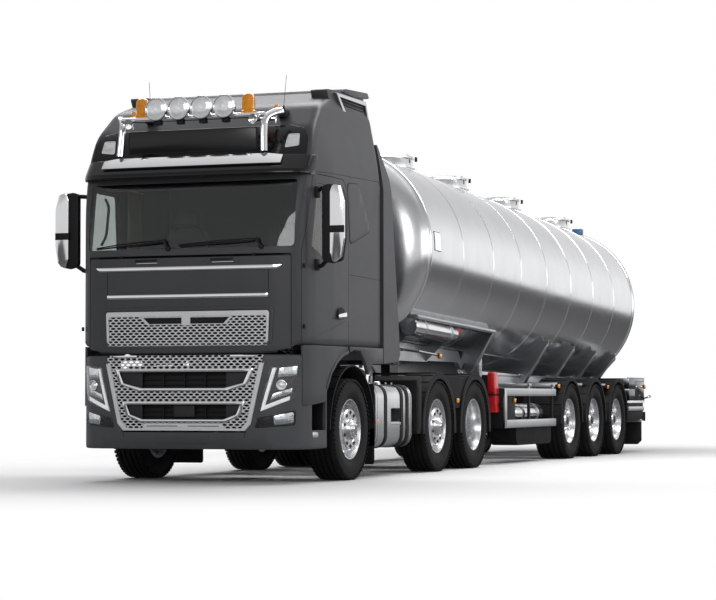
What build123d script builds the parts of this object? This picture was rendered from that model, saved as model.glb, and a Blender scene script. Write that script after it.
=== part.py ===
from build123d import *
import math
import os

# Articulated road tanker: a high-roof tractor with a steered front axle, a pusher
# axle and a driven axle on twin tyres, and a round tank semi-trailer on three axles.
# Millimetres. The lorry faces -Y, +X is its left side and the wheels stand on z = 0.
# A "station" is a distance measured back from the front face of the bumper.

os.makedirs("parts", exist_ok=True)

# ------------------------------------------------------------ driving sizes
overall_length = 14320
y_front = -overall_length / 2
seat_gap = 0.3  # between pieces that touch or turn on each other
panel_gap = 6  # round doors and flaps

# axle stations
steer_station = 1420
pusher_station = 4200
drive_station = 5550
trailer_first_station = 9920
trailer_axle_pitch = 1315
trailer_stations = [trailer_first_station + i * trailer_axle_pitch for i in range(3)]
kingpin_station = 4950

# wheels
tyre_radius = 507
bead_radius = 290
bulge_radius = 410
flange_radius = 301
flange_width = 14
wheel_face = 1205
narrow_tyre = 300
wide_tyre = 385
twin_pitch = 340
tyre_sides = 24
rim_sides = 16
hub_sides = 10
rod_sides = 8
lamp_sides = 14
turret_sides = 18
rim_wall = 24
spindle_radius = 45
spindle_end = 1140

# tractor frame
rail_half_width = 425
rail_flange = 80
rail_bottom = 700
rail_top = 980
rail_plate = 8
rail_front = 650
rail_rear = 6600
fifth_wheel_top = 1250

# cab
cab_half_width = 1245
cab_rear = 2250
cab_floor = 1320
cab_wall = 50
flap_bottom = 1246
flap_top = 2176
flap_back = 160
windscreen_base = 2250
windscreen_top = 2930
glass_thickness = 8
door_front = 205
door_rear_low = 1255
door_rear_high = 1110
door_top = 2975

# tank
tank_radius = 1135
tank_wall = 80
tank_front_station = 4150
tank_front_height = 2505
tank_section = 1210
tank_sections = 8
tank_length = tank_section * tank_sections
tank_fall = 0.031
tank_sides = 36
dome_depth = 270
turret_stations = [5980, 8140, 10570, 13250]
turret_radius = 270
turret_wall = 35
turret_height = 120

# trailer frame
coupler_bottom = fifth_wheel_top + seat_gap
trailer_rail_inner = 440
trailer_rail_outer = 500
trailer_rail_bottom = 950
trailer_rail_top = 1110
leg_station = 7330


# ------------------------------------------------------------ helpers
def at(station):
    """The y of a station measured back from the bumper's front face."""
    return y_front + station


def save(part, name):
    """Labels a finished piece and writes it."""
    part.label = name
    export_step(part, f"parts/{name}.step")


def save_pair(part, name):
    """Writes a piece of the left side and its mirror image on the right."""
    save(part, f"{name}_left")
    save(mirror(part, about=Plane.YZ, mode=Mode.PRIVATE), f"{name}_right")


def block(x, station, z, mode=Mode.ADD):
    """A box between three pairs of limits, in the part that is being built."""
    middle = (sum(x) / 2, at(sum(station) / 2), sum(z) / 2)
    with Locations(middle):
        Box(x[1] - x[0], station[1] - station[0], z[1] - z[0], mode=mode)


def side_plate(outline, x):
    """A plate between two x limits with an outline of (station, height) points."""
    with BuildPart() as plate:
        with BuildSketch(Plane.YZ.offset(x[0])):
            with BuildLine():
                Polyline([(at(s), z) for s, z in outline], close=True)
            make_face()
        extrude(amount=x[1] - x[0])
    return plate.part


def front_plate(outline, station):
    """A plate between two stations with an outline of (x, height) points."""
    with BuildPart() as plate:
        with BuildSketch(Plane.XZ.offset(-at(station[0]))):
            with BuildLine():
                Polyline(outline, close=True)
            make_face()
        extrude(amount=station[0] - station[1])
    return plate.part


def plan_plate(outline, z):
    """A plate between two heights with an outline of (x, station) points."""
    with BuildPart() as plate:
        with BuildSketch(Plane.XY.offset(z[0])):
            with BuildLine():
                Polyline([(x, at(s)) for x, s in outline], close=True)
            make_face()
        extrude(amount=z[1] - z[0])
    return plate.part


def both(outline):
    """An outline of the +x half, front to rear, closed by its mirror image."""
    return outline + [(-x, v) for x, v in reversed(outline)]


def turned(sections, sides, bore=False, base=Plane.YZ):
    """A many-sided turned solid of flat faces, from (distance, radius) sections.

    The distances run along the base plane's normal. A bore's flats lie at the radius
    and a shaft's corners do, each facing the other, so that one turns freely inside
    the other.
    """
    reach = 1 / math.cos(math.pi / sides) if bore else 1
    phase = 0.5 if bore else 0
    turns = [2 * math.pi * (i + phase) / sides for i in range(sides)]
    rings = []
    for distance, radius in sections:
        level = base.offset(distance)
        spokes = [(radius * reach * math.cos(turn), radius * reach * math.sin(turn), 0) for turn in turns]
        rings.append([level.from_local_coords(spoke) for spoke in spokes])
    flats = [rings[0], rings[-1]]
    for near, far in zip(rings, rings[1:]):
        flats += [[near[i - 1], near[i], far[i], far[i - 1]] for i in range(sides)]
    return Solid(Shell([Face(Wire.make_polygon(flat)) for flat in flats]))


def rod(radius, start, end, mode=Mode.ADD, sides=rod_sides):
    """A many-sided bar between two (x, station, z) points, in the part that is being built."""
    near, far = [Vector(x, at(station), z) for x, station, z in (start, end)]
    sections = [(0, radius), ((far - near).length, radius)]
    add(turned(sections, sides, mode is Mode.SUBTRACT, Plane(near, z_dir=far - near)), mode=mode)


def crossbar(radius, x, station, z, mode=Mode.ADD):
    """A round bar along x in the part that is being built."""
    rod(radius, (x[0], station, z), (x[1], station, z), mode)


def post(radius, x, station, z, mode=Mode.ADD):
    """A round upright in the part that is being built."""
    rod(radius, (x, station, z[0]), (x, station, z[1]), mode)


# ------------------------------------------------------------ tyres and rims
def tyre(face, width):
    """A tyre whose outer face stands at x = face, about the x axis."""
    centre = face - width / 2
    bead, bulge, tread = 0.38 * width, 0.5 * width, 0.43 * width
    profile = [(bead, bead_radius), (bulge, bulge_radius), (tread, tyre_radius)]
    sections = [(centre - x, r) for x, r in profile]
    sections += [(centre + x, r) for x, r in reversed(profile)]
    with BuildPart() as body:
        add(turned(sections, tyre_sides, bore=True))
        bore = [(centre - bulge, bead_radius), (centre + bulge, bead_radius)]
        add(turned(bore, tyre_sides, bore=True), mode=Mode.SUBTRACT)
    return body.part


def barrel(face, width, out=1):
    """A rim's barrel and flange; out is 1 where the flange is on the outer side."""
    centre = face - width / 2
    seat = bead_radius - seat_gap
    hole = seat - rim_wall
    bead = 0.38 * width
    lean = 0.12 * width * (flange_radius - bead_radius) / (bulge_radius - bead_radius)
    lip = sorted((centre + out * (bead + lean + 1), centre + out * (bead + lean + flange_width)))
    with BuildPart() as ring:
        add(turned([(min(centre - bead, lip[0]), seat), (max(centre + bead, lip[1]), seat)], rim_sides))
        add(turned([(lip[0], flange_radius), (lip[1], flange_radius)], rim_sides))
        add(turned([(lip[0] - width, hole), (lip[1] + width, hole)], rim_sides, bore=True), mode=Mode.SUBTRACT)
    return ring.part


def outset_rim(face, width):
    """A rim whose disc bells outward to a flat nut face, with its hub."""
    centre = face - width / 2
    hole = bead_radius - rim_wall / 2
    with BuildPart() as rim:
        add(turned([(centre + 40, hole), (centre + 130, 185)], rim_sides))
        add(turned([(centre + 26, hole - 2), (centre + 114, 171)], rim_sides), mode=Mode.SUBTRACT)
        add(barrel(face, width))
        add(turned([(centre + 20, 78), (centre + 120, 78)], hub_sides))
        add(turned([(centre + 125, 100), (centre + 170, 88), (centre + 182, 60)], hub_sides))
        crossbar(spindle_radius + seat_gap, (centre, spindle_end + 4), 0 - y_front, 0, Mode.SUBTRACT)
    return rim.part


def dished_rim(face, width):
    """A rim with a deep outer dish and a hub that stands out of it."""
    centre = face - width / 2
    hole = bead_radius - rim_wall / 2
    with BuildPart() as rim:
        add(barrel(face, width))
        add(turned([(centre + 20, hole), (centre + 62, 190)], rim_sides))
        add(turned([(centre + 4, hole), (centre + 44, 175)], rim_sides), mode=Mode.SUBTRACT)
        add(turned([(centre - 70, 105), (centre + 100, 105), (centre + 136, 80)], hub_sides))
        crossbar(spindle_radius + seat_gap, (centre - 80, centre + 80), 0 - y_front, 0, Mode.SUBTRACT)
    return rim.part


def twin_rim(face, width):
    """Two barrels bolted back to back on one hub."""
    inner_face = face - twin_pitch
    middle = face - width / 2 - twin_pitch / 2
    hole = bead_radius - rim_wall / 2
    with BuildPart() as rim:
        add(turned([(middle - 60, hole), (middle - 20, 190), (middle + 20, 190), (middle + 60, hole)], rim_sides))
        add(turned([(middle + 30, 165), (middle + 75, hole - 10)], rim_sides), mode=Mode.SUBTRACT)
        add(turned([(middle - 75, hole - 10), (middle - 30, 165)], rim_sides), mode=Mode.SUBTRACT)
        add(barrel(face, width))
        add(barrel(inner_face, width, out=-1))
        add(turned([(middle - 60, 115), (middle + 150, 115), (middle + 185, 85)], hub_sides))
        crossbar(spindle_radius + seat_gap, (middle - 80, middle + 130), 0 - y_front, 0, Mode.SUBTRACT)
    return rim.part


# stations by wheel name, list of tyres' faces, tyre width, rim maker
wheel_table = [
    ({"front": steer_station, "pusher": pusher_station}, [wheel_face], narrow_tyre, outset_rim),
    ({"drive": drive_station}, [wheel_face, wheel_face - twin_pitch], narrow_tyre, twin_rim),
    (
        {f"trailer_{i}": s for i, s in enumerate(trailer_stations, start=1)},
        [wheel_face],
        wide_tyre,
        dished_rim,
    ),
]
for stations, faces, width, make_rim in wheel_table:
    rubber = [tyre(face, width) for face in faces]
    steel = make_rim(faces[0], width)
    for name, station in stations.items():
        with BuildPart() as tyres:
            with Locations((0, at(station), tyre_radius)):
                for body in rubber:
                    add(body)
        save_pair(tyres.part, f"tyre_{name}")
        with BuildPart() as rims:
            with Locations((0, at(station), tyre_radius)):
                add(steel)
        save_pair(rims.part, f"rim_{name}")

# ------------------------------------------------------------ tractor axles
kingpin_x = 930
eye_radius = 42
eye_half = 55
pin_radius = 20
ear = (60, 90)

with BuildPart() as knuckle:
    post(pin_radius, kingpin_x, steer_station, (tyre_radius - ear[1], tyre_radius + ear[1]))
    for low, high in ((-ear[1], -ear[0]), (ear[0], ear[1])):
        block(
            (kingpin_x - 35, kingpin_x + 75),
            (steer_station - 50, steer_station + 50),
            (tyre_radius + low, tyre_radius + high),
        )
    block(
        (kingpin_x + 55, kingpin_x + 75),
        (steer_station - 60, steer_station + 60),
        (tyre_radius - ear[1], tyre_radius + ear[1]),
    )
    crossbar(spindle_radius, (kingpin_x + 70, spindle_end), steer_station, tyre_radius)
save_pair(knuckle.part, "knuckle")

beam_outline = both([
    (kingpin_x - 30, tyre_radius + 45),
    (770, tyre_radius + 45),
    (660, 470),
]) + list(reversed(both([
    (kingpin_x - 30, tyre_radius - 45),
    (745, tyre_radius - 45),
    (640, 380),
])))
spring_x = (350, 420)
arm_x = (350, 420)
bellows_radius = 105

with BuildPart() as tractor_axles:
    # dropped front beam with its kingpin eyes
    add(front_plate(beam_outline, (steer_station - 45, steer_station + 45)))
    for x in (-kingpin_x, kingpin_x):
        post(eye_radius, x, steer_station, (tyre_radius - eye_half, tyre_radius + eye_half))
        post(pin_radius + seat_gap, x, steer_station, (0, 2 * tyre_radius), Mode.SUBTRACT)
    # pusher beam and drive housing
    block((-860, 860), (pusher_station - 60, pusher_station + 60), (447, 567))
    crossbar(spindle_radius, (-spindle_end, spindle_end), pusher_station, tyre_radius)
    with Locations((0, at(drive_station), tyre_radius)):
        add(turned([(-790, 95), (790, 95)], hub_sides))
        add(turned([(-200, 110), (-100, 215), (100, 215), (200, 110)], hub_sides))
    crossbar(spindle_radius, (-1000, 1000), drive_station, tyre_radius)
    # leaf springs, arms and bellows under the rails
    for side in (-1, 1):
        x = sorted((side * spring_x[0], side * spring_x[1]))
        leaf = [
            (steer_station - 700, 625),
            (steer_station - 110, 470),
            (steer_station + 110, 470),
            (steer_station + 700, 625),
            (steer_station + 700, 655),
            (steer_station + 130, 540),
            (steer_station - 130, 540),
            (steer_station - 700, 655),
        ]
        add(side_plate(leaf, x))
        for s in (steer_station - 710, steer_station + 650):
            block(x, (s, s + 60), (620, rail_bottom))
        block(x, (pusher_station - 560, pusher_station - 480), (470, rail_bottom))
        block(x, (pusher_station - 560, pusher_station + 40), (447, 517))
        post(bellows_radius, sum(x) / 2, pusher_station, (560, rail_bottom))
        block(x, (drive_station - 420, drive_station + 420), (370, 420))
        for s in (drive_station - 330, drive_station + 330):
            post(bellows_radius, sum(x) / 2, s, (415, rail_bottom))
save(tractor_axles.part, "tractor_axles")

# ------------------------------------------------------------ tractor frame
rail_section = [
    (rail_half_width, rail_bottom),
    (rail_half_width, rail_top),
    (rail_half_width - rail_flange, rail_top),
    (rail_half_width - rail_flange, rail_top - rail_plate),
    (rail_half_width - rail_plate, rail_top - rail_plate),
    (rail_half_width - rail_plate, rail_bottom + rail_plate),
    (rail_half_width - rail_flange, rail_bottom + rail_plate),
    (rail_half_width - rail_flange, rail_bottom),
]
crossmember_stations = [740, 2260, 3400, 4650, 6520]
cab_mount_stations = [730, 2120]
deck = (2900, 3650)

with BuildPart() as engine_block:
    half = rail_half_width - rail_flange
    block((-half, half), (900, 2050), (540, 1230))
save(engine_block.part, "engine_block")

# fifth wheel: a round plate with a tapered throat, on two pedestals
fifth_wheel_radius = 460
kingpin_radius = 25.4
throat = [
    (kingpin_radius + seat_gap, kingpin_station),
    (170, kingpin_station + 600),
    (-170, kingpin_station + 600),
    (-kingpin_radius - seat_gap, kingpin_station),
]
with BuildPart() as fifth_wheel:
    with BuildSketch(Plane.XY.offset(fifth_wheel_top - 45)):
        with Locations((0, at(kingpin_station))):
            RegularPolygon(fifth_wheel_radius, 24)
    extrude(amount=45)
    add(plan_plate(throat, (fifth_wheel_top - 60, fifth_wheel_top + 10)), mode=Mode.SUBTRACT)
    post(kingpin_radius + seat_gap, 0, kingpin_station, (1100, 1300), Mode.SUBTRACT)
    for side in (-1, 1):
        x = sorted((side * 300, side * 410))
        block(x, (kingpin_station - 140, kingpin_station + 140), (rail_top, fifth_wheel_top - 45))
save(fifth_wheel.part, "fifth_wheel")

# fuel tanks with straps and brackets
fuel_x = (640, 1200)
fuel_z = (300, 960)
fuel_stations = (2140, 3290)
strap_stations = [2380, 3050]
tank_corner = 110
corner_steps = 3
strap_proud = 6
strap_half = 30


def tank_outline(proud):
    """The fuel tank's cross-section, its corners rounded, grown by an amount."""
    points = []
    for quarter, (i, k) in enumerate(((1, 1), (0, 1), (0, 0), (1, 0))):
        inward = (tank_corner * (1 - 2 * i), tank_corner * (1 - 2 * k))
        centre = (fuel_x[i] + inward[0], fuel_z[k] + inward[1])
        for step in range(corner_steps + 1):
            turn = math.pi / 2 * (quarter + step / corner_steps)
            radius = tank_corner + proud
            points.append((centre[0] + radius * math.cos(turn), centre[1] + radius * math.sin(turn)))
    return points


with BuildPart() as fuel_tanks:
    add(front_plate(tank_outline(0), fuel_stations))
    for s in strap_stations:
        add(front_plate(tank_outline(strap_proud), (s - strap_half, s + strap_half)))
        block(
            (rail_half_width, fuel_x[0] + 20),
            (s - strap_half, s + strap_half),
            (rail_bottom + 20, rail_bottom + 120),
        )
    mirror(about=Plane.YZ)
save(fuel_tanks.part, "fuel_tanks")


# ------------------------------------------------------------ mudguards
def mudguard(station, inner_radius, x, low):
    """An arched guard over a wheel, whose legs drop straight to the height low."""
    outer = inner_radius + guard_thickness
    with BuildPart() as guard:
        with BuildSketch(Plane.YZ.offset(x[0])):
            with Locations((at(station), tyre_radius)):
                RegularPolygon(outer, guard_sides, major_radius=False)
                RegularPolygon(inner_radius, guard_sides, major_radius=False, mode=Mode.SUBTRACT)
        extrude(amount=x[1] - x[0])
        block((x[0] - 1, x[1] + 1), (station - 2 * outer, station + 2 * outer), (-outer, tyre_radius), Mode.SUBTRACT)
        for edge in (station - outer, station + inner_radius):
            block(x, (edge, edge + guard_thickness), (low, tyre_radius + guard_thickness))
    return guard.part


guard_thickness = 10
guard_sides = 16
guard_reach = wheel_face + 10
stay_half = 25
# station, inner radius, inner x, lower edge of the legs, of the tractor's guards
tractor_guards = [
    (steer_station, 620, 640, 480),
    (pusher_station, 575, 860, 330),
    (drive_station, 575, 550, 330),
]
with BuildPart() as tractor_mudguards:
    for station, radius, x_inner, low in tractor_guards:
        add(mudguard(station, radius, (x_inner, guard_reach), low))
        stay = (station - stay_half, station + stay_half)
        top = tyre_radius + radius
        block((rail_half_width, x_inner + 260), stay, (top - 6, top + 22))
        block((rail_half_width, rail_half_width + 30), stay, (rail_top - 150, top + 22))
    # flap behind the front wheel, held by its guard's rear leg
    flap_station = steer_station + tractor_guards[0][1]
    block((700, guard_reach), (flap_station, flap_station + guard_thickness), (330, 500))
    mirror(about=Plane.YZ)
save(tractor_mudguards.part, "tractor_mudguards")

# ------------------------------------------------------------ cab
cab_side = [
    (60, flap_bottom - 6),
    (60, 1900),
    (80, windscreen_base),
    (255, windscreen_top),
    (330, 3160),
    (440, 3420),
    (760, 3700),
    (1300, 3885),
    (2140, 3980),
    (cab_rear, 3900),
    (cab_rear, cab_floor),
    (door_front - 20, cab_floor),
    (door_front - 20, flap_bottom - 6),
]
cab_plan = [(600, 60), (900, 85), (1080, 140), (1170, 225), (1205, 420), (cab_half_width, 850), (cab_half_width, cab_rear)]
cab_front = [(cab_half_width, 1000), (cab_half_width, 2980), (1215, 3180), (1120, 3680), (1060, 3860), (900, 4000)]


def cab_form(inset=0.0):
    """The cab's outer form, drawn in by an inset: three outlines crossed."""
    with BuildPart() as form:
        with BuildSketch(Plane.YZ.offset(-cab_half_width)):
            with BuildLine():
                Polyline([(at(s), z) for s, z in cab_side], close=True)
            make_face()
            if inset:
                offset(amount=-inset, kind=Kind.INTERSECTION)
        extrude(amount=2 * cab_half_width)
        with BuildSketch(Plane.XY.offset(1000)):
            with BuildLine():
                Polyline([(x, at(s)) for x, s in both(cab_plan)], close=True)
            make_face()
            if inset:
                offset(amount=-inset, kind=Kind.INTERSECTION)
        extrude(amount=3100, mode=Mode.INTERSECT)
        with BuildSketch(Plane.XZ.offset(-at(0))):
            with BuildLine():
                Polyline(both(cab_front), close=True)
            make_face()
            if inset:
                offset(amount=-inset, kind=Kind.INTERSECTION)
        extrude(amount=-2600, mode=Mode.INTERSECT)
    return form.part


def cab_band(z, inset, depth):
    """A band of the cab's plan between two heights, from an inset to a depth below it."""
    with BuildPart() as band:
        for amount, mode in ((inset, Mode.ADD), (inset + depth, Mode.SUBTRACT)):
            with BuildSketch(Plane.XY.offset(z[0])):
                with BuildLine():
                    Polyline([(x, at(s)) for x, s in both(cab_plan)], close=True)
                make_face()
                if amount:
                    offset(amount=-amount, kind=Kind.INTERSECTION)
            extrude(amount=z[1] - z[0], mode=mode)
    return band.part


skirt_thickness = 25
skirt_station = 360
skirt_bottom = 760
# lower edges of the door's skirt and of the panel behind it, along the wheel arch
skirt_edge = [(skirt_station, skirt_bottom), (654, 790), (760, 1005), (1060, 1202), (door_rear_low, 1240)]
sill_edge = [(door_rear_low + panel_gap, 1245), (1540, 1293), (1714, 1173), (1814, 1054), (2140, 1173), (cab_rear, 1185)]
skirt_outline = [(skirt_station, cab_floor + 15), *skirt_edge, (door_rear_low, cab_floor + 15)]
sill_outline = [(sill_edge[0][0], cab_floor + 25), *sill_edge, (cab_rear, cab_floor + 25)]

with BuildPart() as door_skirt:
    add(cab_band((skirt_bottom - 10, cab_floor + 20), 0, skirt_thickness))
    add(side_plate(skirt_outline, (1000, cab_half_width)), mode=Mode.INTERSECT)

with BuildPart() as sill_panels:
    add(cab_band((1000, cab_floor + 30), 0, skirt_thickness))
    add(side_plate(sill_outline, (1000, cab_half_width)), mode=Mode.INTERSECT)
    mirror(about=Plane.YZ)

door_outline = [
    (door_front, cab_floor + panel_gap),
    (door_front, 2230),
    (370, door_top - 20),
    (420, door_top),
    (door_rear_high, door_top),
    (door_rear_low, 1420),
    (door_rear_low, cab_floor + panel_gap),
]
door_window = [(330, 2260), (460, 2890), (1010, 2890), (1065, 2200), (700, 2130)]
windscreen_outline = [
    (1090, windscreen_base + 15),
    (1090, windscreen_top - 10),
    (-1090, windscreen_top - 10),
    (-1090, windscreen_base + 15),
]


def grown(outline, x, amount):
    """A side plate whose outline is grown by an amount, or shrunk by a negative one."""
    with BuildPart() as plate:
        with BuildSketch(Plane.YZ.offset(x[0])):
            with BuildLine():
                Polyline([(at(s), z) for s, z in outline], close=True)
            make_face()
            offset(amount=amount, kind=Kind.INTERSECTION)
        extrude(amount=x[1] - x[0])
    return plate.part


cab_outer = cab_form()
cab_lining = cab_form(cab_wall)
door_reach = (1065, cab_half_width + 40)
flap_half = 1060
firewall = (flap_back + 10, flap_back + 60)
hinge_x = 1172
hinge_station = 200
hinge_radius = 13
hinge_pin = 8
hinge_heights = [1500, 2080]
flap_axis = (85, (flap_top + windscreen_base - 44) / 2)
flap_pin = 6
flap_lugs = [-700, 700]
visor_side = [(95, 2962), (110, 2990), (235, 3165), (345, 3165), (300, 3050), (275, 2962)]
visor_plan = [(700, 95), (1000, 140), (1150, 240), (1200, 420)]

with BuildPart() as visor:
    add(side_plate(visor_side, (-cab_half_width, cab_half_width)))
    add(plan_plate(both(visor_plan), (2900, 3200)), mode=Mode.INTERSECT)
    add(cab_lining, mode=Mode.SUBTRACT)

with BuildPart() as door_hole:
    add(grown(door_outline, door_reach, panel_gap))
    mirror(about=Plane.YZ)

with BuildPart() as cab_shell:
    add(cab_outer)
    add(cab_lining, mode=Mode.SUBTRACT)
    # firewall behind the front flap
    block((-flap_half, flap_half), firewall, (cab_floor, windscreen_base))
    flap_room = (flap_half + panel_gap, flap_back + panel_gap, flap_top + 30)
    block((-flap_room[0], flap_room[0]), (0, flap_room[1]), (1000, flap_room[2]), Mode.SUBTRACT)
    add(front_plate(windscreen_outline, (0, 330)), mode=Mode.SUBTRACT)
    add(door_hole.part, mode=Mode.SUBTRACT)
    add(sill_panels.part)
    add(visor.part)
    # door hinge lugs and pins
    for z in hinge_heights:
        for side in (-1, 1):
            post(hinge_pin, side * hinge_x, hinge_station, (z - 45, z + 45))
            for low in (z - 45, z + 25):
                post(hinge_radius, side * hinge_x, hinge_station, (low, low + 20))
                arm = sorted((side * (hinge_x - 47), side * hinge_x))
                block(arm, (hinge_station - 13, hinge_station - 1), (low, low + 20))
    # front flap hinge lugs and pins
    for x in flap_lugs:
        crossbar(flap_pin, (x - 45, x + 45), *flap_axis)
        for low in (x - 45, x + 25):
            crossbar(12, (low, low + 20), *flap_axis)
            block((low, low + 20), (flap_axis[0] - 3, flap_axis[0] + 12), (flap_axis[1], flap_axis[1] + 30))
save(cab_shell.part, "cab_shell")

with BuildPart() as door:
    add(cab_outer)
    add(cab_lining, mode=Mode.SUBTRACT)
    add(side_plate(door_outline, door_reach), mode=Mode.INTERSECT)
    add(side_plate(door_window, door_reach), mode=Mode.SUBTRACT)
    add(door_skirt.part)
    for z in hinge_heights:
        post(hinge_radius, hinge_x, hinge_station, (z - 20, z + 20))
        block((hinge_x - 13, hinge_x + 13), (hinge_station, hinge_station + 40), (z - 20, z + 20))
        post(hinge_pin + seat_gap, hinge_x, hinge_station, (z - 60, z + 60), Mode.SUBTRACT)
    # handle
    with BuildSketch(Plane.YZ.offset(cab_half_width)):
        with Locations((at(970), 1680)):
            RectangleRounded(190, 46, 18)
    extrude(amount=-8, mode=Mode.SUBTRACT)
    block((cab_half_width - 8, cab_half_width), (900, 1040), (1676, 1696))
save_pair(door.part, "door")

pane_outer = cab_form(20)
pane_inner = cab_form(20 + glass_thickness)
with BuildPart() as door_glass:
    add(pane_outer)
    add(pane_inner, mode=Mode.SUBTRACT)
    add(grown(door_window, door_reach, -seat_gap), mode=Mode.INTERSECT)
save_pair(door_glass.part, "door_glass")

with BuildPart() as windscreen:
    add(pane_outer)
    add(pane_inner, mode=Mode.SUBTRACT)
    shrunk = [(x - math.copysign(seat_gap, x), z) for x, z in windscreen_outline]
    add(front_plate(shrunk, (0, 330)), mode=Mode.INTERSECT)
save(windscreen.part, "windscreen")

# mirrors on arms that stand on the doors
mirror_x = (1290, 1540)
mirror_station = (300, 400)
mirror_z = (2100, 2870)
mirror_corners = [
    (mirror_x[0], mirror_z[0] + 30),
    (mirror_x[0], mirror_z[1] - 20),
    (mirror_x[0] + 60, mirror_z[1]),
    (mirror_x[1] - 40, mirror_z[1] - 20),
    (mirror_x[1], mirror_z[1] - 150),
    (mirror_x[1], mirror_z[0] + 230),
    (mirror_x[1] - 35, mirror_z[0] + 30),
    (mirror_x[1] - 140, mirror_z[0]),
]
with BuildPart() as mirror_unit:
    with BuildSketch(Plane.XZ.offset(-at(mirror_station[0]))):
        with BuildLine():
            Polyline(mirror_corners, close=True)
        make_face()
    extrude(amount=mirror_station[0] - mirror_station[1])
    for z in (2190, 2780):
        crossbar(17, (1180, mirror_x[0] + 20), 440, z)
        block((mirror_x[0] + 5, mirror_x[0] + 35), (mirror_station[1] - 5, 457), (z - 17, z + 17))
    add(cab_form(-seat_gap), mode=Mode.SUBTRACT)
    add(side_plate(door_window, (1000, cab_half_width)), mode=Mode.SUBTRACT)
save_pair(mirror_unit.part, "mirror")

with BuildPart() as front_flap:
    add(cab_outer)
    add(cab_lining, mode=Mode.SUBTRACT)
    block((-flap_half, flap_half), (0, flap_back), (flap_bottom, flap_top), Mode.INTERSECT)
    for x in flap_lugs:
        crossbar(12, (x - 20, x + 20), *flap_axis)
        block((x - 20, x + 20), (flap_axis[0] - 3, flap_axis[0] + 12), (flap_top - 10, flap_axis[1]))
        crossbar(flap_pin + seat_gap, (x - 60, x + 60), *flap_axis, Mode.SUBTRACT)
save(front_flap.part, "front_flap")

# honeycomb of wide hexagons: pitch along a row, row height, hole width and height
mesh_pitch = 130
mesh_row = 52
mesh_hole = (98, 38)


def honeycomb(rows):
    """Hexagonal prisms through a grille, from (height, half width, blank half width) rows."""
    wide, high = mesh_hole[0] / 2, mesh_hole[1] / 2
    hexagon = [(-wide, 0), (-wide / 2, high), (wide / 2, high), (wide, 0), (wide / 2, -high), (-wide / 2, -high)]
    with BuildPart() as holes:
        with BuildSketch(Plane.XZ.offset(-at(-20))):
            for index, (z, reach, blank) in enumerate(rows):
                count = int((reach - wide) / mesh_pitch) + 1
                shift = mesh_pitch / 2 * (index % 2)
                for x in [i * mesh_pitch + shift for i in range(-count, count + 1)]:
                    if abs(x) + wide <= reach and abs(x) - wide >= blank:
                        with BuildLine():
                            Polyline([(x + dx, z + dz) for dx, dz in hexagon], close=True)
                        make_face()
        extrude(amount=-260)
    return holes.part


upper_grille_outline = [(855, 1640), (820, 1655), (-820, 1655), (-855, 1640), (-835, 1255), (835, 1255)]
grille_slot = [(50, 1605), (470, 1605), (405, 1532), (50, 1532)]
upper_rows = [(1300 + i * mesh_row, 825, 0 if i < 4 else 480) for i in range(6)]
with BuildPart() as upper_grille:
    add(cab_form(-16))
    add(cab_form(-seat_gap), mode=Mode.SUBTRACT)
    add(front_plate(upper_grille_outline, (0, 130)), mode=Mode.INTERSECT)
    add(honeycomb(upper_rows), mode=Mode.SUBTRACT)
    for side in (-1, 1):
        add(front_plate([(side * x, z) for x, z in grille_slot], (-20, 130)), mode=Mode.SUBTRACT)
save(upper_grille.part, "upper_grille")

# side fairings behind the cab
fairing_rear = 2770
fairing_side = [(cab_rear, 1170), (cab_rear, 3500), (2480, 3100), (fairing_rear, 1170)]
with BuildPart() as side_fairings:
    with BuildSketch(Plane.XZ.offset(-at(cab_rear + seat_gap))):
        with BuildLine():
            Polyline(both(cab_front), close=True)
        make_face()
    extrude(amount=cab_rear - fairing_rear)
    with BuildSketch(Plane.XZ.offset(-at(cab_rear))):
        with BuildLine():
            Polyline(both(cab_front), close=True)
        make_face()
        offset(amount=-40, kind=Kind.INTERSECTION)
    extrude(amount=cab_rear - fairing_rear - 10, mode=Mode.SUBTRACT)
    add(side_plate(fairing_side, (-cab_half_width, cab_half_width)), mode=Mode.INTERSECT)
    block((-1000, 1000), (cab_rear - 10, fairing_rear + 10), (900, 4000), Mode.SUBTRACT)
save(side_fairings.part, "side_fairings")

with BuildPart() as cab_interior:
    floor = cab_floor + cab_wall + seat_gap
    # dashboard, seats, bunk and steering wheel
    block((-1020, 1020), (firewall[1] + seat_gap, 520), (1900, 2230))
    for side in (-1, 1):
        x = sorted((side * 330, side * 830))
        block(x, (900, 1400), (1740, 1880))
        block(x, (1310, 1430), (1880, 2560))
        block((sum(x) / 2 - 160, sum(x) / 2 + 160), (1000, 1320), (floor, 1740))
    block((-1150, 1150), (1580, cab_rear - cab_wall - seat_gap), (floor, 1900))
    wheel_plane = Plane((580, at(640), 2160), x_dir=(1, 0, 0), z_dir=(0, 0.6, 0.8))
    with BuildSketch(wheel_plane):
        RegularPolygon(225, 20)
        RegularPolygon(195, 20, mode=Mode.SUBTRACT)
        Rectangle(410, 60)
    extrude(amount=24)
    with BuildSketch(wheel_plane.offset(10)):
        RegularPolygon(27, 8)
    extrude(amount=-200)
save(cab_interior.part, "cab_interior")

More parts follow.
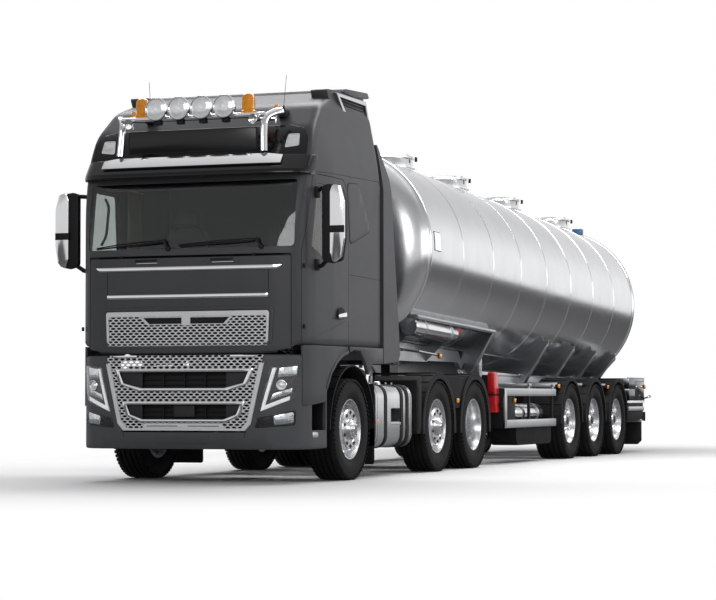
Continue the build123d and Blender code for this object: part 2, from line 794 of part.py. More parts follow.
# ------------------------------------------------------------ roof bar
bar_station = 215
bar_z = 3590
bar_half = 760
lamp_xs = [-360, -120, 120, 360]
lamp_sections = [(-18, 35), (-10, 70), (15, 98), (50, 108), (75, 108)]
with BuildPart() as roof_bar:
    crossbar(30, (-bar_half, bar_half), bar_station, bar_z - 45)
    block((-420, 420), (bar_station - 12, bar_station + 12), (bar_z - 80, bar_z - 40))
    for side in (-1, 1):
        post(18, side * 690, bar_station, (3100, bar_z))
        post(55, side * 605, bar_station, (bar_z - 30, bar_z + 170))
        # curved side leg of the bar, from the visor to its end
        leg = [(side * 766, bar_station - 28, 3150), (side * 756, bar_station - 10, 3360), (side * 752, bar_station, bar_z - 45)]
        for foot, head in zip(leg, leg[1:]):
            rod(34, foot, head)
    block((-680, 680), (bar_station - 15, bar_station + 15), (3205, 3430))
    for x in lamp_xs:
        lamp_base = Plane((x, at(bar_station), bar_z + 45), z_dir=(0, -1, 0))
        add(turned(lamp_sections, lamp_sides, base=lamp_base))
    add(visor.part, mode=Mode.SUBTRACT)
save(roof_bar.part, "roof_bar")

# ------------------------------------------------------------ bumper
bumper_side = [(60, 330), (8, 430), (0, 900), (20, 1234), (720, 1234), (720, 330)]
bumper_plan = [(500, 0), (850, 30), (1040, 100), (1140, 200), (1190, 340), (1215, 720)]
bumper_wall = 45


def bumper_form(inset=0.0, open_ends=False):
    """The bumper's outer form, drawn in by an inset: side and plan outlines crossed.

    With open ends it runs on past the bumper's top and bottom.
    """
    with BuildPart() as form:
        with BuildSketch(Plane.YZ.offset(-cab_half_width)):
            with BuildLine():
                Polyline([(at(s), z) for s, z in bumper_side], close=True)
            make_face()
            if inset:
                offset(amount=-inset, kind=Kind.INTERSECTION)
            if open_ends:
                bottom, top = bumper_side[0], bumper_side[3]
                with BuildLine():
                    ends = [
                        (at(bottom[0] + inset), bottom[1] - 60),
                        (at(bumper_side[1][0] + inset), bumper_side[1][1] + inset),
                        (at(top[0] + inset), top[1] - inset),
                        (at(top[0] + inset), top[1] + 60),
                        (at(bumper_side[4][0] + 60), top[1] + 60),
                        (at(bumper_side[4][0] + 60), bottom[1] - 60),
                    ]
                    Polyline(ends, close=True)
                make_face()
        extrude(amount=2 * cab_half_width)
        with BuildSketch(Plane.XY.offset(100)):
            with BuildLine():
                Polyline([(x, at(s)) for x, s in both(bumper_plan)], close=True)
            make_face()
            if inset:
                offset(amount=-inset, kind=Kind.INTERSECTION)
        extrude(amount=1300, mode=Mode.INTERSECT)
    return form.part


def shaved(outline, gap):
    """A front plate through the bumper, its outline drawn in by a gap."""
    with BuildPart() as plate:
        with BuildSketch(Plane.XZ.offset(-at(-20))):
            with BuildLine():
                Polyline(outline, close=True)
            make_face()
            if gap:
                offset(amount=-gap, kind=Kind.INTERSECTION)
        extrude(amount=-360)
    return plate.part


grille_outline = [(830, 1260), (660, 530), (-660, 530), (-830, 1260)]
lamp_outline = [(845, 1125), (1150, 1135), (1172, 930), (1090, 862), (830, 850)]
step_well = ((1010, 1240), (390, 660), (480, 1260))
bumper_outer = bumper_form()
bumper_room = bumper_form(bumper_wall, open_ends=True)

with BuildPart() as lamp_hole:
    add(shaved(lamp_outline, 0))
    mirror(about=Plane.YZ)

# the bumper stands back behind the doors' skirts
with BuildPart() as skirt_room:
    add(cab_band((skirt_bottom - 50, 1400), -60, 60 + skirt_thickness + panel_gap))
    add(grown(skirt_outline, (1000, cab_half_width + 60), panel_gap), mode=Mode.INTERSECT)
    mirror(about=Plane.YZ)

with BuildPart() as front_bumper:
    add(bumper_outer)
    add(bumper_room, mode=Mode.SUBTRACT)
    block((-1160, 1160), (600, 760), (0, 1500), Mode.SUBTRACT)
    add(shaved(grille_outline, 0), mode=Mode.SUBTRACT)
    add(lamp_hole.part, mode=Mode.SUBTRACT)
    for side in (-1, 1):
        well = sorted((side * step_well[0][0], side * step_well[0][1]))
        block(well, step_well[1], step_well[2], Mode.SUBTRACT)
        back = sorted((side * (step_well[0][0] - 10), side * step_well[0][0]))
        block(back, (330, 700), (400, 1220))
        for z in (450, 860):
            tread = sorted((side * step_well[0][0], side * 1190))
            block(tread, (step_well[1][0] - 20, step_well[1][1] + 20), (z, z + 30))
    add(skirt_room.part, mode=Mode.SUBTRACT)
    with Locations(Location((0, at(20), 450), (90, 0, 0))):
        Cylinder(20, 200, mode=Mode.SUBTRACT)
save(front_bumper.part, "front_bumper")

with BuildPart() as headlamps:
    add(bumper_form(-4))
    add(bumper_form(70), mode=Mode.SUBTRACT)
    add(shaved(lamp_outline, seat_gap), mode=Mode.INTERSECT)
    mirror(about=Plane.YZ)
save(headlamps.part, "headlamps")

# half outlines of the two framed openings, from the top
grille_openings = [
    [(700, 1082), (650, 960), (450, 905)],
    [(615, 790), (575, 690), (440, 640)],
]
slat_pitch = 42
slat_height = 12
lower_rows = [(1190, 790, 0), (1190 - mesh_row, 780, 0), (848, 700, 0), (600, 620, 0)]


def bumper_layer(outer, inner):
    """The layer of the bumper's form between two insets."""
    with BuildPart() as layer:
        add(bumper_form(outer))
        add(bumper_form(inner, open_ends=True), mode=Mode.SUBTRACT)
    return layer.part


def opening_frame(opening):
    """A raised frame round a grille opening."""
    with BuildPart() as frame:
        add(shaved(both(opening), -22))
        add(shaved(both(opening), 0), mode=Mode.SUBTRACT)
        add(bumper_layer(-14, 20), mode=Mode.INTERSECT)
    return frame.part


def opening_slats(opening):
    """The slats across a grille opening, let into its frame."""
    low = opening[2][1] + slat_pitch / 2
    count = round((opening[0][1] - opening[2][1]) / slat_pitch)
    with BuildPart() as slats:
        for z in [low + i * slat_pitch for i in range(count)]:
            block((-cab_half_width, cab_half_width), (-20, 300), (z, z + slat_height))
        add(bumper_layer(14, 26), mode=Mode.INTERSECT)
        add(shaved(both(opening), -6), mode=Mode.INTERSECT)
    return slats.part


with BuildPart() as lower_grille:
    add(bumper_layer(8, 30))
    add(shaved(grille_outline, seat_gap), mode=Mode.INTERSECT)
    add(honeycomb(lower_rows), mode=Mode.SUBTRACT)
    for opening in grille_openings:
        add(front_plate(both(opening), (-20, 200)), mode=Mode.SUBTRACT)
        add(opening_frame(opening))
        add(opening_slats(opening))
save(lower_grille.part, "lower_grille")

# frame of the tractor, with the brackets that reach into the bumper
bracket_side = [(20, 400), (20, 500), (600, 720), (760, 720), (760, rail_bottom), (620, 640)]
with BuildPart() as bumper_brackets:
    for side in (-1, 1):
        x = sorted((side * (rail_half_width - rail_flange), side * rail_half_width))
        add(side_plate(bracket_side, x))
    add(bumper_form(bumper_wall + seat_gap, open_ends=True), mode=Mode.INTERSECT)

with BuildPart() as chassis_frame:
    add(front_plate(rail_section, (rail_front, rail_rear)))
    mirror(about=Plane.YZ)
    inner = rail_half_width - rail_plate
    for s in crossmember_stations:
        block((-inner, inner), (s - 35, s + 35), (760, 920))
    for s in cab_mount_stations:
        for side in (-1, 1):
            x = sorted((side * (rail_half_width - 75), side * (rail_half_width + 5)))
            block(x, (s - 45, s + 45), (rail_top, cab_floor))
    # walkway plate behind the cab and the stand of the coupling heads
    block((-rail_half_width, rail_half_width), deck, (rail_top, rail_top + 30))
    block((-300, 300), (deck[0], deck[0] + 40), (rail_top + 30, 1560))
    for x in (-180, -60, 60, 180):
        rod(32, (x, deck[0] + 30, 1480), (x, deck[0] + 110, 1480))
    # brackets that carry the bumper
    add(bumper_brackets.part)
save(chassis_frame.part, "chassis_frame")

# ------------------------------------------------------------ tank
slope = math.atan(tank_fall)
tank_axis = Vector(0, math.cos(slope), -math.sin(slope))
tank_up = Vector(0, math.sin(slope), math.cos(slope))
tank_origin = Vector(0, at(tank_front_station), tank_front_height)
# distance beyond the ring, radius, of a domed end
dome = [(0.98 * dome_depth, 0.22 * tank_radius), (0.85 * dome_depth, 0.55 * tank_radius), (0.47 * dome_depth, 0.85 * tank_radius)]


def tank_form(sections, sides=tank_sides):
    """A many-sided solid about the tank's sloping axis, from (distance, radius)."""
    return turned(sections, sides, base=Plane(tank_origin, x_dir=(1, 0, 0), z_dir=tank_axis))


barrel_sections = [(-x, r) for x, r in dome] + [(0, tank_radius), (tank_length, tank_radius)]
barrel_sections += [(tank_length + x, r) for x, r in reversed(dome)]
ring_band = 70
ring_proud = 26
saddle_cut = tank_form([(-400, tank_radius + seat_gap), (tank_length + 400, tank_radius + seat_gap)])

with BuildPart() as tank_barrel:
    add(tank_form(barrel_sections))
    for start in (-ring_band / 2, tank_length - ring_band / 2):
        add(tank_form([(start, tank_radius + ring_proud), (start + ring_band, tank_radius + ring_proud)]))
    inside = tank_radius - tank_wall
    add(tank_form([(0, inside), (tank_length, inside)], 24), mode=Mode.SUBTRACT)
save(tank_barrel.part, "tank_barrel")


def crown(station, height=0.0):
    """A plane on the tank's crown at a station, raised by a height along its normal."""
    distance = (station - tank_front_station) / math.cos(slope)
    origin = tank_origin + tank_axis * distance + tank_up * (tank_radius + height)
    return Plane(origin, x_dir=(1, 0, 0), z_dir=tank_up)


lid_radius = 288
lid_pin_x = -325
lid_pin_radius = 8
lid_pin_height = turret_height + 15

with BuildPart() as turret_necks:
    for station in turret_stations:
        with BuildSketch(crown(station, -60)):
            RegularPolygon(turret_radius, turret_sides)
            RegularPolygon(turret_radius - turret_wall, turret_sides, major_radius=False, mode=Mode.SUBTRACT)
        extrude(amount=60 + turret_height)
        # hinge lugs and pin
        lug_far = lid_pin_x - 25
        for lug_near, low, high in ((25 - turret_radius, -70, 0), (-lid_radius - 8, -1, 30)):
            with BuildSketch(crown(station, turret_height + low)):
                middle = (lug_near + lug_far) / 2
                with Locations((middle, -52), (middle, 52)):
                    Rectangle(lug_near - lug_far, 14)
            extrude(amount=high - low)
        pin_plane = crown(station, lid_pin_height)
        with BuildSketch(Plane(pin_plane.from_local_coords((lid_pin_x, -59, 0)), x_dir=(1, 0, 0), z_dir=tank_axis)):
            RegularPolygon(lid_pin_radius, rod_sides)
        extrude(amount=118)
    # valve box behind the last turret
    with BuildSketch(crown(13700, -60)):
        with Locations((300, 0)):
            Rectangle(150, 120)
    extrude(amount=96)
    add(saddle_cut, mode=Mode.SUBTRACT)
save(turret_necks.part, "turret_necks")

for number, station in enumerate(turret_stations, start=1):
    with BuildPart() as lid:
        with BuildSketch(crown(station, turret_height + seat_gap)):
            RegularPolygon(lid_radius, turret_sides)
            with Locations((lid_pin_x / 2 - lid_radius / 2 + 10, 0)):
                Rectangle(-lid_pin_x - lid_radius + 60, 80)
        extrude(amount=30)
        with BuildSketch(crown(station, turret_height + 30)):
            RegularPolygon(190, turret_sides)
        extrude(amount=26)
        pin_plane = crown(station, lid_pin_height)
        with BuildSketch(Plane(pin_plane.from_local_coords((lid_pin_x, -60, 0)), x_dir=(1, 0, 0), z_dir=tank_axis)):
            RegularPolygon(lid_pin_radius + seat_gap, rod_sides, major_radius=False)
        extrude(amount=120, mode=Mode.SUBTRACT)
    save(lid.part, f"manhole_lid_{number}")

# ------------------------------------------------------------ trailer frame
saddle_stations = [7230, 9780, 11150, 12400, 13550]
saddle_drop = 745
shelf_x = (845, 925)
frame_rear = 13900


def tank_centre_height(station):
    """Height of the tank's axis over a station."""
    return tank_front_height - tank_fall * (station - tank_front_station)


rail_side = [
    (4350, coupler_bottom + 12),
    (4350, 1500),
    (7000, 1500),
    (7420, trailer_rail_top),
    (frame_rear, trailer_rail_top),
    (frame_rear, trailer_rail_bottom),
    (7560, trailer_rail_bottom),
    (7100, coupler_bottom + 12),
]
with BuildPart() as trailer_frame:
    for side in (-1, 1):
        x = sorted((side * trailer_rail_inner, side * trailer_rail_outer))
        add(side_plate(rail_side, x))
        # shelf along the tank's lower flank
        front_z = tank_centre_height(4250) - saddle_drop
        rear_z = tank_centre_height(7250) - saddle_drop
        shelf = [(4250, front_z - 45), (4250, front_z), (7250, rear_z), (7250, rear_z - 45)]
        add(side_plate(shelf, sorted((side * 700, side * shelf_x[1]))))
        # landing leg
        leg = sorted((side * 600, side * 730))
        block(sorted((side * 490, side * 730)), (leg_station - 65, leg_station + 65), (trailer_rail_bottom + 40, 1130))
        block(leg, (leg_station - 65, leg_station + 65), (450, 1130))
        block(sorted((side * 620, side * 710)), (leg_station - 45, leg_station + 45), (330, 450))
        block(sorted((side * 560, side * 770)), (leg_station - 110, leg_station + 110), (310, 330))
    # coupler plate, kingpin and the bolster's cross plates
    block((-trailer_rail_outer, trailer_rail_outer), (4330, 5900), (coupler_bottom, coupler_bottom + 14))
    post(kingpin_radius, 0, kingpin_station, (coupler_bottom - 84, coupler_bottom + 5))
    for s in (4400, 5850):
        z = tank_centre_height(s) - saddle_drop
        outline = both([(trailer_rail_outer, coupler_bottom + 5), (shelf_x[1], z - 45), (shelf_x[1], z)])
        add(front_plate(outline, (s - 8, s + 8)))
    for s in saddle_stations:
        z = tank_centre_height(s) - saddle_drop
        low = trailer_rail_bottom + 50
        outline = both([(trailer_rail_outer, low), (trailer_rail_outer + 60, low), (shelf_x[1], z - 80), (shelf_x[1], z)])
        add(front_plate(outline, (s - 8, s + 8)))
    for s in (trailer_first_station - 700, trailer_first_station + 600, trailer_stations[1] + 600, frame_rear - 60):
        block((-trailer_rail_inner, trailer_rail_inner), (s - 40, s + 40), (trailer_rail_bottom + 30, trailer_rail_top - 85))
    add(saddle_cut, mode=Mode.SUBTRACT)
save(trailer_frame.part, "trailer_frame")

hanger_reach = 470
with BuildPart() as trailer_axles:
    for station in trailer_stations:
        block((-820, 820), (station - 65, station + 65), (tyre_radius - 65, tyre_radius + 65))
        crossbar(spindle_radius, (-1085, 1085), station, tyre_radius)
        for side in (-1, 1):
            x = sorted((side * trailer_rail_inner, side * trailer_rail_outer))
            block(x, (station - hanger_reach - 50, station - hanger_reach + 50), (470, trailer_rail_bottom))
            arm = [
                (station - hanger_reach, 490),
                (station + 80, 430),
                (station + 440, 430),
                (station + 440, 480),
                (station - hanger_reach, 580),
            ]
            add(side_plate(arm, x))
            post(110, sum(x) / 2, station + 330, (475, trailer_rail_bottom))
save(trailer_axles.part, "trailer_axles")

guard_x = (1150, 1190)
guard_stations = (6910, 9190)
# extinguisher box before the guard, and the low tray under it
box_x = (920, guard_x[0] - 40)
box_side = [(6700, 650), (6745, 1130), (6840, 1130), (6890, 900), (6890, 630)]
tray_x = (800, guard_x[0] - 20)
tray_stations = (7480, 9120)
tray_z = (225, 470)

with BuildPart() as side_guards:
    add(side_plate(box_side, box_x))
    block((box_x[1] - 40, guard_x[0] - 20), (6870, guard_stations[0] + 20), (700, 760))
    block(tray_x, tray_stations, tray_z)
    for z in (450, 860):
        block(guard_x, guard_stations, (z, z + 80))
    for s in (guard_stations[0], 8000, guard_stations[1] - 60):
        block((guard_x[0] - 30, guard_x[1] - 10), (s, s + 60), (450, 940))
    for s in (8010, guard_stations[1] - 50):
        block((trailer_rail_outer, guard_x[0] - 10), (s, s + 40), (trailer_rail_bottom + 10, trailer_rail_bottom + 50))
        block((guard_x[0] - 30, guard_x[0]), (s, s + 40), (900, trailer_rail_bottom + 50))
    mirror(about=Plane.YZ)
save(side_guards.part, "side_guards")

with BuildPart() as trailer_mudguards:
    for station in trailer_stations:
        add(mudguard(station, 560, (815, guard_reach), 480))
        for s in (station - 300, station + 300):
            crossbar(20, (trailer_rail_outer, wheel_face - 60), s, 990)
    mirror(about=Plane.YZ)
save(trailer_mudguards.part, "trailer_mudguards")

cabinet_stations = (13270, 14180)
rear_flap_station = cabinet_stations[1] - 90
with BuildPart() as rear_cabinet:
    cabinet_floor = trailer_rail_bottom - seat_gap
    block((-1200, 1200), cabinet_stations, (490, cabinet_floor))
    for side in (-1, 1):
        block(sorted((side * 720, side * 1200)), cabinet_stations, (cabinet_floor, 1110))
    block((-1200, 1200), (frame_rear + seat_gap, cabinet_stations[1]), (cabinet_floor, 1110))
    # underrun bar on two arms
    for side in (-1, 1):
        block(sorted((side * 400, side * 480)), (cabinet_stations[1], overall_length - 100), (500, 620))
    block((-1200, 1200), (overall_length - 110, overall_length), (420, 620))
    # flaps that hang behind the last wheels
    for side in (-1, 1):
        block(sorted((side * 700, side * 1200)), (rear_flap_station, rear_flap_station + 10), (110, 500))
    with Locations(Location((0, at(cabinet_stations[1] - 50), 700), (90, 0, 0))):
        Cylinder(40, 120, mode=Mode.SUBTRACT)
save(rear_cabinet.part, "rear_cabinet")

ladder_x = (-1090, -770)
with BuildPart() as rear_ladder:
    s = cabinet_stations[1] - 60
    for x in ladder_x:
        post(18, x, s, (1110, 2900))
    for step in range(6):
        crossbar(14, ladder_x, s, 1300 + 280 * step)
save(rear_ladder.part, "rear_ladder")
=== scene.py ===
"""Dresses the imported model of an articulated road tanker: a high-roof tractor and a stainless tank trailer.

Metres, in the model's own frame: the lorry faces -Y, +X is its left side and the wheels stand on z = 0.
A station is a distance measured back from the front face of the bumper.
"""

import logging
import math
from collections.abc import Callable, Sequence
from dataclasses import dataclass, field
from enum import Enum

import bmesh
import bpy
import numpy as np
from mathutils import Matrix, Vector


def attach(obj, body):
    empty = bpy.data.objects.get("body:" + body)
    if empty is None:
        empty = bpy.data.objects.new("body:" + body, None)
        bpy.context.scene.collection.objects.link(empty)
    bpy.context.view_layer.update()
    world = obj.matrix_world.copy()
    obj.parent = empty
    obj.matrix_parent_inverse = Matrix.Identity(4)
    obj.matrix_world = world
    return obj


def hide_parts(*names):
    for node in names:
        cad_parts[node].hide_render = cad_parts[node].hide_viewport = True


log = logging.getLogger("tanker")
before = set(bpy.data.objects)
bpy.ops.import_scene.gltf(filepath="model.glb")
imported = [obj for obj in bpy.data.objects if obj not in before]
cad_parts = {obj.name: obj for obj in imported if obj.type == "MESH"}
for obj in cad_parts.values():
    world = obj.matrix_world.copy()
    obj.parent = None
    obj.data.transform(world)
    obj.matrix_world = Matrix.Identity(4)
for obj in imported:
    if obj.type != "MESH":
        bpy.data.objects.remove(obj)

FRONT = -7.160
TYRE_RADIUS = 0.507
WHEEL_FACE = 1.205

Point = tuple[float, float, float]
Outline = Sequence[tuple[float, float]]


def at(station: float) -> float:
    """Returns the y of a station, measured back from the bumper's front face."""
    return FRONT + station


def linear(code: str) -> tuple[float, float, float, float]:
    """Turns an sRGB hex colour into linear values.

    Args:
        code: Six hex digits, with or without a leading hash.

    Returns:
        Red, green, blue and an alpha of 1.
    """
    digits = code.lstrip("#")
    parts = [int(digits[i : i + 2], 16) / 255 for i in (0, 2, 4)]
    red, green, blue = [p / 12.92 if p <= 0.04045 else ((p + 0.055) / 1.055) ** 2.4 for p in parts]
    return red, green, blue, 1.0


# ---------------------------------------------------------------- nodes and finishes
def add_node(
    tree: bpy.types.NodeTree, kind: str, inputs: dict | None = None, **settings: object
) -> bpy.types.Node:
    """Adds a node to a tree, with its settings and its inputs.

    Args:
        tree: The node tree.
        kind: The node's type name.
        inputs: Values or output sockets, by the input's name or index.
        settings: The node's own properties.

    Returns:
        The new node.
    """
    node = tree.nodes.new(kind)
    for key, value in settings.items():
        setattr(node, key, value)
    for key, value in (inputs or {}).items():
        if isinstance(value, bpy.types.NodeSocket):
            tree.links.new(value, node.inputs[key])
        else:
            node.inputs[key].default_value = value
    return node


class Grain(Enum):
    """The way a surface's fine marks run."""

    EVEN = (1.0, 1.0, 1.0)
    ALONG_X = (0.04, 1.0, 1.0)
    ALONG_Y = (1.0, 0.04, 1.0)
    ALONG_Z = (1.0, 1.0, 0.04)


@dataclass(frozen=True)
class Finish:
    """A surface finish and how it is made from nodes.

    Args:
        name: The material's name.
        slot: The record's material slot that it belongs to; it is not used.
        colour: Its main colour, as sRGB hex.
        shade: The colour its patches and film turn to.
        roughness: Its mean roughness.
        metallic: 1 for bare metal.
        spread: How far the roughness wanders either way.
        grain_mm: The size of its fine marks.
        depth_mm: How deep the fine marks look.
        patch_mm: The size of its broad patches.
        patchy: The share of the shade in the broad patches.
        grain: The way the fine marks run.
        coat: The weight of a clear coat.
        clear: The share of light that goes through.
        ior: The index of refraction of what isn't metal.
        sheen: The share of the plain mirror shine that a surface which isn't metal keeps, 0.5 being all.
        glow: The strength of its own light: a real glow on the lamps, a painted glow on the white vinyl.
    """

    name: str
    slot: str
    colour: str
    shade: str
    roughness: float
    metallic: float = 0.0
    spread: float = 0.05
    grain_mm: float = 2.0
    depth_mm: float = 0.05
    patch_mm: float = 400.0
    patchy: float = 0.3
    grain: Grain = Grain.EVEN
    coat: float = 0.0
    clear: float = 0.0
    ior: float = 1.5
    sheen: float = 0.5
    glow: float = 0.0

    def material(self) -> bpy.types.Material:
        """Returns this finish's material, which is built when it is first asked for."""
        ready = bpy.data.materials.get(self.name)
        if ready:
            return ready
        material = bpy.data.materials.new(self.name)
        material.use_nodes = True
        tree = material.node_tree
        shader = tree.nodes["Principled BSDF"]
        place = add_node(tree, "ShaderNodeTexCoord").outputs["Object"]
        broad = add_node(
            tree, "ShaderNodeTexNoise",
            {"Vector": place, "Scale": 1000 / self.patch_mm, "Detail": 4.0, "Roughness": 0.6}
        )
        stretched = add_node(tree, "ShaderNodeMapping", {"Vector": place, "Scale": self.grain.value})
        fine = add_node(
            tree,
            "ShaderNodeTexNoise",
            {
                "Vector": stretched.outputs[0], "Scale": 1000 / self.grain_mm, "Detail": 2.0,
                "Roughness": 0.5,
            },
        )
        share = add_node(
            tree,
            "ShaderNodeMapRange",
            {
                "Value": broad.outputs[0], "From Min": 0.35, "From Max": 0.7, "To Min": 0.0,
                "To Max": self.patchy,
            },
        )
        colour = add_node(
            tree,
            "ShaderNodeMix",
            {0: share.outputs[0], 6: linear(self.colour), 7: linear(self.shade)},
            data_type="RGBA",
        )
        tree.links.new(colour.outputs[2], shader.inputs["Base Color"])
        mixed = add_node(
            tree, "ShaderNodeMath", {0: fine.outputs[0], 1: broad.outputs[0]}, operation="ADD"
        )
        rough = add_node(
            tree,
            "ShaderNodeMapRange",
            {
                "Value": mixed.outputs[0],
                "From Min": 0.6,
                "From Max": 1.4,
                "To Min": max(self.roughness - self.spread, 0.02),
                "To Max": self.roughness + self.spread,
            },
        )
        tree.links.new(rough.outputs[0], shader.inputs["Roughness"])
        if self.depth_mm:
            bump = add_node(
                tree,
                "ShaderNodeBump",
                {"Height": fine.outputs[0], "Strength": 0.4, "Distance": self.depth_mm / 1000},
            )
            tree.links.new(bump.outputs[0], shader.inputs["Normal"])
        shader.inputs["Metallic"].default_value = self.metallic
        shader.inputs["Coat Weight"].default_value = self.coat
        shader.inputs["Coat Roughness"].default_value = 0.06
        if not self.metallic:
            shader.inputs["IOR"].default_value = self.ior
            shader.inputs["Specular IOR Level"].default_value = self.sheen
        shader.inputs["Transmission Weight"].default_value = self.clear
        if self.glow:
            shader.inputs["Emission Color"].default_value = linear(self.colour)
            shader.inputs["Emission Strength"].default_value = self.glow
        return material


# Satin car paint over primer: a dark, slightly cool grey that goes soft and light where it turns to the sky.
CAB_PAINT = Finish(
    "satin_grey_car_paint", "cab_paint", "#46474A", "#3F4043", 0.4, spread=0.03, grain_mm=3,
    depth_mm=0.01, patchy=0.4, sheen=0.22,
)
# The same grey moulded into plastic, a shade darker and duller than the sheet metal above it.
BUMPER_PAINT = Finish(
    "painted_moulded_bumper", "cab_paint", "#4E4F52", "#454649", 0.45, spread=0.04, grain_mm=3,
    depth_mm=0.02, patchy=0.4, sheen=0.22,
)
# Gloss black plastic, which shows the sky as a hard light line on its upper edges.
GLOSS_BLACK = Finish(
    "gloss_black_plastic", "black_plastic", "#121213", "#0D0D0E", 0.16, spread=0.03, grain_mm=4,
    depth_mm=0.01, sheen=0.4,
)
# Moulded black polypropylene with a fine leather-like grain that greys it at a glance.
MOULDED_BLACK = Finish(
    "moulded_black_plastic", "black_plastic", "#171718", "#101011", 0.6, spread=0.08, grain_mm=2.5,
    depth_mm=0.15, patchy=0.5, sheen=0.25,
)
# Chromed plastic and steel: white where it faces the light, dark where it faces the ground.
CHROME = Finish(
    "bright_chrome_plate", "bright_chrome", "#EDEEF0", "#DDDFE2", 0.09, metallic=1, spread=0.03,
    grain_mm=6, depth_mm=0.01, patchy=0.3,
)
# Silver paint with fine flake, which reads pale from every side.
GRILLE_SILVER = Finish(
    "silver_flake_paint", "bright_chrome", "#D6D7D9", "#C6C8CB", 0.34, spread=0.03, grain_mm=1,
    depth_mm=0.01, patch_mm=150, patchy=0.3, coat=0.3,
)
# Aluminium with a satin brushed face, pale and even, with hardly a mirror image in it.
SATIN_SILVER = Finish(
    "satin_anodised_aluminium", "bright_chrome", "#D2D4D7", "#BFC1C5", 0.34, metallic=1, spread=0.06,
    grain_mm=3, depth_mm=0.02, patchy=0.4, grain=Grain.ALONG_X,
)
# Forged wheel aluminium, polished by hand, with faint cloudy wipe marks.
WHEEL_ALLOY = Finish(
    "polished_wheel_aluminium", "wheel_alloy", "#E3E4E6", "#C9CBCF", 0.27, metallic=1, spread=0.01,
    grain_mm=5, depth_mm=0.002, patch_mm=90, patchy=0.3,
)
# Vulcanised rubber, a warm near black with a dusty bloom.
TYRE_RUBBER = Finish(
    "vulcanised_tyre_rubber", "tyre_rubber", "#101010", "#171716", 0.7, spread=0.1, grain_mm=4,
    depth_mm=0.2, patch_mm=120, patchy=0.7, sheen=0.25,
)
# Stainless sheet, cold rolled and polished round the barrel: soft streaked reflections along the tank.
TANK_STEEL = Finish(
    "polished_stainless_sheet", "polished_stainless", "#E8E9EB", "#D3D5D8", 0.2, metallic=1,
    spread=0.04, grain_mm=7, depth_mm=0.02, patch_mm=700, patchy=0.45, grain=Grain.ALONG_Y,
)
# Stainless of the trailer's frame, as rolled and only brushed, greyer than the barrel.
FRAME_STEEL = Finish(
    "brushed_stainless_frame", "frame_stainless", "#A9ABAE", "#8D8F92", 0.3, metallic=1, spread=0.06,
    grain_mm=5, depth_mm=0.04, patch_mm=300, patchy=0.5, grain=Grain.ALONG_Y,
)
# Dark tinted mirror stainless of the rear cabinet.
CABINET_STEEL = Finish(
    "dark_mirror_stainless", "cabinet_stainless", "#6E7074", "#4C4E52", 0.16, metallic=1, spread=0.05,
    grain_mm=5, depth_mm=0.02, patch_mm=350,
)
# Extruded aluminium, mill bright, with draw lines along it.
BRIGHT_ALUMINIUM = Finish(
    "extruded_bright_aluminium", "tank_aluminium", "#D2D4D6", "#BDBFC2", 0.36, metallic=1, spread=0.02,
    grain_mm=4, depth_mm=0.004, patch_mm=250, patchy=0.4, grain=Grain.ALONG_Y,
)
# Rolled tank aluminium buffed to a soft mirror: light above, dark where it turns to the ground.
BUFFED_ALUMINIUM = Finish(
    "buffed_tank_aluminium", "tank_aluminium", "#D8DADC", "#C6C8CB", 0.2, metallic=1, spread=0.02,
    grain_mm=5, depth_mm=0.004, patch_mm=300, patchy=0.4, grain=Grain.ALONG_Y,
)
# Chassis paint sprayed over rolled steel, dark and slightly orange-peeled under road dust.
FRAME_PAINT = Finish(
    "sprayed_chassis_paint", "frame_paint", "#232426", "#2C2B2A", 0.5, spread=0.08, grain_mm=5,
    depth_mm=0.12, patch_mm=160, patchy=0.6, sheen=0.3,
)
# Sand-cast iron under thin black paint, coarse and dull.
AXLE_IRON = Finish(
    "painted_cast_iron", "axle_iron", "#242527", "#33302D", 0.62, spread=0.1, grain_mm=4, depth_mm=0.4,
    patch_mm=110, patchy=0.6,
)
# Bare grey iron of the engine, rough from the mould.
ENGINE_IRON = Finish(
    "cast_engine_iron", "engine_iron", "#4A4B4D", "#3B3733", 0.6, metallic=0.6, spread=0.1, grain_mm=4,
    depth_mm=0.4, patch_mm=110, patchy=0.6,
)
# Greased coupling iron: black and wet-looking in streaks.
GREASED_IRON = Finish(
    "greased_coupling_iron", "coupling_iron", "#1E1D1C", "#3C3B39", 0.35, metallic=0.5, spread=0.2,
    grain_mm=8, depth_mm=0.3, patch_mm=120, patchy=0.7,
)
# Laminated window glass with a green-grey body tint.
WINDOW_GLASS = Finish(
    "laminated_window_glass", "window_glass", "#C9CFCD", "#C2C9C6", 0.03, spread=0.01, depth_mm=0,
    patchy=0.2, clear=1.0, ior=1.45,
)
# Soft-touch dashboard and seat plastic, dark grey-brown without shine.
CAB_TRIM = Finish(
    "soft_touch_cab_trim", "cab_trim", "#4A4A48", "#3E3E3C", 0.75, spread=0.08, grain_mm=3,
    depth_mm=0.3, patchy=0.5,
)
# Woven curtain cloth in olive, with a coarse slub that breaks up the light.
CURTAIN_CLOTH = Finish(
    "olive_woven_curtain", "cab_trim", "#77785A", "#5F6046", 0.9, spread=0.05, grain_mm=5, depth_mm=0.6,
    patchy=0.6, grain=Grain.ALONG_Z,
)
# Clear moulded polycarbonate of the lamp covers.
CLEAR_LENS = Finish(
    "clear_polycarbonate_lens", "lamp_plastic", "#F4F6F7", "#EDF0F1", 0.04, spread=0.01, depth_mm=0,
    clear=1.0, ior=1.5,
)
# Pebbled reflector glass of the roof lamps, which sparkles in small facets.
LAMP_GLASS = Finish(
    "pebbled_lamp_glass", "lamp_plastic", "#F6F7F8", "#C9CDD1", 0.12, metallic=0.3, spread=0.08,
    grain_mm=22, depth_mm=3, patch_mm=60, patchy=0.6,
)
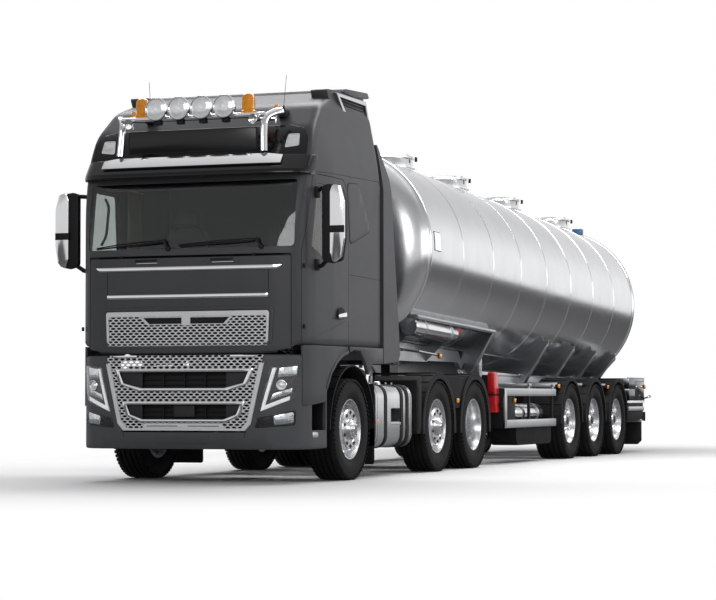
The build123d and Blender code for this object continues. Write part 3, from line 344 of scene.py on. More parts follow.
# White diffusing plastic of the running lights.
WHITE_DIFFUSER = Finish(
    "white_light_diffuser", "lamp_plastic", "#F3F4F4", "#E6E8E9", 0.35, grain_mm=4, depth_mm=0.02,
    patchy=0.2, glow=0.25,
)
# Vacuum-metallised lamp housing, bright but smoked.
LAMP_MIRROR = Finish(
    "metallised_lamp_mirror", "lamp_plastic", "#E4E6E9", "#9FA1A6", 0.14, metallic=1, spread=0.06,
    grain_mm=14, depth_mm=1.5, patch_mm=50, patchy=0.7,
)
# Amber acrylic of beacons and markers, deep orange where it is thick.
AMBER = Finish(
    "amber_acrylic", "lamp_plastic", "#F09A14", "#C97808", 0.16, spread=0.04, grain_mm=6, depth_mm=0.3,
    patch_mm=40, patchy=0.6, coat=0.5,
)
# Red moulded plastic of the extinguisher box.
RED_PLASTIC = Finish(
    "red_moulded_plastic", "lamp_plastic", "#C4161C", "#9A0F14", 0.34, spread=0.06, grain_mm=3,
    depth_mm=0.08, patchy=0.5, coat=0.3,
)
# Blue enamel on the valve's cover.
BLUE_ENAMEL = Finish(
    "blue_enamel_paint", "lamp_plastic", "#17507C", "#123F63", 0.35, spread=0.05, grain_mm=3,
    depth_mm=0.05, patchy=0.5, coat=0.3,
)
# White vinyl of the blank placard, with a painted glow that keeps it bright white where the light only grazes
# it.
WHITE_VINYL_WITH_PAINTED_GLOW = Finish(
    "white_vinyl_with_painted_glow", "lamp_plastic", "#F0F1F1", "#E4E5E5", 0.5, spread=0.05, grain_mm=2,
    depth_mm=0.02, patchy=0.3, glow=0.2,
)

NODE_FINISHES = {
    "chassis_frame": FRAME_PAINT,
    "engine_block": ENGINE_IRON,
    "tractor_axles": AXLE_IRON,
    "fifth_wheel": GREASED_IRON,
    "knuckle_left": AXLE_IRON,
    "knuckle_right": AXLE_IRON,
    "cab_interior": CAB_TRIM,
    "cab_shell": CAB_PAINT,
    "door_left": CAB_PAINT,
    "door_right": CAB_PAINT,
    "front_flap": CAB_PAINT,
    "side_fairings": CAB_PAINT,
    "front_bumper": BUMPER_PAINT,
    "windscreen": WINDOW_GLASS,
    "door_glass_left": WINDOW_GLASS,
    "door_glass_right": WINDOW_GLASS,
    "lower_grille": SATIN_SILVER,
    "upper_grille": SATIN_SILVER,
    "headlamps": LAMP_MIRROR,
    "fuel_tanks": BUFFED_ALUMINIUM,
    "tractor_mudguards": MOULDED_BLACK,
    "roof_bar": CHROME,
    "mirror_left": MOULDED_BLACK,
    "mirror_right": MOULDED_BLACK,
    "tank_barrel": TANK_STEEL,
    "turret_necks": TANK_STEEL,
    "trailer_frame": FRAME_STEEL,
    "trailer_axles": AXLE_IRON,
    "side_guards": BRIGHT_ALUMINIUM,
    "trailer_mudguards": MOULDED_BLACK,
    "rear_cabinet": CABINET_STEEL,
    "rear_ladder": BRIGHT_ALUMINIUM,
}


def dress_nodes() -> None:
    """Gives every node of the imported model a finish; those that a piece replaces are hidden later."""
    kinds = {"tyre": TYRE_RUBBER, "rim": WHEEL_ALLOY, "manhole": TANK_STEEL}
    for name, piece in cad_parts.items():
        finish = NODE_FINISHES.get(name) or kinds[name.split("_")[0]]
        piece.data.materials.clear()
        piece.data.materials.append(finish.material())


# ---------------------------------------------------------------- shapes
def closed(outline: Outline) -> list[tuple[float, float]]:
    """Returns the outline turned so that it runs anticlockwise."""
    points = [tuple(p) for p in outline]
    area = sum(a[0] * b[1] - b[0] * a[1] for a, b in zip(points, points[1:] + points[:1]))
    return points if area > 0 else points[::-1]


def rounded(outline: Outline, radius: float, steps: int = 5) -> list[tuple[float, float]]:
    """Rounds the corners of a closed outline.

    Args:
        outline: Its corners in order.
        radius: The most that a corner is rounded by.
        steps: Runs in each rounded corner.

    Returns:
        The rounded outline, anticlockwise.
    """
    corners = [Vector(p) for p in closed(outline)]
    result = []
    for before, here, after in zip(corners[-1:] + corners[:-1], corners, corners[1:] + corners[:1]):
        back, ahead = before - here, after - here
        angle = back.angle(ahead)
        if angle > 3.1 or angle < 0.02:
            result.append(tuple(here))
            continue
        reach = min(radius / math.tan(angle / 2), 0.45 * back.length, 0.45 * ahead.length)
        start, end = here + back.normalized() * reach, here + ahead.normalized() * reach
        for i in range(steps + 1):
            t = i / steps
            result.append(tuple((1 - t) ** 2 * start + 2 * t * (1 - t) * here + t * t * end))
    return result


def smooth_path(points: Sequence[Point], bend: float, steps: int = 6) -> list[Vector]:
    """Rounds the corners of an open path in space.

    Args:
        points: The path's corners.
        bend: How far from a corner its bend begins.
        steps: Runs in each bend.

    Returns:
        The path's points.
    """
    corners = [Vector(p) for p in points]
    result = [corners[0]]
    for before, here, after in zip(corners, corners[1:], corners[2:]):
        back, ahead = before - here, after - here
        reach = min(bend, 0.48 * back.length, 0.48 * ahead.length)
        start, end = here + back.normalized() * reach, here + ahead.normalized() * reach
        for i in range(steps + 1):
            t = i / steps
            result.append((1 - t) ** 2 * start + 2 * t * (1 - t) * here + t * t * end)
    result.append(corners[-1])
    return result


BOX_FACES = [(0, 1, 3, 2), (4, 6, 7, 5), (0, 4, 5, 1), (2, 3, 7, 6), (0, 2, 6, 4), (1, 5, 7, 3)]


def strip(low: int, high: int, count: int) -> list[list[int]]:
    """Returns the faces between two rings of points, from the number of each ring's first point.

    Args:
        low: The first ring's first point.
        high: The second ring's first point.
        count: How many points a ring has.

    Returns:
        One face for each pair of neighbours.
    """
    return [[low + i, low + (i + 1) % count, high + (i + 1) % count, high + i] for i in range(count)]


def lofted(total: int, count: int) -> list[list[int]]:
    """Returns the faces of a closed shape whose points are equal rings, one after another.

    Args:
        total: How many points the shape has.
        count: How many points a ring has.

    Returns:
        Both ends and the strips between the rings.
    """
    faces = [list(range(count)), list(range(total - count, total))]
    for low in range(0, total - count, count):
        faces += strip(low, low + count, count)
    return faces


class Facing(Enum):
    """The plane that an outline is drawn on, and which way it is given thickness."""

    FRONT = "xz"
    SIDE = "yz"
    PLAN = "xy"

    def lift(self, u: float, v: float, depth: float) -> Vector:
        """Places a drawn point in space; a front or side outline's y is a station already turned to y."""
        if self is Facing.FRONT:
            return Vector((u, depth, v))
        if self is Facing.SIDE:
            return Vector((depth, u, v))
        return Vector((u, v, depth))


class Piece:
    """One visible piece: a mesh gathered from many shapes, each with a finish."""

    def __init__(self, name: str, body: str, slot: str) -> None:
        """Starts an empty piece.

        Args:
            name: The object's name.
            body: The body of the model that it rides on.
            slot: The record's material slot; it is not used.
        """
        self.name = name
        self.body = body
        self.slot = slot
        self.mesh = bmesh.new()
        self.finishes: list[Finish] = []

    def _index(self, finish: Finish) -> int:
        """Returns the finish's place in the piece's list, and adds it when new."""
        if finish not in self.finishes:
            self.finishes.append(finish)
        return self.finishes.index(finish)

    def shape(
        self,
        points: Sequence[Sequence[float]],
        faces: Sequence[Sequence[int]],
        finish: Finish,
        bevel: float = 0.0,
        move: Matrix | None = None,
    ) -> None:
        """Adds a closed shape and turns its faces outwards.

        Args:
            points: Its corners.
            faces: Corner numbers of each face.
            finish: Its finish.
            bevel: How far its sharp edges are rounded.
            move: A matrix that places it.
        """
        part = bmesh.new()
        corners = [part.verts.new(p) for p in points]
        for face in faces:
            if len(set(face)) > 2:
                part.faces.new([corners[i] for i in face])
        bmesh.ops.remove_doubles(part, verts=part.verts, dist=1e-6)
        bmesh.ops.recalc_face_normals(part, faces=part.faces)
        if bevel:
            sharp = [e for e in part.edges if len(e.link_faces) == 2 and e.calc_face_angle(0) > 0.6]
            bmesh.ops.bevel(
                part, geom=sharp, offset=bevel, segments=2, profile=0.6, affect="EDGES", clamp_overlap=True,
            )
        index = self._index(finish)
        for face in part.faces:
            face.material_index = index
            face.smooth = True
        if move is not None:
            bmesh.ops.transform(part, matrix=move, verts=part.verts)
            if move.determinant() < 0:
                bmesh.ops.reverse_faces(part, faces=part.faces)
        self._merge(part)

    def _merge(self, part: bmesh.types.BMesh) -> None:
        """Copies a shape into the piece's own mesh."""
        temporary = bpy.data.meshes.new("temporary")
        part.to_mesh(temporary)
        part.free()
        self.mesh.from_mesh(temporary)
        bpy.data.meshes.remove(temporary)

    def block(self, low: Point, high: Point, finish: Finish, bevel: float = 0.003) -> None:
        """Adds a box with rounded edges, between two corners."""
        low, high = [min(a, b) for a, b in zip(low, high)], [max(a, b) for a, b in zip(low, high)]
        points = [
            (x, y, z)
            for x in (low[0], high[0])
            for y in (low[1], high[1])
            for z in (low[2], high[2])
        ]
        self.shape(points, BOX_FACES, finish, bevel)

    def plate(
        self,
        outline: Outline,
        facing: Facing,
        depth: tuple[float, float],
        finish: Finish,
        bevel: float = 0.003,
        hole: Outline | None = None,
        move: Matrix | None = None,
    ) -> None:
        """Adds a plate with a drawn outline and maybe a hole.

        Args:
            outline: Its outer corners on the facing's plane.
            facing: The plane it is drawn on.
            depth: Where it starts and ends along that plane's normal.
            finish: Its finish.
            bevel: How far its edges are rounded.
            hole: Corners of a hole, as many as the outline has.
            move: A matrix that places it.
        """
        outer = closed(outline)
        count = len(outer)
        points = [facing.lift(u, v, d) for d in depth for u, v in outer]
        if hole is None:
            faces = lofted(len(points), count)
        else:
            inner = closed(hole)
            points += [facing.lift(u, v, d) for d in depth for u, v in inner]
            rings = ((0, 2 * count), (count, 3 * count), (2 * count, 3 * count), (0, count))
            faces = [face for low, high in rings for face in strip(low, high, count)]
        self.shape(points, faces, finish, bevel, move)

    def lathe(
        self,
        profile: Outline,
        finish: Finish,
        centre: Point = (0, 0, 0),
        axis: Point = (1, 0, 0),
        sides: int = 48,
        looped: bool = False,
    ) -> None:
        """Adds a shape turned about an axis.

        Args:
            profile: Distances along the axis and radii.
            finish: Its finish.
            centre: A point on the axis, from which the distances count.
            axis: The axis's direction.
            sides: Faces round it.
            looped: Whether the profile closes on itself; if not, its ends are capped.
        """
        direction = Vector(axis).normalized()
        turn = direction.to_track_quat("X", "Z").to_matrix().to_4x4()
        move = Matrix.Translation(centre) @ turn
        points: list[Vector] = []
        rings: list[list[int]] = []
        for along, radius in profile:
            if radius < 1e-6:
                rings.append([len(points)])
                points.append(Vector((along, 0, 0)))
                continue
            rings.append(list(range(len(points), len(points) + sides)))
            for i in range(sides):
                angle = 2 * math.pi * i / sides
                points.append(Vector((along, radius * math.sin(angle), radius * math.cos(angle))))
        pairs = list(zip(rings, rings[1:])) + ([(rings[-1], rings[0])] if looped else [])
        faces: list[list[int]] = []
        for one, two in pairs:
            for i in range(sides):
                j = (i + 1) % sides
                faces.append([one[i % len(one)], one[j % len(one)], two[j % len(two)], two[i % len(two)]])
        if not looped:
            faces += [ring for ring in (rings[0], rings[-1]) if len(ring) > 1]
        tidy = [list(dict.fromkeys(face)) for face in faces]
        self.shape(points, tidy, finish, 0.0, move)

    def tube(
        self, path: Sequence[Vector | Point], radius: float, finish: Finish, sides: int = 12,
        flat: float = 1.0,
    ) -> None:
        """Adds a bar that follows a path.

        Args:
            path: The path's points.
            radius: The bar's radius.
            finish: Its finish.
            sides: Faces round it.
            flat: How much of the radius is left the other way, for an oval bar.
        """
        line = [Vector(p) for p in path]
        forward = [(b - a).normalized() for a, b in zip(line, line[1:])]
        ways = [forward[0]] + [(a + b).normalized() for a, b in zip(forward, forward[1:])] + [forward[-1]]
        side = ways[0].orthogonal().normalized() if abs(ways[0].z) > 0.95 else ways[0].cross(
            Vector((0, 0, 1))
        ).normalized()
        points: list[Vector] = []
        for here, way in zip(line, ways):
            side = (side - way * side.dot(way)).normalized()
            up = side.cross(way)
            for i in range(sides):
                angle = 2 * math.pi * i / sides
                points.append(
                    here + side * (radius * math.cos(angle)) + up * (radius * flat * math.sin(angle))
                )
        self.shape(points, lofted(len(points), sides), finish)

    def mirrored(self) -> None:
        """Adds the mirror image of everything so far, on the lorry's other side."""
        copy = self.mesh.copy()
        bmesh.ops.transform(copy, matrix=Matrix.Diagonal((-1, 1, 1, 1)), verts=copy.verts)
        bmesh.ops.reverse_faces(copy, faces=copy.faces)
        self._merge(copy)

    def join(self, other: "Piece") -> None:
        """Moves another piece's mesh into this one, with its finishes."""
        order = [self._index(finish) for finish in other.finishes]
        for face in other.mesh.faces:
            face.material_index = order[face.material_index]
        self._merge(other.mesh)

    def take(self, other: bpy.types.Object, finish: Finish) -> None:
        """Moves another object's mesh into the piece and removes that object."""
        part = bmesh.new()
        part.from_mesh(other.data)
        index = self._index(finish)
        for face in part.faces:
            face.material_index = index
            face.smooth = True
        self._merge(part)
        bpy.data.objects.remove(other)

    def build(self, *replaced: str, crease: float = 32.0, move: Matrix | None = None) -> bpy.types.Object:
        """Writes the piece's mesh and hangs it on its body.

        Args:
            replaced: The model's nodes that it stands for.
            crease: The angle in degrees past which an edge is sharp.
            move: A matrix that places the finished mesh.

        Returns:
            The piece's object.
        """
        data = bpy.data.meshes.new(self.name)
        if move is not None:
            bmesh.ops.transform(self.mesh, matrix=move, verts=self.mesh.verts)
            if move.determinant() < 0:
                bmesh.ops.reverse_faces(self.mesh, faces=self.mesh.faces)
        self.mesh.to_mesh(data)
        self.mesh.free()
        data.set_sharp_from_angle(angle=math.radians(crease))
        for finish in self.finishes:
            data.materials.append(finish.material())
        piece = linked(self.name, data)
        place(piece, self.body, self.slot, *replaced)
        return piece


def place(piece: bpy.types.Object, body: str, slot: str, *replaced: str) -> None:
    """Hangs a finished object on its body, in place of the named nodes."""
    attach(piece, body)
    if replaced:
        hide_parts(*replaced)
    log.info("%s rides on %s, %d faces", piece.name, body, len(piece.data.polygons))


def linked(name: str, data: bpy.types.ID) -> bpy.types.Object:
    """Makes an object of a mesh, a lamp or a camera, and puts it in the scene."""
    result = bpy.data.objects.new(name, data)
    bpy.context.scene.collection.objects.link(result)
    return result


def loose(name: str, points: Sequence[Sequence[float]], faces: Sequence[Sequence[int]]) -> bpy.types.Object:
    """Makes a plain object from points and faces, for cutting or for more work."""
    data = bpy.data.meshes.new(name)
    data.from_pydata([tuple(p) for p in points], [], [tuple(f) for f in faces])
    data.update()
    return linked(name, data)


def poured(name: str, shape: bmesh.types.BMesh) -> bpy.types.Object:
    """Turns a shape that is still being worked on into a plain object."""
    data = bpy.data.meshes.new(name)
    shape.to_mesh(data)
    shape.free()
    return linked(name, data)


def drawn(piece: Piece) -> bpy.types.Object:
    """Turns what a piece has so far into a plain object, for cutting."""
    return poured(piece.name, piece.mesh)


def doubled(source: bpy.types.Object) -> bpy.types.Object:
    """Returns a copy of an object with its own mesh."""
    copy = source.copy()
    copy.data = source.data.copy()
    bpy.context.scene.collection.objects.link(copy)
    return copy


def baked(piece: bpy.types.Object) -> bpy.types.Object:
    """Applies an object's modifiers, so that it is a plain mesh."""
    view = bpy.context.evaluated_depsgraph_get()
    view.update()
    result = bpy.data.meshes.new_from_object(piece.evaluated_get(view))
    piece.modifiers.clear()
    piece.data = result
    return piece


def cut(piece: bpy.types.Object, cutter: bpy.types.Object, operation: str = "DIFFERENCE") -> None:
    """Cuts an object with another, which is removed."""
    step = piece.modifiers.new("cut", "BOOLEAN")
    step.operation = operation
    step.solver = "EXACT"
    step.object = cutter
    baked(piece)
    bpy.data.objects.remove(cutter)


def prism(outline: Outline, facing: Facing, depth: tuple[float, float]) -> bpy.types.Object:
    """Makes a plain prism to cut with, drawn on a plane and given thickness."""
    outer = closed(outline)
    points = [facing.lift(u, v, d) for d in depth for u, v in outer]
    result = loose("cutter", points, lofted(len(points), len(outer)))
    turned = bmesh.new()
    turned.from_mesh(result.data)
    bmesh.ops.recalc_face_normals(turned, faces=turned.faces)
    turned.to_mesh(result.data)
    turned.free()
    return result


# ---------------------------------------------------------------- repeated things
class Ring:
    """A Geometry Nodes tree that sets copies of one small shape round the x axis."""

    def __init__(self, name: str) -> None:
        """Builds the tree: a circle of points, a copy of the shape on each, made real and given a finish.

        Args:
            name: The tree's name.
        """
        self.tree = bpy.data.node_groups.new(name, "GeometryNodeTree")
        face = self.tree.interface
        face.new_socket("Shape", in_out="INPUT", socket_type="NodeSocketObject")
        face.new_socket("Copies", in_out="INPUT", socket_type="NodeSocketInt")
        face.new_socket("Radius", in_out="INPUT", socket_type="NodeSocketFloat")
        face.new_socket("Material", in_out="INPUT", socket_type="NodeSocketMaterial")
        face.new_socket("Geometry", in_out="OUTPUT", socket_type="NodeSocketGeometry")
        given = add_node(self.tree, "NodeGroupInput")
        shape = add_node(self.tree, "GeometryNodeObjectInfo", {"Object": given.outputs["Shape"]})
        circle = add_node(
            self.tree, "GeometryNodeMeshCircle",
            {"Vertices": given.outputs["Copies"], "Radius": given.outputs["Radius"]}
        )
        stood = add_node(
            self.tree, "GeometryNodeTransform",
            {"Geometry": circle.outputs[0], "Rotation": (0, math.pi / 2, 0)}
        )
        spot = add_node(self.tree, "GeometryNodeInputPosition")
        turned = add_node(
            self.tree, "FunctionNodeAlignRotationToVector", {"Vector": spot.outputs[0]}, axis="Z",
        )
        turned.pivot_axis = "X"
        copies = add_node(
            self.tree,
            "GeometryNodeInstanceOnPoints",
            {
                "Points": stood.outputs[0], "Instance": shape.outputs["Geometry"],
                "Rotation": turned.outputs[0],
            },
        )
        real = add_node(self.tree, "GeometryNodeRealizeInstances", {"Geometry": copies.outputs[0]})
        finished = add_node(
            self.tree,
            "GeometryNodeSetMaterial",
            {"Geometry": real.outputs[0], "Material": given.outputs["Material"]},
        )
        add_node(self.tree, "NodeGroupOutput", {"Geometry": finished.outputs[0]})

    def make(self, shape: bpy.types.Object, copies: int, radius: float, finish: Finish) -> bpy.types.Object:
        """Sets copies of a shape round the x axis.

        Args:
            shape: The shape, whose z points away from the axis; it is removed.
            copies: How many.
            radius: Their distance from the axis.
            finish: Their finish.

        Returns:
            A plain mesh of all the copies.
        """
        carrier = loose("ring", [(0, 0, 0)], [])
        step = carrier.modifiers.new("ring", "NODES")
        step.node_group = self.tree
        values = {"Shape": shape, "Copies": copies, "Radius": radius, "Material": finish.material()}
        for item in self.tree.interface.items_tree:
            if item.name in values:
                step[item.identifier] = values[item.name]
        baked(carrier)
        bpy.data.objects.remove(shape)
        return carrier


# ---------------------------------------------------------------- floor, light and camera
@dataclass
class Studio:
    """The plain pale floor, the soft light and the camera.

    Args:
        camera_place: Where the camera stands.
        yaw: How far it looks round from +Y, towards +X.
        pitch: How far it looks up.
        roll: How far it leans.
        focal_pixels: Its focal length in pixels of the picture.
        picture_width: The picture's width in pixels.
        sensor_mm: The sensor's width.
        floor_reach: Half the floor's width.
        floor_white: How far out the floor starts to turn white, and where it is white.
        floor_dimmed: The share of the floor's light that polished metal doesn't see.
        sky_light: The sky's even light, which nothing sees as a mirror image.
        sky_stops: Heights and levels of the bands that polished metal sees in the sky.
    """

    camera_place: Point = (9.141, -27.121, 0.8208)
    yaw: float = -0.3528
    pitch: float = 0.04288
    roll: float = 0.001
    focal_pixels: float = 2280.8
    picture_width: int = 716
    sensor_mm: float = 36.0
    floor_reach: float = 90.0
    floor_white: tuple[float, float] = (3.2, 6.6)
    floor_dimmed: float = 0.78
    sky_light: tuple[float, float, float, float] = (0.16, 0.163, 0.166, 1)
    sky_stops: tuple[tuple[float, float], ...] = (
        (0.0, 1.0), (0.14, 1.0), (0.34, 0.6), (0.62, 0.45), (0.82, 0.8), (1.0, 0.95),
    )

    def build(self) -> None:
        """Makes the camera, the world, the lamps and the floor."""
        self._camera()
        self._world()
        self._floor()
        self._lamp("overhead_softbox", (1.0, 0.0, 10.0), (0.0, 0.0, 0.0), (4.0, 18.0), 1750)
        self._lamp("front_softbox", (3.0, -22.0, 7.0), (0.0, -7.0, 1.5), (9.0, 5.0), 700)
        self._lamp("side_softbox", (16.0, -6.0, 5.0), (0.0, 0.0, 1.6), (18.0, 4.0), 470)

    def _camera(self) -> None:
        """Places the camera by its yaw, pitch and roll."""
        data = bpy.data.cameras.new("camera")
        data.sensor_width = self.sensor_mm
        data.lens = self.focal_pixels * self.sensor_mm / self.picture_width
        data.clip_end = 400
        camera = linked("camera", data)
        camera.rotation_mode = "QUATERNION"
        level = math.cos(self.pitch)
        way = Vector((math.sin(self.yaw) * level, math.cos(self.yaw) * level, math.sin(self.pitch)))
        turn = way.to_track_quat("-Z", "Y") @ Matrix.Rotation(-self.roll, 3, "Z").to_quaternion()
        camera.location = self.camera_place
        camera.rotation_quaternion = turn
        bpy.context.scene.camera = camera

    @staticmethod
    def _rays(tree: bpy.types.NodeTree) -> tuple[bpy.types.Node, bpy.types.Node]:
        """Adds a light path node, and one that is 1 for the rays of the camera, also through glass."""
        rays = add_node(tree, "ShaderNodeLightPath")
        clear = add_node(
            tree,
            "ShaderNodeMath",
            {0: rays.outputs["Is Camera Ray"], 1: rays.outputs["Is Transmission Ray"]},
            operation="MAXIMUM",
        )
        return rays, clear

    def _world(self) -> None:
        """Makes an even sky that the camera sees as white and that polished metal sees in soft bands."""
        world = bpy.data.worlds.new("studio_sky")
        bpy.context.scene.world = world
        world.use_nodes = True
        tree = world.node_tree
        tree.nodes.clear()
        way = add_node(tree, "ShaderNodeTexCoord").outputs["Generated"]
        parts = add_node(tree, "ShaderNodeSeparateXYZ", {0: way})
        bands = add_node(tree, "ShaderNodeValToRGB", {0: parts.outputs["Z"]})
        ramp = bands.color_ramp
        ramp.interpolation = "EASE"
        for place_on, level in self.sky_stops[1:-1]:
            ramp.elements.new(place_on).color = (level, level, level, 1)
        for end in (0, -1):
            ramp.elements[end].color = (self.sky_stops[end][1],) * 3 + (1,)
        # the studio is dimmer behind the camera than past the object
        dim = add_node(
            tree,
            "ShaderNodeMapRange",
            {"Value": parts.outputs["Y"], "From Min": -0.7, "From Max": 0.5, "To Min": 0.75, "To Max": 1.0},
            interpolation_type="SMOOTHSTEP",
        )
        mirrored = add_node(
            tree, "ShaderNodeMix", {0: 1.0, 6: bands.outputs[0], 7: dim.outputs[0]}, data_type="RGBA",
            blend_type="MULTIPLY"
        )
        rays, clear = self._rays(tree)
        even = add_node(
            tree,
            "ShaderNodeMix",
            {0: rays.outputs["Is Glossy Ray"], 6: self.sky_light, 7: mirrored.outputs[2]},
            data_type="RGBA",
        )
        seen = add_node(
            tree, "ShaderNodeMix", {0: clear.outputs[0], 6: even.outputs[2], 7: (1, 1, 1, 1)},
            data_type="RGBA"
        )
        sky = add_node(tree, "ShaderNodeBackground", {"Color": seen.outputs[2], "Strength": 1.0})
        add_node(tree, "ShaderNodeOutputWorld", {0: sky.outputs[0]})

    def _lamp(
        self, name: str, place_at: Point, target: Point, size: tuple[float, float], power: float,
    ) -> None:
        """Hangs a rectangular softbox.

        Args:
            name: The lamp's name.
            place_at: Where it hangs.
            target: The point it faces.
            size: Its width and height.
            power: Its power in watts.
        """
        data = bpy.data.lights.new(name, "AREA")
        data.shape = "RECTANGLE"
        data.size, data.size_y = size
        data.energy = power
        lamp = linked(name, data)
        lamp.location = place_at
        lamp.rotation_mode = "QUATERNION"
        lamp.rotation_quaternion = (Vector(target) - Vector(place_at)).to_track_quat("-Z", "Y")

    def _floor(self) -> None:
        """Lays the floor, pale grey round the lorry and white further out."""
        reach = self.floor_reach
        floor = loose(
            "floor",
            [(-reach, -reach, 0), (reach, -reach, 0), (reach, reach, 0), (-reach, reach, 0)],
            [(0, 1, 2, 3)],
        )
        material = bpy.data.materials.new("pale_studio_floor")
        material.use_nodes = True
        tree = material.node_tree
        shader = tree.nodes["Principled BSDF"]
        shader.inputs["Roughness"].default_value = 0.7
        place_on = add_node(tree, "ShaderNodeTexCoord").outputs["Object"]
        speckle = add_node(tree, "ShaderNodeTexNoise", {"Vector": place_on, "Scale": 0.15, "Detail": 2.0})
        tint = add_node(
            tree, "ShaderNodeMix", {0: speckle.outputs[0], 6: linear("#EFEFF0"), 7: linear("#F3F3F3")},
            data_type="RGBA"
        )
        tree.links.new(tint.outputs[2], shader.inputs["Base Color"])
        # the white comes sooner beside the lorry than past its ends
        oval = add_node(
            tree, "ShaderNodeVectorMath", {0: place_on, 1: (1.0, 0.5, 1.0)}, operation="MULTIPLY",
        )
        distance = add_node(tree, "ShaderNodeVectorMath", {0: oval.outputs[0]}, operation="LENGTH")
        far = add_node(
            tree,
            "ShaderNodeMapRange",
            {
                "Value": distance.outputs["Value"], "From Min": self.floor_white[0],
                "From Max": self.floor_white[1], "To Min": 0.0, "To Max": 1.0,
            },
            interpolation_type="SMOOTHSTEP",
        )
        rays, clear = self._rays(tree)
        share = add_node(
            tree, "ShaderNodeMath", {0: clear.outputs[0], 1: far.outputs[0]}, operation="MULTIPLY",
        )
        white = add_node(tree, "ShaderNodeEmission", {"Color": (1, 1, 1, 1), "Strength": 1.0})
        both = add_node(
            tree, "ShaderNodeMixShader", {0: share.outputs[0], 1: shader.outputs[0], 2: white.outputs[0]},
        )
        # polished metal sees the floor dimmer, as with black flags laid beside the object
        flags = add_node(
            tree, "ShaderNodeMath", {0: rays.outputs["Is Glossy Ray"], 1: self.floor_dimmed},
            operation="MULTIPLY",
        )
        black = add_node(tree, "ShaderNodeEmission", {"Color": (1, 1, 1, 1), "Strength": 0.06})
        seen = add_node(
            tree, "ShaderNodeMixShader", {0: flags.outputs[0], 1: both.outputs[0], 2: black.outputs[0]},
        )
        tree.links.new(seen.outputs[0], tree.nodes["Material Output"].inputs[0])
        floor.data.materials.append(material)


# ---------------------------------------------------------------- wheels
@dataclass(frozen=True)
class RimSize:
    """Where a rim's details are: the radius of its hand holes, its nut seats' x and its hub face's x."""

    hole_circle: float
    seat: float
    hub_face: float


class RimForm(Enum):
    """The three forms of wheel on the lorry, each with its sizes."""

    OUTSET = RimSize(0.231, 0.131, 0.182)
    DISHED = RimSize(0.228, 0.062, 0.136)
    TWIN = RimSize(0.230, -0.150, 0.015)


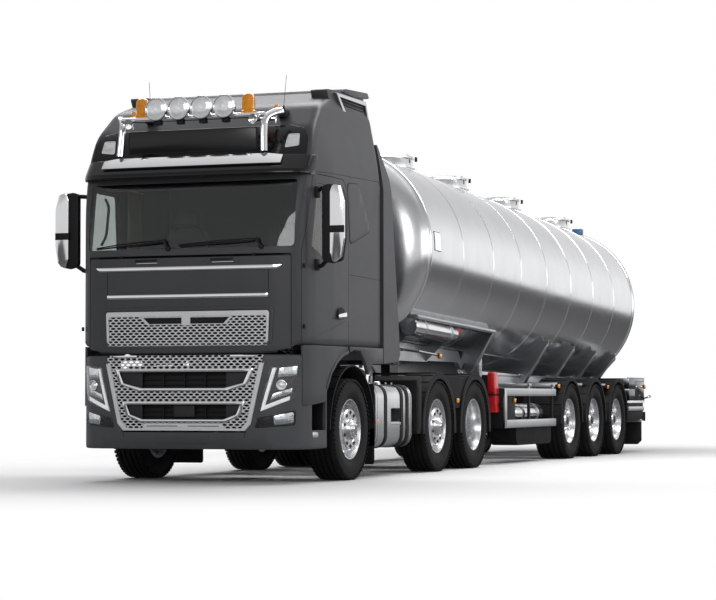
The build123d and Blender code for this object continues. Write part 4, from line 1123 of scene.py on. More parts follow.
@dataclass
class Wheel:
    """A tyre on its polished rim, drawn about the x axis with its outer face towards +x."""

    form: RimForm
    width: float
    rubber_centres: tuple[float, ...] = (0.0,)
    sides: int = 80
    lugs: int = 64
    bolt_circle: float = 0.1675
    bolts: int = 10
    sunk: float = 0.024

    def tyre(self, name: str, body: str, ring: Ring) -> Piece:
        """Builds the rubber: sidewalls with moulded rings, a grooved tread and shoulder lugs."""
        piece = Piece(name, body, "tyre_rubber")
        half = self.width / 2
        side = [
            (0.72, 0.2905),
            (0.755, 0.292),
            (0.80, 0.305),
            (0.90, 0.330),
            (0.905, 0.334),
            (0.93, 0.338),
            (0.985, 0.375),
            (1.0, 0.412),
            (0.985, 0.440),
            (0.978, 0.444),
            (0.982, 0.449),
            (0.955, 0.474),
            (0.925, 0.492),
            (0.875, 0.503),
            (0.83, 0.5055),
        ]
        profile = [(-x * half, r) for x, r in side]
        for groove in (-0.56, -0.19, 0.19, 0.56):
            middle = groove * half
            profile += [
                (middle - 0.010, 0.507), (middle - 0.007, 0.492), (middle + 0.007, 0.492),
                (middle + 0.010, 0.507),
            ]
        profile += [(x * half, r) for x, r in reversed(side)]
        for centre in self.rubber_centres:
            piece.lathe(profile, TYRE_RUBBER, (centre, 0, 0), sides=self.sides, looped=True)
            lug = loose("lug", *self._lug())
            lugs = ring.make(lug, self.lugs, 0.4925, TYRE_RUBBER)
            for way in (-1, 1):
                copy = doubled(lugs)
                copy.data.transform(Matrix.Translation((centre + way * 0.90 * half, 0, 0)))
                piece.take(copy, TYRE_RUBBER)
            bpy.data.objects.remove(lugs)
        return piece

    def _lug(self) -> tuple[list[Point], list[tuple[int, ...]]]:
        """Returns the corners and faces of one shoulder lug, its z away from the axle."""
        x, y, low, high = 0.075 * self.width, 0.0145, -0.012, 0.0105
        base = [(-x, -y, low), (x, -y, low), (x, y, low), (-x, y, low)]
        top = [
            (-x * 0.8, -y * 0.8, high), (x * 0.8, -y * 0.8, high), (x * 0.8, y * 0.8, high),
            (-x * 0.8, y * 0.8, high),
        ]
        return base + top, [
            (3, 2, 1, 0), (4, 5, 6, 7), (0, 1, 5, 4), (1, 2, 6, 5), (2, 3, 7, 6), (3, 0, 4, 7),
        ]

    def _section(self) -> list[tuple[float, float]]:
        """Returns the rim's section from the axis at its back to the axis at its front."""
        edge = 0.38 * self.width
        lip = edge + 0.017
        seat = 0.2895
        rear = [
            (-lip, 0.262), (-lip, 0.300), (-edge - 0.005, 0.3005), (-edge, seat), (edge, seat),
            (edge + 0.004, 0.3005), (lip - 0.002, 0.3008), (lip, 0.297), (lip - 0.004, 0.289),
        ]
        if self.form is RimForm.OUTSET:
            back = [
                (-0.02, 0.0), (-0.02, 0.10), (0.085, 0.12), (0.09, 0.18), (0.04, 0.200), (0.0, 0.222),
                (-0.01, 0.262),
            ]
            face = [
                (0.092, 0.281), (0.07, 0.272), (0.040, 0.268), (0.020, 0.262), (0.014, 0.250),
                (0.018, 0.226), (0.045, 0.214),
                (0.118, 0.208), (0.131, 0.198), (0.131, 0.143), (0.127, 0.139), (0.127, 0.108),
                (0.131, 0.104), (0.160, 0.098),
                (0.166, 0.094), (0.168, 0.070), (0.178, 0.066), (0.182, 0.058), (0.182, 0.0),
            ]
        elif self.form is RimForm.DISHED:
            back = [(-0.07, 0.0), (-0.07, 0.10), (0.005, 0.12), (0.01, 0.18), (0.0, 0.262)]
            face = [
                (0.125, 0.279), (0.10, 0.270), (0.05, 0.267), (0.035, 0.262), (0.040, 0.250),
                (0.052, 0.226), (0.060, 0.205),
                (0.062, 0.196), (0.062, 0.143), (0.058, 0.139), (0.058, 0.112), (0.070, 0.107),
                (0.095, 0.104), (0.100, 0.100),
                (0.128, 0.088), (0.136, 0.078), (0.136, 0.0),
            ]
        else:
            back = [(-0.23, 0.0), (-0.23, 0.11), (-0.19, 0.12), (-0.19, 0.19), (-0.235, 0.262)]
            face = [
                (0.092, 0.281), (0.07, 0.272), (0.0, 0.268), (-0.10, 0.267), (-0.118, 0.262),
                (-0.128, 0.245), (-0.142, 0.215),
                (-0.150, 0.196), (-0.150, 0.143), (-0.146, 0.137), (-0.146, 0.118), (-0.10, 0.115),
                (-0.02, 0.114), (0.008, 0.104),
                (0.014, 0.088), (0.015, 0.0),
            ]
        return back + rear + face

    def rim(self, name: str, body: str, ring: Ring) -> Piece:
        """Builds the rim with its hand holes, hub and wheel nuts."""
        piece = Piece(name, body, "wheel_alloy")
        turned = Piece("turned", body, "wheel_alloy")
        turned.lathe(self._section(), WHEEL_ALLOY, sides=self.sides)
        solid = drawn(turned)
        size = self.form.value
        outset = self.form is RimForm.OUTSET
        seat = size.seat - self.sunk if outset else size.seat
        drill = Piece("drill", body, "wheel_alloy")
        for i in range(self.bolts):
            angle = 2 * math.pi * (i + 0.5) / self.bolts
            spot = (-0.3, size.hole_circle * math.cos(angle), size.hole_circle * math.sin(angle))
            drill.lathe([(0.0, 0.0165), (0.6, 0.0165)], WHEEL_ALLOY, spot, sides=16)
            if outset:
                # pocket that the nut is sunk in
                pocket = (seat, self.bolt_circle * math.cos(angle), self.bolt_circle * math.sin(angle))
                drill.lathe([(0.0, 0.0235), (0.10, 0.0255)], WHEEL_ALLOY, pocket, sides=20)
                # painted shade: a thin black disc on the pocket's floor darkens it round the nut
                piece.lathe(
                    [(0.0, 0.0), (0.0, 0.0232), (0.0015, 0.0232), (0.0015, 0.0)], MOULDED_BLACK, pocket,
                    sides=20,
                )
        cut(solid, drawn(drill))
        piece.take(solid, WHEEL_ALLOY)
        nut = loose("nut", *self._nut())
        # the outset wheels' nuts are dark iron, which also paints the shade of the pockets they sit in; the
        # other wheels' nuts are chrome
        nut_finish, hub_finish = (AXLE_IRON, CHROME) if outset else (CHROME, AXLE_IRON)
        nuts = ring.make(nut, self.bolts, self.bolt_circle, nut_finish)
        nuts.data.transform(Matrix.Translation((seat, 0, 0)))
        piece.take(nuts, nut_finish)
        hub_face = size.hub_face
        piece.lathe(
            [
                (hub_face - 0.02, 0.0), (hub_face - 0.02, 0.052), (hub_face + 0.004, 0.050),
                (hub_face + 0.008, 0.044), (hub_face + 0.008, 0.0),
            ],
            hub_finish,
            sides=32,
        )
        for i in range(8):
            angle = 2 * math.pi * i / 8
            spot = (hub_face - 0.008, 0.062 * math.cos(angle), 0.062 * math.sin(angle))
            piece.lathe([(0.0, 0.0), (0.0, 0.007), (0.010, 0.006), (0.012, 0.0)], hub_finish, spot, sides=6)
        # valve stem
        piece.tube(
            [(seat - 0.09, 0.0, 0.262), (seat - 0.04, 0.0, 0.250), (seat + 0.02, 0.0, 0.246)], 0.0045,
            CHROME, 8,
        )
        return piece

    def _nut(self) -> tuple[list[Point], list[list[int]]]:
        """Returns the corners and faces of one wheel nut: a washer, a hexagon and a crown, its x outward."""
        sides = 12
        rings = [
            (0.0, 0.0215), (0.004, 0.0215), (0.004, 0.0175), (0.024, 0.0175), (0.029, 0.012),
            (0.036, 0.0095),
        ]
        points: list[Point] = []
        faces: list[list[int]] = []
        for number, (x, radius) in enumerate(rings):
            for i in range(sides):
                angle = 2 * math.pi * i / sides
                flat = 0.9 if number in (2, 3) and i % 2 else 1.0
                points.append((x, radius * flat * math.cos(angle), radius * flat * math.sin(angle)))
            if number:
                faces += strip((number - 1) * sides, number * sides, sides)
        faces.append(list(range(len(points) - sides, len(points))))
        faces.append(list(range(sides))[::-1])
        return points, faces


@dataclass
class WheelSet:
    """All the wheels of the lorry, left and right."""

    tyre_width: float = 0.300
    wide_width: float = 0.385
    twin_pitch: float = 0.340
    front_station: float = 1.420
    pusher_station: float = 4.200
    drive_station: float = 5.550
    trailer_stations: tuple[float, ...] = (9.920, 11.235, 12.550)

    def build(self) -> None:
        """Builds each wheel in its place, in place of the model's plain ones."""
        ring = Ring("copies_round_an_axle")
        outset = Wheel(RimForm.OUTSET, self.tyre_width)
        twin = Wheel(RimForm.TWIN, self.tyre_width, (0.0, -self.twin_pitch))
        dished = Wheel(RimForm.DISHED, self.wide_width)
        table = [
            ("front", outset, self.front_station), ("pusher", outset, self.pusher_station),
            ("drive", twin, self.drive_station),
        ]
        table += [(f"trailer_{i}", dished, s) for i, s in enumerate(self.trailer_stations, start=1)]
        for name, wheel, station in table:
            for side, sign in (("left", 1), ("right", -1)):
                centre = Vector((sign * (WHEEL_FACE - wheel.width / 2), at(station), TYRE_RADIUS))
                move = Matrix.Translation(centre) @ Matrix.Diagonal((sign, 1, 1, 1))
                body = f"wheel_{name}_{side}"
                wheel.tyre(f"rubber_{name}_{side}", body, ring).build(
                    f"tyre_{name}_{side}", crease=40, move=move,
                )
                wheel.rim(f"polished_rim_{name}_{side}", body, ring).build(
                    f"rim_{name}_{side}", crease=28, move=move,
                )


# ---------------------------------------------------------------- tank
@dataclass
class Tank:
    """The round stainless barrel with its sections, domed ends, turrets and lids."""

    radius: float = 1.135
    front_station: float = 4.150
    front_height: float = 2.505
    section: float = 1.210
    sections: int = 8
    fall: float = 0.031
    dome_depth: float = 0.270
    turret_stations: tuple[float, ...] = (5.980, 8.140, 10.570, 13.250)
    turret_radius: float = 0.270
    turret_height: float = 0.120
    lid_radius: float = 0.288
    sides: int = 144
    slope: float = field(init=False)

    def __post_init__(self) -> None:
        """Works out the angle that the barrel falls at."""
        self.slope = math.atan(self.fall)

    def axis(self) -> Vector:
        """Returns the direction of the barrel's axis, rearwards."""
        return Vector((0, math.cos(self.slope), -math.sin(self.slope)))

    def up(self) -> Vector:
        """Returns the direction square to the axis, upwards."""
        return Vector((0, math.sin(self.slope), math.cos(self.slope)))

    def origin(self) -> Vector:
        """Returns the middle of the front ring."""
        return Vector((0, at(self.front_station), self.front_height))

    def spot(self, station: float, angle: float, proud: float = 0.0) -> Vector:
        """Returns a point on the barrel at a station and an angle from its crown, towards +x."""
        distance = (station - self.front_station) / math.cos(self.slope)
        reach = self.radius + proud
        side = Vector((math.sin(angle), 0, 0)) * reach
        return self.origin() + self.axis() * distance + self.up() * (reach * math.cos(angle)) + side

    def _dome(self, steps: int = 14) -> list[tuple[float, float]]:
        """Returns distances and radii of a domed end, from its ring to its middle."""
        result = []
        for i in range(1, steps + 1):
            angle = math.pi / 2 * i / steps
            result.append((0.98 * self.dome_depth * math.sin(angle) ** 0.9, self.radius * math.cos(angle)))
        return result

    def barrel(self) -> None:
        """Builds the barrel: sheet sections between proud seams, rolled end rings and domes."""
        piece = Piece("stainless_barrel", "trailer", "polished_stainless")
        length = self.section * self.sections
        profile = [(-d, r) for d, r in reversed(self._dome())]
        rings = (0.0, length)
        stops = []
        for distance in rings:
            stops += [
                (distance - 0.034, 0), (distance - 0.030, 0.010), (distance - 0.015, 0.017),
                (distance + 0.015, 0.017),
            ]
            stops += [(distance + 0.030, 0.010), (distance + 0.034, 0)]
        for number in range(1, self.sections):
            seam = self.section * number
            stops += [(seam - 0.011, 0), (seam - 0.009, 0.0035), (seam + 0.009, 0.0035), (seam + 0.011, 0)]
            for share in (0.25, 0.5, 0.75):
                stops.append((seam - self.section * share, -0.0012 if share == 0.5 else -0.0006))
        profile += [(d, self.radius + proud) for d, proud in sorted(stops)]
        profile += [(length + d, r) for d, r in self._dome()]
        piece.lathe(profile, TANK_STEEL, tuple(self.origin()), tuple(self.axis()), self.sides)
        # longitudinal weld low on each flank
        for sign in (-1, 1):
            run = [
                self.spot(self.front_station + 0.05 + i * 9.5 / 24, sign * math.radians(152), 0.001)
                for i in range(25)
            ]
            piece.tube(run, 0.004, TANK_STEEL, 6)
        piece.build("tank_barrel", crease=50)

    def turrets(self) -> None:
        """Builds the four manhole necks with their weld rings, hinge lugs and latch posts."""
        piece = Piece("manhole_necks", "trailer", "polished_stainless")
        for station in self.turret_stations:
            foot = self.spot(station, 0.0)
            up = tuple(self.up())
            radius, top = self.turret_radius, self.turret_height
            section = [
                (-0.06, radius - 0.034), (-0.06, radius), (0.0, radius), (0.004, radius + 0.010),
                (0.010, radius + 0.003), (top - 0.012, radius), (top - 0.006, radius - 0.002),
                (top, radius - 0.006), (top, radius - 0.034),
            ]
            piece.lathe(section, TANK_STEEL, tuple(foot), up, 64, looped=True)
            self._lugs(piece, station)
            self._latch(piece, station)
        piece.build("turret_necks", crease=35)

    def _lugs(self, piece: Piece, station: float) -> None:
        """Adds a neck's two hinge lugs and the pin between them."""
        base = self.spot(station, 0.0)
        for along in (-0.052, 0.052):
            corner = base + self.axis() * along
            low = corner + Vector((-0.350, -0.007, 0.052))
            high = corner + Vector((-0.262, 0.007, 0.119))
            piece.block(tuple(low), tuple(high), TANK_STEEL, 0.004)
            tip_low = corner + Vector((-0.350, -0.007, 0.112))
            tip_high = corner + Vector((-0.298, 0.007, 0.150))
            piece.block(tuple(tip_low), tuple(tip_high), TANK_STEEL, 0.006)
        start = base + self.up() * (self.turret_height + 0.015) + Vector(
            (-0.325, 0, 0)
        ) - self.axis() * 0.064
        piece.tube([start, start + self.axis() * 0.128], 0.008, CHROME, 16)

    def _latch(self, piece: Piece, station: float) -> None:
        """Adds the swing bolt that stands beside a neck, with its black knob."""
        foot = self.spot(station, 0.0) + Vector((0.322, 0, -0.045))
        up = self.up()
        piece.tube([foot, foot + up * 0.20], 0.008, CHROME, 12)
        piece.block(
            tuple(foot + Vector((-0.06, -0.02, 0.03))), tuple(foot + Vector((0.012, 0.02, 0.05))),
            TANK_STEEL, 0.004
        )
        knob = foot + up * 0.155
        piece.lathe(
            [(-0.03, 0.0), (-0.03, 0.012), (-0.02, 0.016), (0.02, 0.016), (0.03, 0.012), (0.03, 0.0)],
            MOULDED_BLACK, tuple(knob), tuple(up), 16,
        )

    def lids(self) -> None:
        """Builds the four lids, which turn on their hinge pins."""
        for number, station in enumerate(self.turret_stations, start=1):
            piece = Piece(f"manhole_cover_{number}", f"lid_{number}", "polished_stainless")
            seat = self.spot(station, 0.0) + self.up() * (self.turret_height + 0.0008)
            radius = self.lid_radius
            section = [
                (0.0, 0.0), (0.0, radius - 0.004), (0.004, radius), (0.018, radius),
                (0.025, radius - 0.007), (0.028, radius - 0.03), (0.030, 0.20), (0.046, 0.17),
                (0.055, 0.10), (0.056, 0.0),
            ]
            piece.lathe(section, TANK_STEEL, tuple(seat), tuple(self.up()), 64)
            tongue_low = seat + Vector((-0.345, -0.038, 0.006))
            tongue_high = seat + Vector((-0.26, 0.038, 0.026))
            piece.block(tuple(tongue_low), tuple(tongue_high), TANK_STEEL, 0.006)
            # ribs pressed across the cover and its lifting handle
            for along in (-0.09, 0.09):
                start = seat + self.up() * 0.044 + self.axis() * along
                piece.tube(
                    [start - Vector((0.16, 0, 0)), start + Vector((0.16, 0, 0))], 0.010, TANK_STEEL, 10,
                )
            grip = seat + self.up() * 0.030
            path = [
                grip + Vector((0.205, -0.06, 0)), grip + Vector((0.205, -0.06, 0.026)),
                grip + Vector((0.205, 0.06, 0.024)), grip + Vector((0.205, 0.06, -0.004)),
            ]
            piece.tube(smooth_path(path, 0.02), 0.006, CHROME, 10)
            piece.build(f"manhole_lid_{number}", crease=35)

    def build(self) -> None:
        """Builds the barrel, the necks and the lids."""
        self.barrel()
        self.turrets()
        self.lids()


# ---------------------------------------------------------------- crossed forms
def signed_distance(points: np.ndarray, outline: np.ndarray) -> np.ndarray:
    """Measures how far points lie from a closed outline, below zero inside it.

    Args:
        points: Pairs of coordinates, one a row.
        outline: The outline's corners, one a row.

    Returns:
        One distance for each point.
    """
    start, end = outline, np.roll(outline, -1, axis=0)
    run = end - start
    gap = points[:, None, :] - start[None, :, :]
    share = np.clip((gap * run).sum(2) / np.maximum((run * run).sum(1), 1e-12), 0, 1)
    near = np.sqrt(((gap - share[:, :, None] * run) ** 2).sum(2)).min(1)
    above = (start[None, :, 1] > points[:, None, 1]) != (end[None, :, 1] > points[:, None, 1])
    rise = np.where(np.abs(run[:, 1]) < 1e-12, 1e-12, run[:, 1])
    crossing = start[None, :, 0] + (points[:, None, 1] - start[None, :, 1]) * run[:, 0] / rise
    inside = (above & (points[:, None, 0] < crossing)).sum(1) % 2 == 1
    return np.where(inside, -near, near)


@dataclass
class CrossedForm:
    """A body panel's form: a side, a plan and a front outline crossed, with soft edges between them."""

    side: Outline
    plan: Outline
    front: Outline | None
    soft: float = 0.07
    bend: float = 0.4
    core_low: Point = (-0.8, at(0.75), 1.7)
    core_high: Point = (0.8, at(1.85), 3.1)
    flank_floor: float = 1.6
    views: list[tuple[tuple[int, int], np.ndarray]] = field(init=False)

    def __post_init__(self) -> None:
        """Rounds the outlines and keeps each with the axes it is drawn on."""
        self.views = [
            ((1, 2), np.array(rounded(self.side, self.bend))),
            ((0, 1), np.array(rounded(self.plan, self.bend))),
        ]
        if self.front is not None:
            self.views.append(((0, 2), np.array(rounded(self.front, self.bend))))

    def value(self, points: np.ndarray, inset: float = 0.0) -> np.ndarray:
        """Measures how far points lie outside the form drawn in by an inset."""
        result: np.ndarray | None = None
        for axes, outline in self.views:
            part = signed_distance(points[:, axes], outline)
            if result is None:
                result = part
                continue
            meet = np.maximum(self.soft - np.abs(result - part), 0) / self.soft
            result = np.maximum(result, part) + meet * meet * self.soft / 4
        return result + inset

    def meet(self, start: np.ndarray, end: np.ndarray, inset: float = 0.0) -> np.ndarray:
        """Finds where lines from outside the form to inside it meet its skin.

        Args:
            start: Points outside, one a row.
            end: Points inside, one a row.
            inset: How far the form is drawn in.

        Returns:
            The points on the skin.
        """
        low, high = np.zeros(len(start)), np.ones(len(start))
        at_low, at_high = self.value(start, inset), self.value(end, inset)
        for step in range(9):
            share = at_low / np.where(np.abs(at_low - at_high) < 1e-9, 1e-9, at_low - at_high)
            share = np.clip(share, 0.02, 0.98) if step % 3 else np.full_like(share, 0.5)
            middle = low + (high - low) * share
            level = self.value(start + (end - start) * middle[:, None], inset)
            outside = level > 0
            low, at_low = np.where(outside, middle, low), np.where(outside, level, at_low)
            high, at_high = np.where(outside, high, middle), np.where(outside, at_high, level)
        share = at_low / np.where(np.abs(at_low - at_high) < 1e-9, 1e-9, at_low - at_high)
        return start + (end - start) * (low + (high - low) * np.clip(share, 0, 1))[:, None]

    def skin(self, name: str, step: float = 0.04, inset: float = 0.0) -> bpy.types.Object:
        """Makes the form's closed skin as a fine net of faces.

        Args:
            name: The object's name.
            step: The net's spacing.
            inset: How far the form is drawn in.

        Returns:
            A plain object.
        """
        corners = [
            np.concatenate([outline[:, axes.index(k)] for axes, outline in self.views if k in axes])
            for k in range(3)
        ]
        low = np.array([c.min() for c in corners]) - 0.05
        high = np.array([c.max() for c in corners]) + 0.05
        counts = np.maximum(((high - low) / step).astype(int), 3)
        points: list[np.ndarray] = []
        faces: list[list[int]] = []
        base = 0
        for axis in range(3):
            a, b = [k for k in range(3) if k != axis]
            u = np.linspace(low[a], high[a], counts[a] + 1)
            v = np.linspace(low[b], high[b], counts[b] + 1)
            for end in (low[axis], high[axis]):
                sheet = np.zeros((len(u), len(v), 3))
                sheet[:, :, a], sheet[:, :, b], sheet[:, :, axis] = u[:, None], v[None, :], end
                points.append(sheet.reshape(-1, 3))
                width = len(v)
                for i in range(len(u) - 1):
                    for j in range(width - 1):
                        here = base + i * width + j
                        faces.append([here, here + 1, here + width + 1, here + width])
                base += len(u) * width
        outer = np.concatenate(points)
        inner = np.clip(outer, self.core_low, self.core_high)
        shaped = self.meet(outer, inner, inset)
        part = bmesh.new()
        corners_made = [part.verts.new(p) for p in shaped]
        for face in faces:
            part.faces.new([corners_made[i] for i in face])
        bmesh.ops.remove_doubles(part, verts=part.verts, dist=1e-4)
        bmesh.ops.recalc_face_normals(part, faces=part.faces)
        return poured(name, part)

    def lay_front(self, piece: Piece, start: int = 0, slices: float = 0.06) -> None:
        """Lays what a piece gained since a vertex number on the form's front; a y drawn as 0 is the skin.

        Args:
            piece: The piece, drawn flat with x and z in place.
            start: The first vertex number to lay.
            slices: How far apart the drawn shapes are divided so that they bend.
        """
        self._divide(piece, start, 0, slices)
        self._divide(piece, start, 2, slices * 2)
        piece.mesh.verts.ensure_lookup_table()
        chosen = list(piece.mesh.verts)[start:]
        drawn = np.array([v.co for v in chosen])
        outside = drawn.copy()
        outside[:, 1] = at(-0.3)
        skin = self._along(outside, 1, self.core_low[1])
        for vert, y, depth in zip(chosen, skin[:, 1], drawn[:, 1]):
            vert.co.y = y + depth

    def lay_flank(self, piece: Piece, start: int = 0, slices: float = 0.08) -> None:
        """Lays what a piece gained since a vertex number on the form's +x flank; an x drawn as 0 is the skin.

        Args:
            piece: The piece, drawn flat with y and z in place.
            start: The first vertex number to lay.
            slices: How far apart the drawn shapes are divided so that they bend.
        """
        self._divide(piece, start, 1, slices)
        self._divide(piece, start, 2, slices * 2)
        piece.mesh.verts.ensure_lookup_table()
        chosen = list(piece.mesh.verts)[start:]
        drawn = np.array([v.co for v in chosen])
        outside = drawn.copy()
        outside[:, 0] = 1.6
        outside[:, 2] = np.maximum(outside[:, 2], self.flank_floor)
        skin = self._along(outside, 0, 0.0)
        for vert, x, depth in zip(chosen, skin[:, 0], drawn[:, 0]):
            vert.co.x = x + depth

    def _along(self, outside: np.ndarray, axis: int, stop: float) -> np.ndarray:
        """Finds the skin straight along an axis from points outside."""
        inside = outside.copy()
        inside[:, axis] = stop
        return self.meet(outside, inside)

    @staticmethod
    def _divide(piece: Piece, start: int, axis: int, slices: float) -> None:
        """Divides the newest faces of a piece by planes square to an axis."""
        piece.mesh.verts.ensure_lookup_table()
        fresh = list(piece.mesh.verts)[start:]
        if not fresh:
            return
        low, high = min(v.co[axis] for v in fresh), max(v.co[axis] for v in fresh)
        normal = [0.0, 0.0, 0.0]
        normal[axis] = 1.0
        count = int((high - low) / slices)
        for i in range(1, count + 1):
            level = low + (high - low) * i / (count + 1)
            spot = [0.0, 0.0, 0.0]
            spot[axis] = level
            faces = {f for v in list(piece.mesh.verts)[start:] for f in v.link_faces}
            edges = {e for f in faces for e in f.edges}
            verts = {v for f in faces for v in f.verts}
            bmesh.ops.bisect_plane(
                piece.mesh, geom=list(verts) + list(edges) + list(faces), plane_co=spot, plane_no=normal,
                dist=1e-5,
            )
            piece.mesh.verts.ensure_lookup_table()


class HexSheet:
    """A Geometry Nodes tree that tiles a perforated sheet with flat hexagonal cells."""

    def __init__(self) -> None:
        """Builds the tree: a grid of points, every other row shifted by half a cell, and a cell on each."""
        self.tree = bpy.data.node_groups.new("hexagon_sheet", "GeometryNodeTree")
        face = self.tree.interface
        face.new_socket("Cell", in_out="INPUT", socket_type="NodeSocketObject")
        face.new_socket("Columns", in_out="INPUT", socket_type="NodeSocketInt")
        face.new_socket("Rows", in_out="INPUT", socket_type="NodeSocketInt")
        face.new_socket("Pitch", in_out="INPUT", socket_type="NodeSocketFloat")
        face.new_socket("Row Height", in_out="INPUT", socket_type="NodeSocketFloat")
        face.new_socket("Material", in_out="INPUT", socket_type="NodeSocketMaterial")
        face.new_socket("Geometry", in_out="OUTPUT", socket_type="NodeSocketGeometry")
        given = add_node(self.tree, "NodeGroupInput").outputs
        one_less_column = add_node(
            self.tree, "ShaderNodeMath", {0: given["Columns"], 1: 1.0}, operation="SUBTRACT",
        )
        one_less_row = add_node(
            self.tree, "ShaderNodeMath", {0: given["Rows"], 1: 1.0}, operation="SUBTRACT",
        )
        wide = add_node(
            self.tree, "ShaderNodeMath", {0: one_less_column.outputs[0], 1: given["Pitch"]},
            operation="MULTIPLY",
        )
        tall = add_node(
            self.tree, "ShaderNodeMath", {0: one_less_row.outputs[0], 1: given["Row Height"]},
            operation="MULTIPLY",
        )
        grid = add_node(
            self.tree,
            "GeometryNodeMeshGrid",
            {
                "Size X": wide.outputs[0], "Size Y": tall.outputs[0], "Vertices X": given["Columns"],
                "Vertices Y": given["Rows"],
            },
        )
        index = add_node(self.tree, "GeometryNodeInputIndex")
        row = add_node(
            self.tree, "ShaderNodeMath", {0: index.outputs[0], 1: given["Rows"]}, operation="MODULO",
        )
        odd = add_node(self.tree, "ShaderNodeMath", {0: row.outputs[0], 1: 2.0}, operation="MODULO")
        half = add_node(self.tree, "ShaderNodeMath", {0: given["Pitch"], 1: 0.5}, operation="MULTIPLY")
        shift = add_node(
            self.tree, "ShaderNodeMath", {0: odd.outputs[0], 1: half.outputs[0]}, operation="MULTIPLY",
        )
        offset = add_node(self.tree, "ShaderNodeCombineXYZ", {0: shift.outputs[0]})
        moved = add_node(
            self.tree, "GeometryNodeSetPosition",
            {"Geometry": grid.outputs[0], "Offset": offset.outputs[0]},
        )
        cell = add_node(self.tree, "GeometryNodeObjectInfo", {"Object": given["Cell"]})
        copies = add_node(
            self.tree, "GeometryNodeInstanceOnPoints",
            {"Points": moved.outputs[0], "Instance": cell.outputs["Geometry"]}
        )
        stood = add_node(
            self.tree, "GeometryNodeTransform",
            {"Geometry": copies.outputs[0], "Rotation": (math.pi / 2, 0, 0)}
        )
        real = add_node(self.tree, "GeometryNodeRealizeInstances", {"Geometry": stood.outputs[0]})
        finished = add_node(
            self.tree, "GeometryNodeSetMaterial",
            {"Geometry": real.outputs[0], "Material": given["Material"]}
        )
        add_node(self.tree, "NodeGroupOutput", {"Geometry": finished.outputs[0]})

    def make(
        self, columns: int, rows: int, pitch: float, row_height: float, finish: Finish,
    ) -> bpy.types.Object:
        """Tiles a sheet about the origin that stands square to y.

        Args:
            columns: Cells along x.
            rows: Cells along z.
            pitch: A cell's width.
            row_height: The distance between rows.
            finish: The sheet's finish.

        Returns:
            A plain mesh.
        """
        cell = loose("cell", *self._cell(pitch, row_height))
        carrier = loose("sheet", [(0, 0, 0)], [])
        step = carrier.modifiers.new("sheet", "NODES")
        step.node_group = self.tree
        values = {
            "Cell": cell, "Columns": columns, "Rows": rows, "Pitch": pitch, "Row Height": row_height,
            "Material": finish.material(),
        }
        for item in self.tree.interface.items_tree:
            if item.name in values:
                step[item.identifier] = values[item.name]
        baked(carrier)
        bpy.data.objects.remove(cell)
        return carrier

    @staticmethod
    def _cell(pitch: float, row_height: float) -> tuple[list[Point], list[list[int]]]:
        """Returns one cell: a hexagonal frame with a sloped lip round its hole."""
        waist = row_height * 0.34
        tip = row_height - waist
        outer = [
            (pitch / 2, -waist), (pitch / 2, waist), (0, tip), (-pitch / 2, waist), (-pitch / 2, -waist),
            (0, -tip),
        ]
        rings = [(1.0, 0.0), (0.80, 0.0), (0.71, -0.004), (0.71, -0.014)]
        points: list[Point] = []
        faces: list[list[int]] = []
        for number, (scale, depth) in enumerate(rings):
            lift = 1 - (1 - scale) * 1.15
            points += [(x * scale, y * lift, depth) for x, y in outer]
            if number:
                faces += strip((number - 1) * len(outer), number * len(outer), len(outer))
        return points, faces


def trim(piece: bpy.types.Object, outline: Outline, keep_inside: bool) -> None:
    """Trims a standing sheet along an outline of x and z.

    Args:
        piece: The sheet.
        outline: The outline's corners.
        keep_inside: Whether what lies inside is kept, or what lies outside.
    """
    corners = closed(outline)
    part = bmesh.new()
    part.from_mesh(piece.data)
    for (x1, z1), (x2, z2) in zip(corners, corners[1:] + corners[:1]):
        normal = Vector((z2 - z1, 0, x1 - x2)).normalized()
        reach = 0.06
        low = (min(x1, x2) - reach, min(z1, z2) - reach)
        high = (max(x1, x2) + reach, max(z1, z2) + reach)
        faces = [
            f
            for f in part.faces
            if low[0] < f.calc_center_median().x < high[0] and low[1] < f.calc_center_median().z < high[1]
        ]
        edges = {e for f in faces for e in f.edges}
        verts = {v for f in faces for v in f.verts}
        bmesh.ops.bisect_plane(
            part, geom=list(verts) + list(edges) + faces, plane_co=(x1, 0, z1), plane_no=normal, dist=1e-6,
        )
    centres = np.array([f.calc_center_median() for f in part.faces])[:, (0, 2)]
    inside = signed_distance(centres, np.array(corners)) < 0
    gone = [f for f, within in zip(part.faces, inside) if within != keep_inside]
    bmesh.ops.delete(part, geom=gone, context="FACES")
    part.to_mesh(piece.data)
    part.free()


# ---------------------------------------------------------------- cab
def sy(points: Outline) -> list[tuple[float, float]]:
    """Turns an outline of stations and heights into y and z."""
    return [(at(station), z) for station, z in points]


def mirrored_outline(half: Outline) -> list[tuple[float, float]]:
    """Closes the outline of the +x half with its mirror image."""
    return list(half) + [(-x, v) for x, v in reversed(half)]


def scaled(
    outline: Outline, middle: tuple[float, float], across: float, up: float,
) -> list[tuple[float, float]]:
    """Returns an outline scaled about a middle, by one amount across and another up."""
    return [(middle[0] + (u - middle[0]) * across, middle[1] + (v - middle[1]) * up) for u, v in outline]


def sided(sign: float, low: float, high: float) -> tuple[float, float]:
    """Returns a depth range, measured outwards from the middle, on the side that a sign names."""
    return tuple(sorted((sign * low, sign * high)))


def tight(points: Outline, corners: set[int], reach: float = 0.05) -> list[tuple[float, float]]:
    """Returns an outline with a neighbour on either side of the named corners, which keeps them sharp.

    Args:
        points: The outline's corners.
        corners: The numbers of those that stay sharp when the outline is rounded.
        reach: How far away the neighbours are.

    Returns:
        The outline with its neighbours added.
    """
    result: list[tuple[float, float]] = []
    for i, here in enumerate(points):
        if i % len(points) not in corners:
            result.append(here)
            continue
        for other in (points[i - 1], None, points[(i + 1) % len(points)]):
            if other is None:
                result.append(here)
                continue
            away = (Vector(other) - Vector(here)).normalized() * reach
            result.append((here[0] + away.x, here[1] + away.y))
    return result


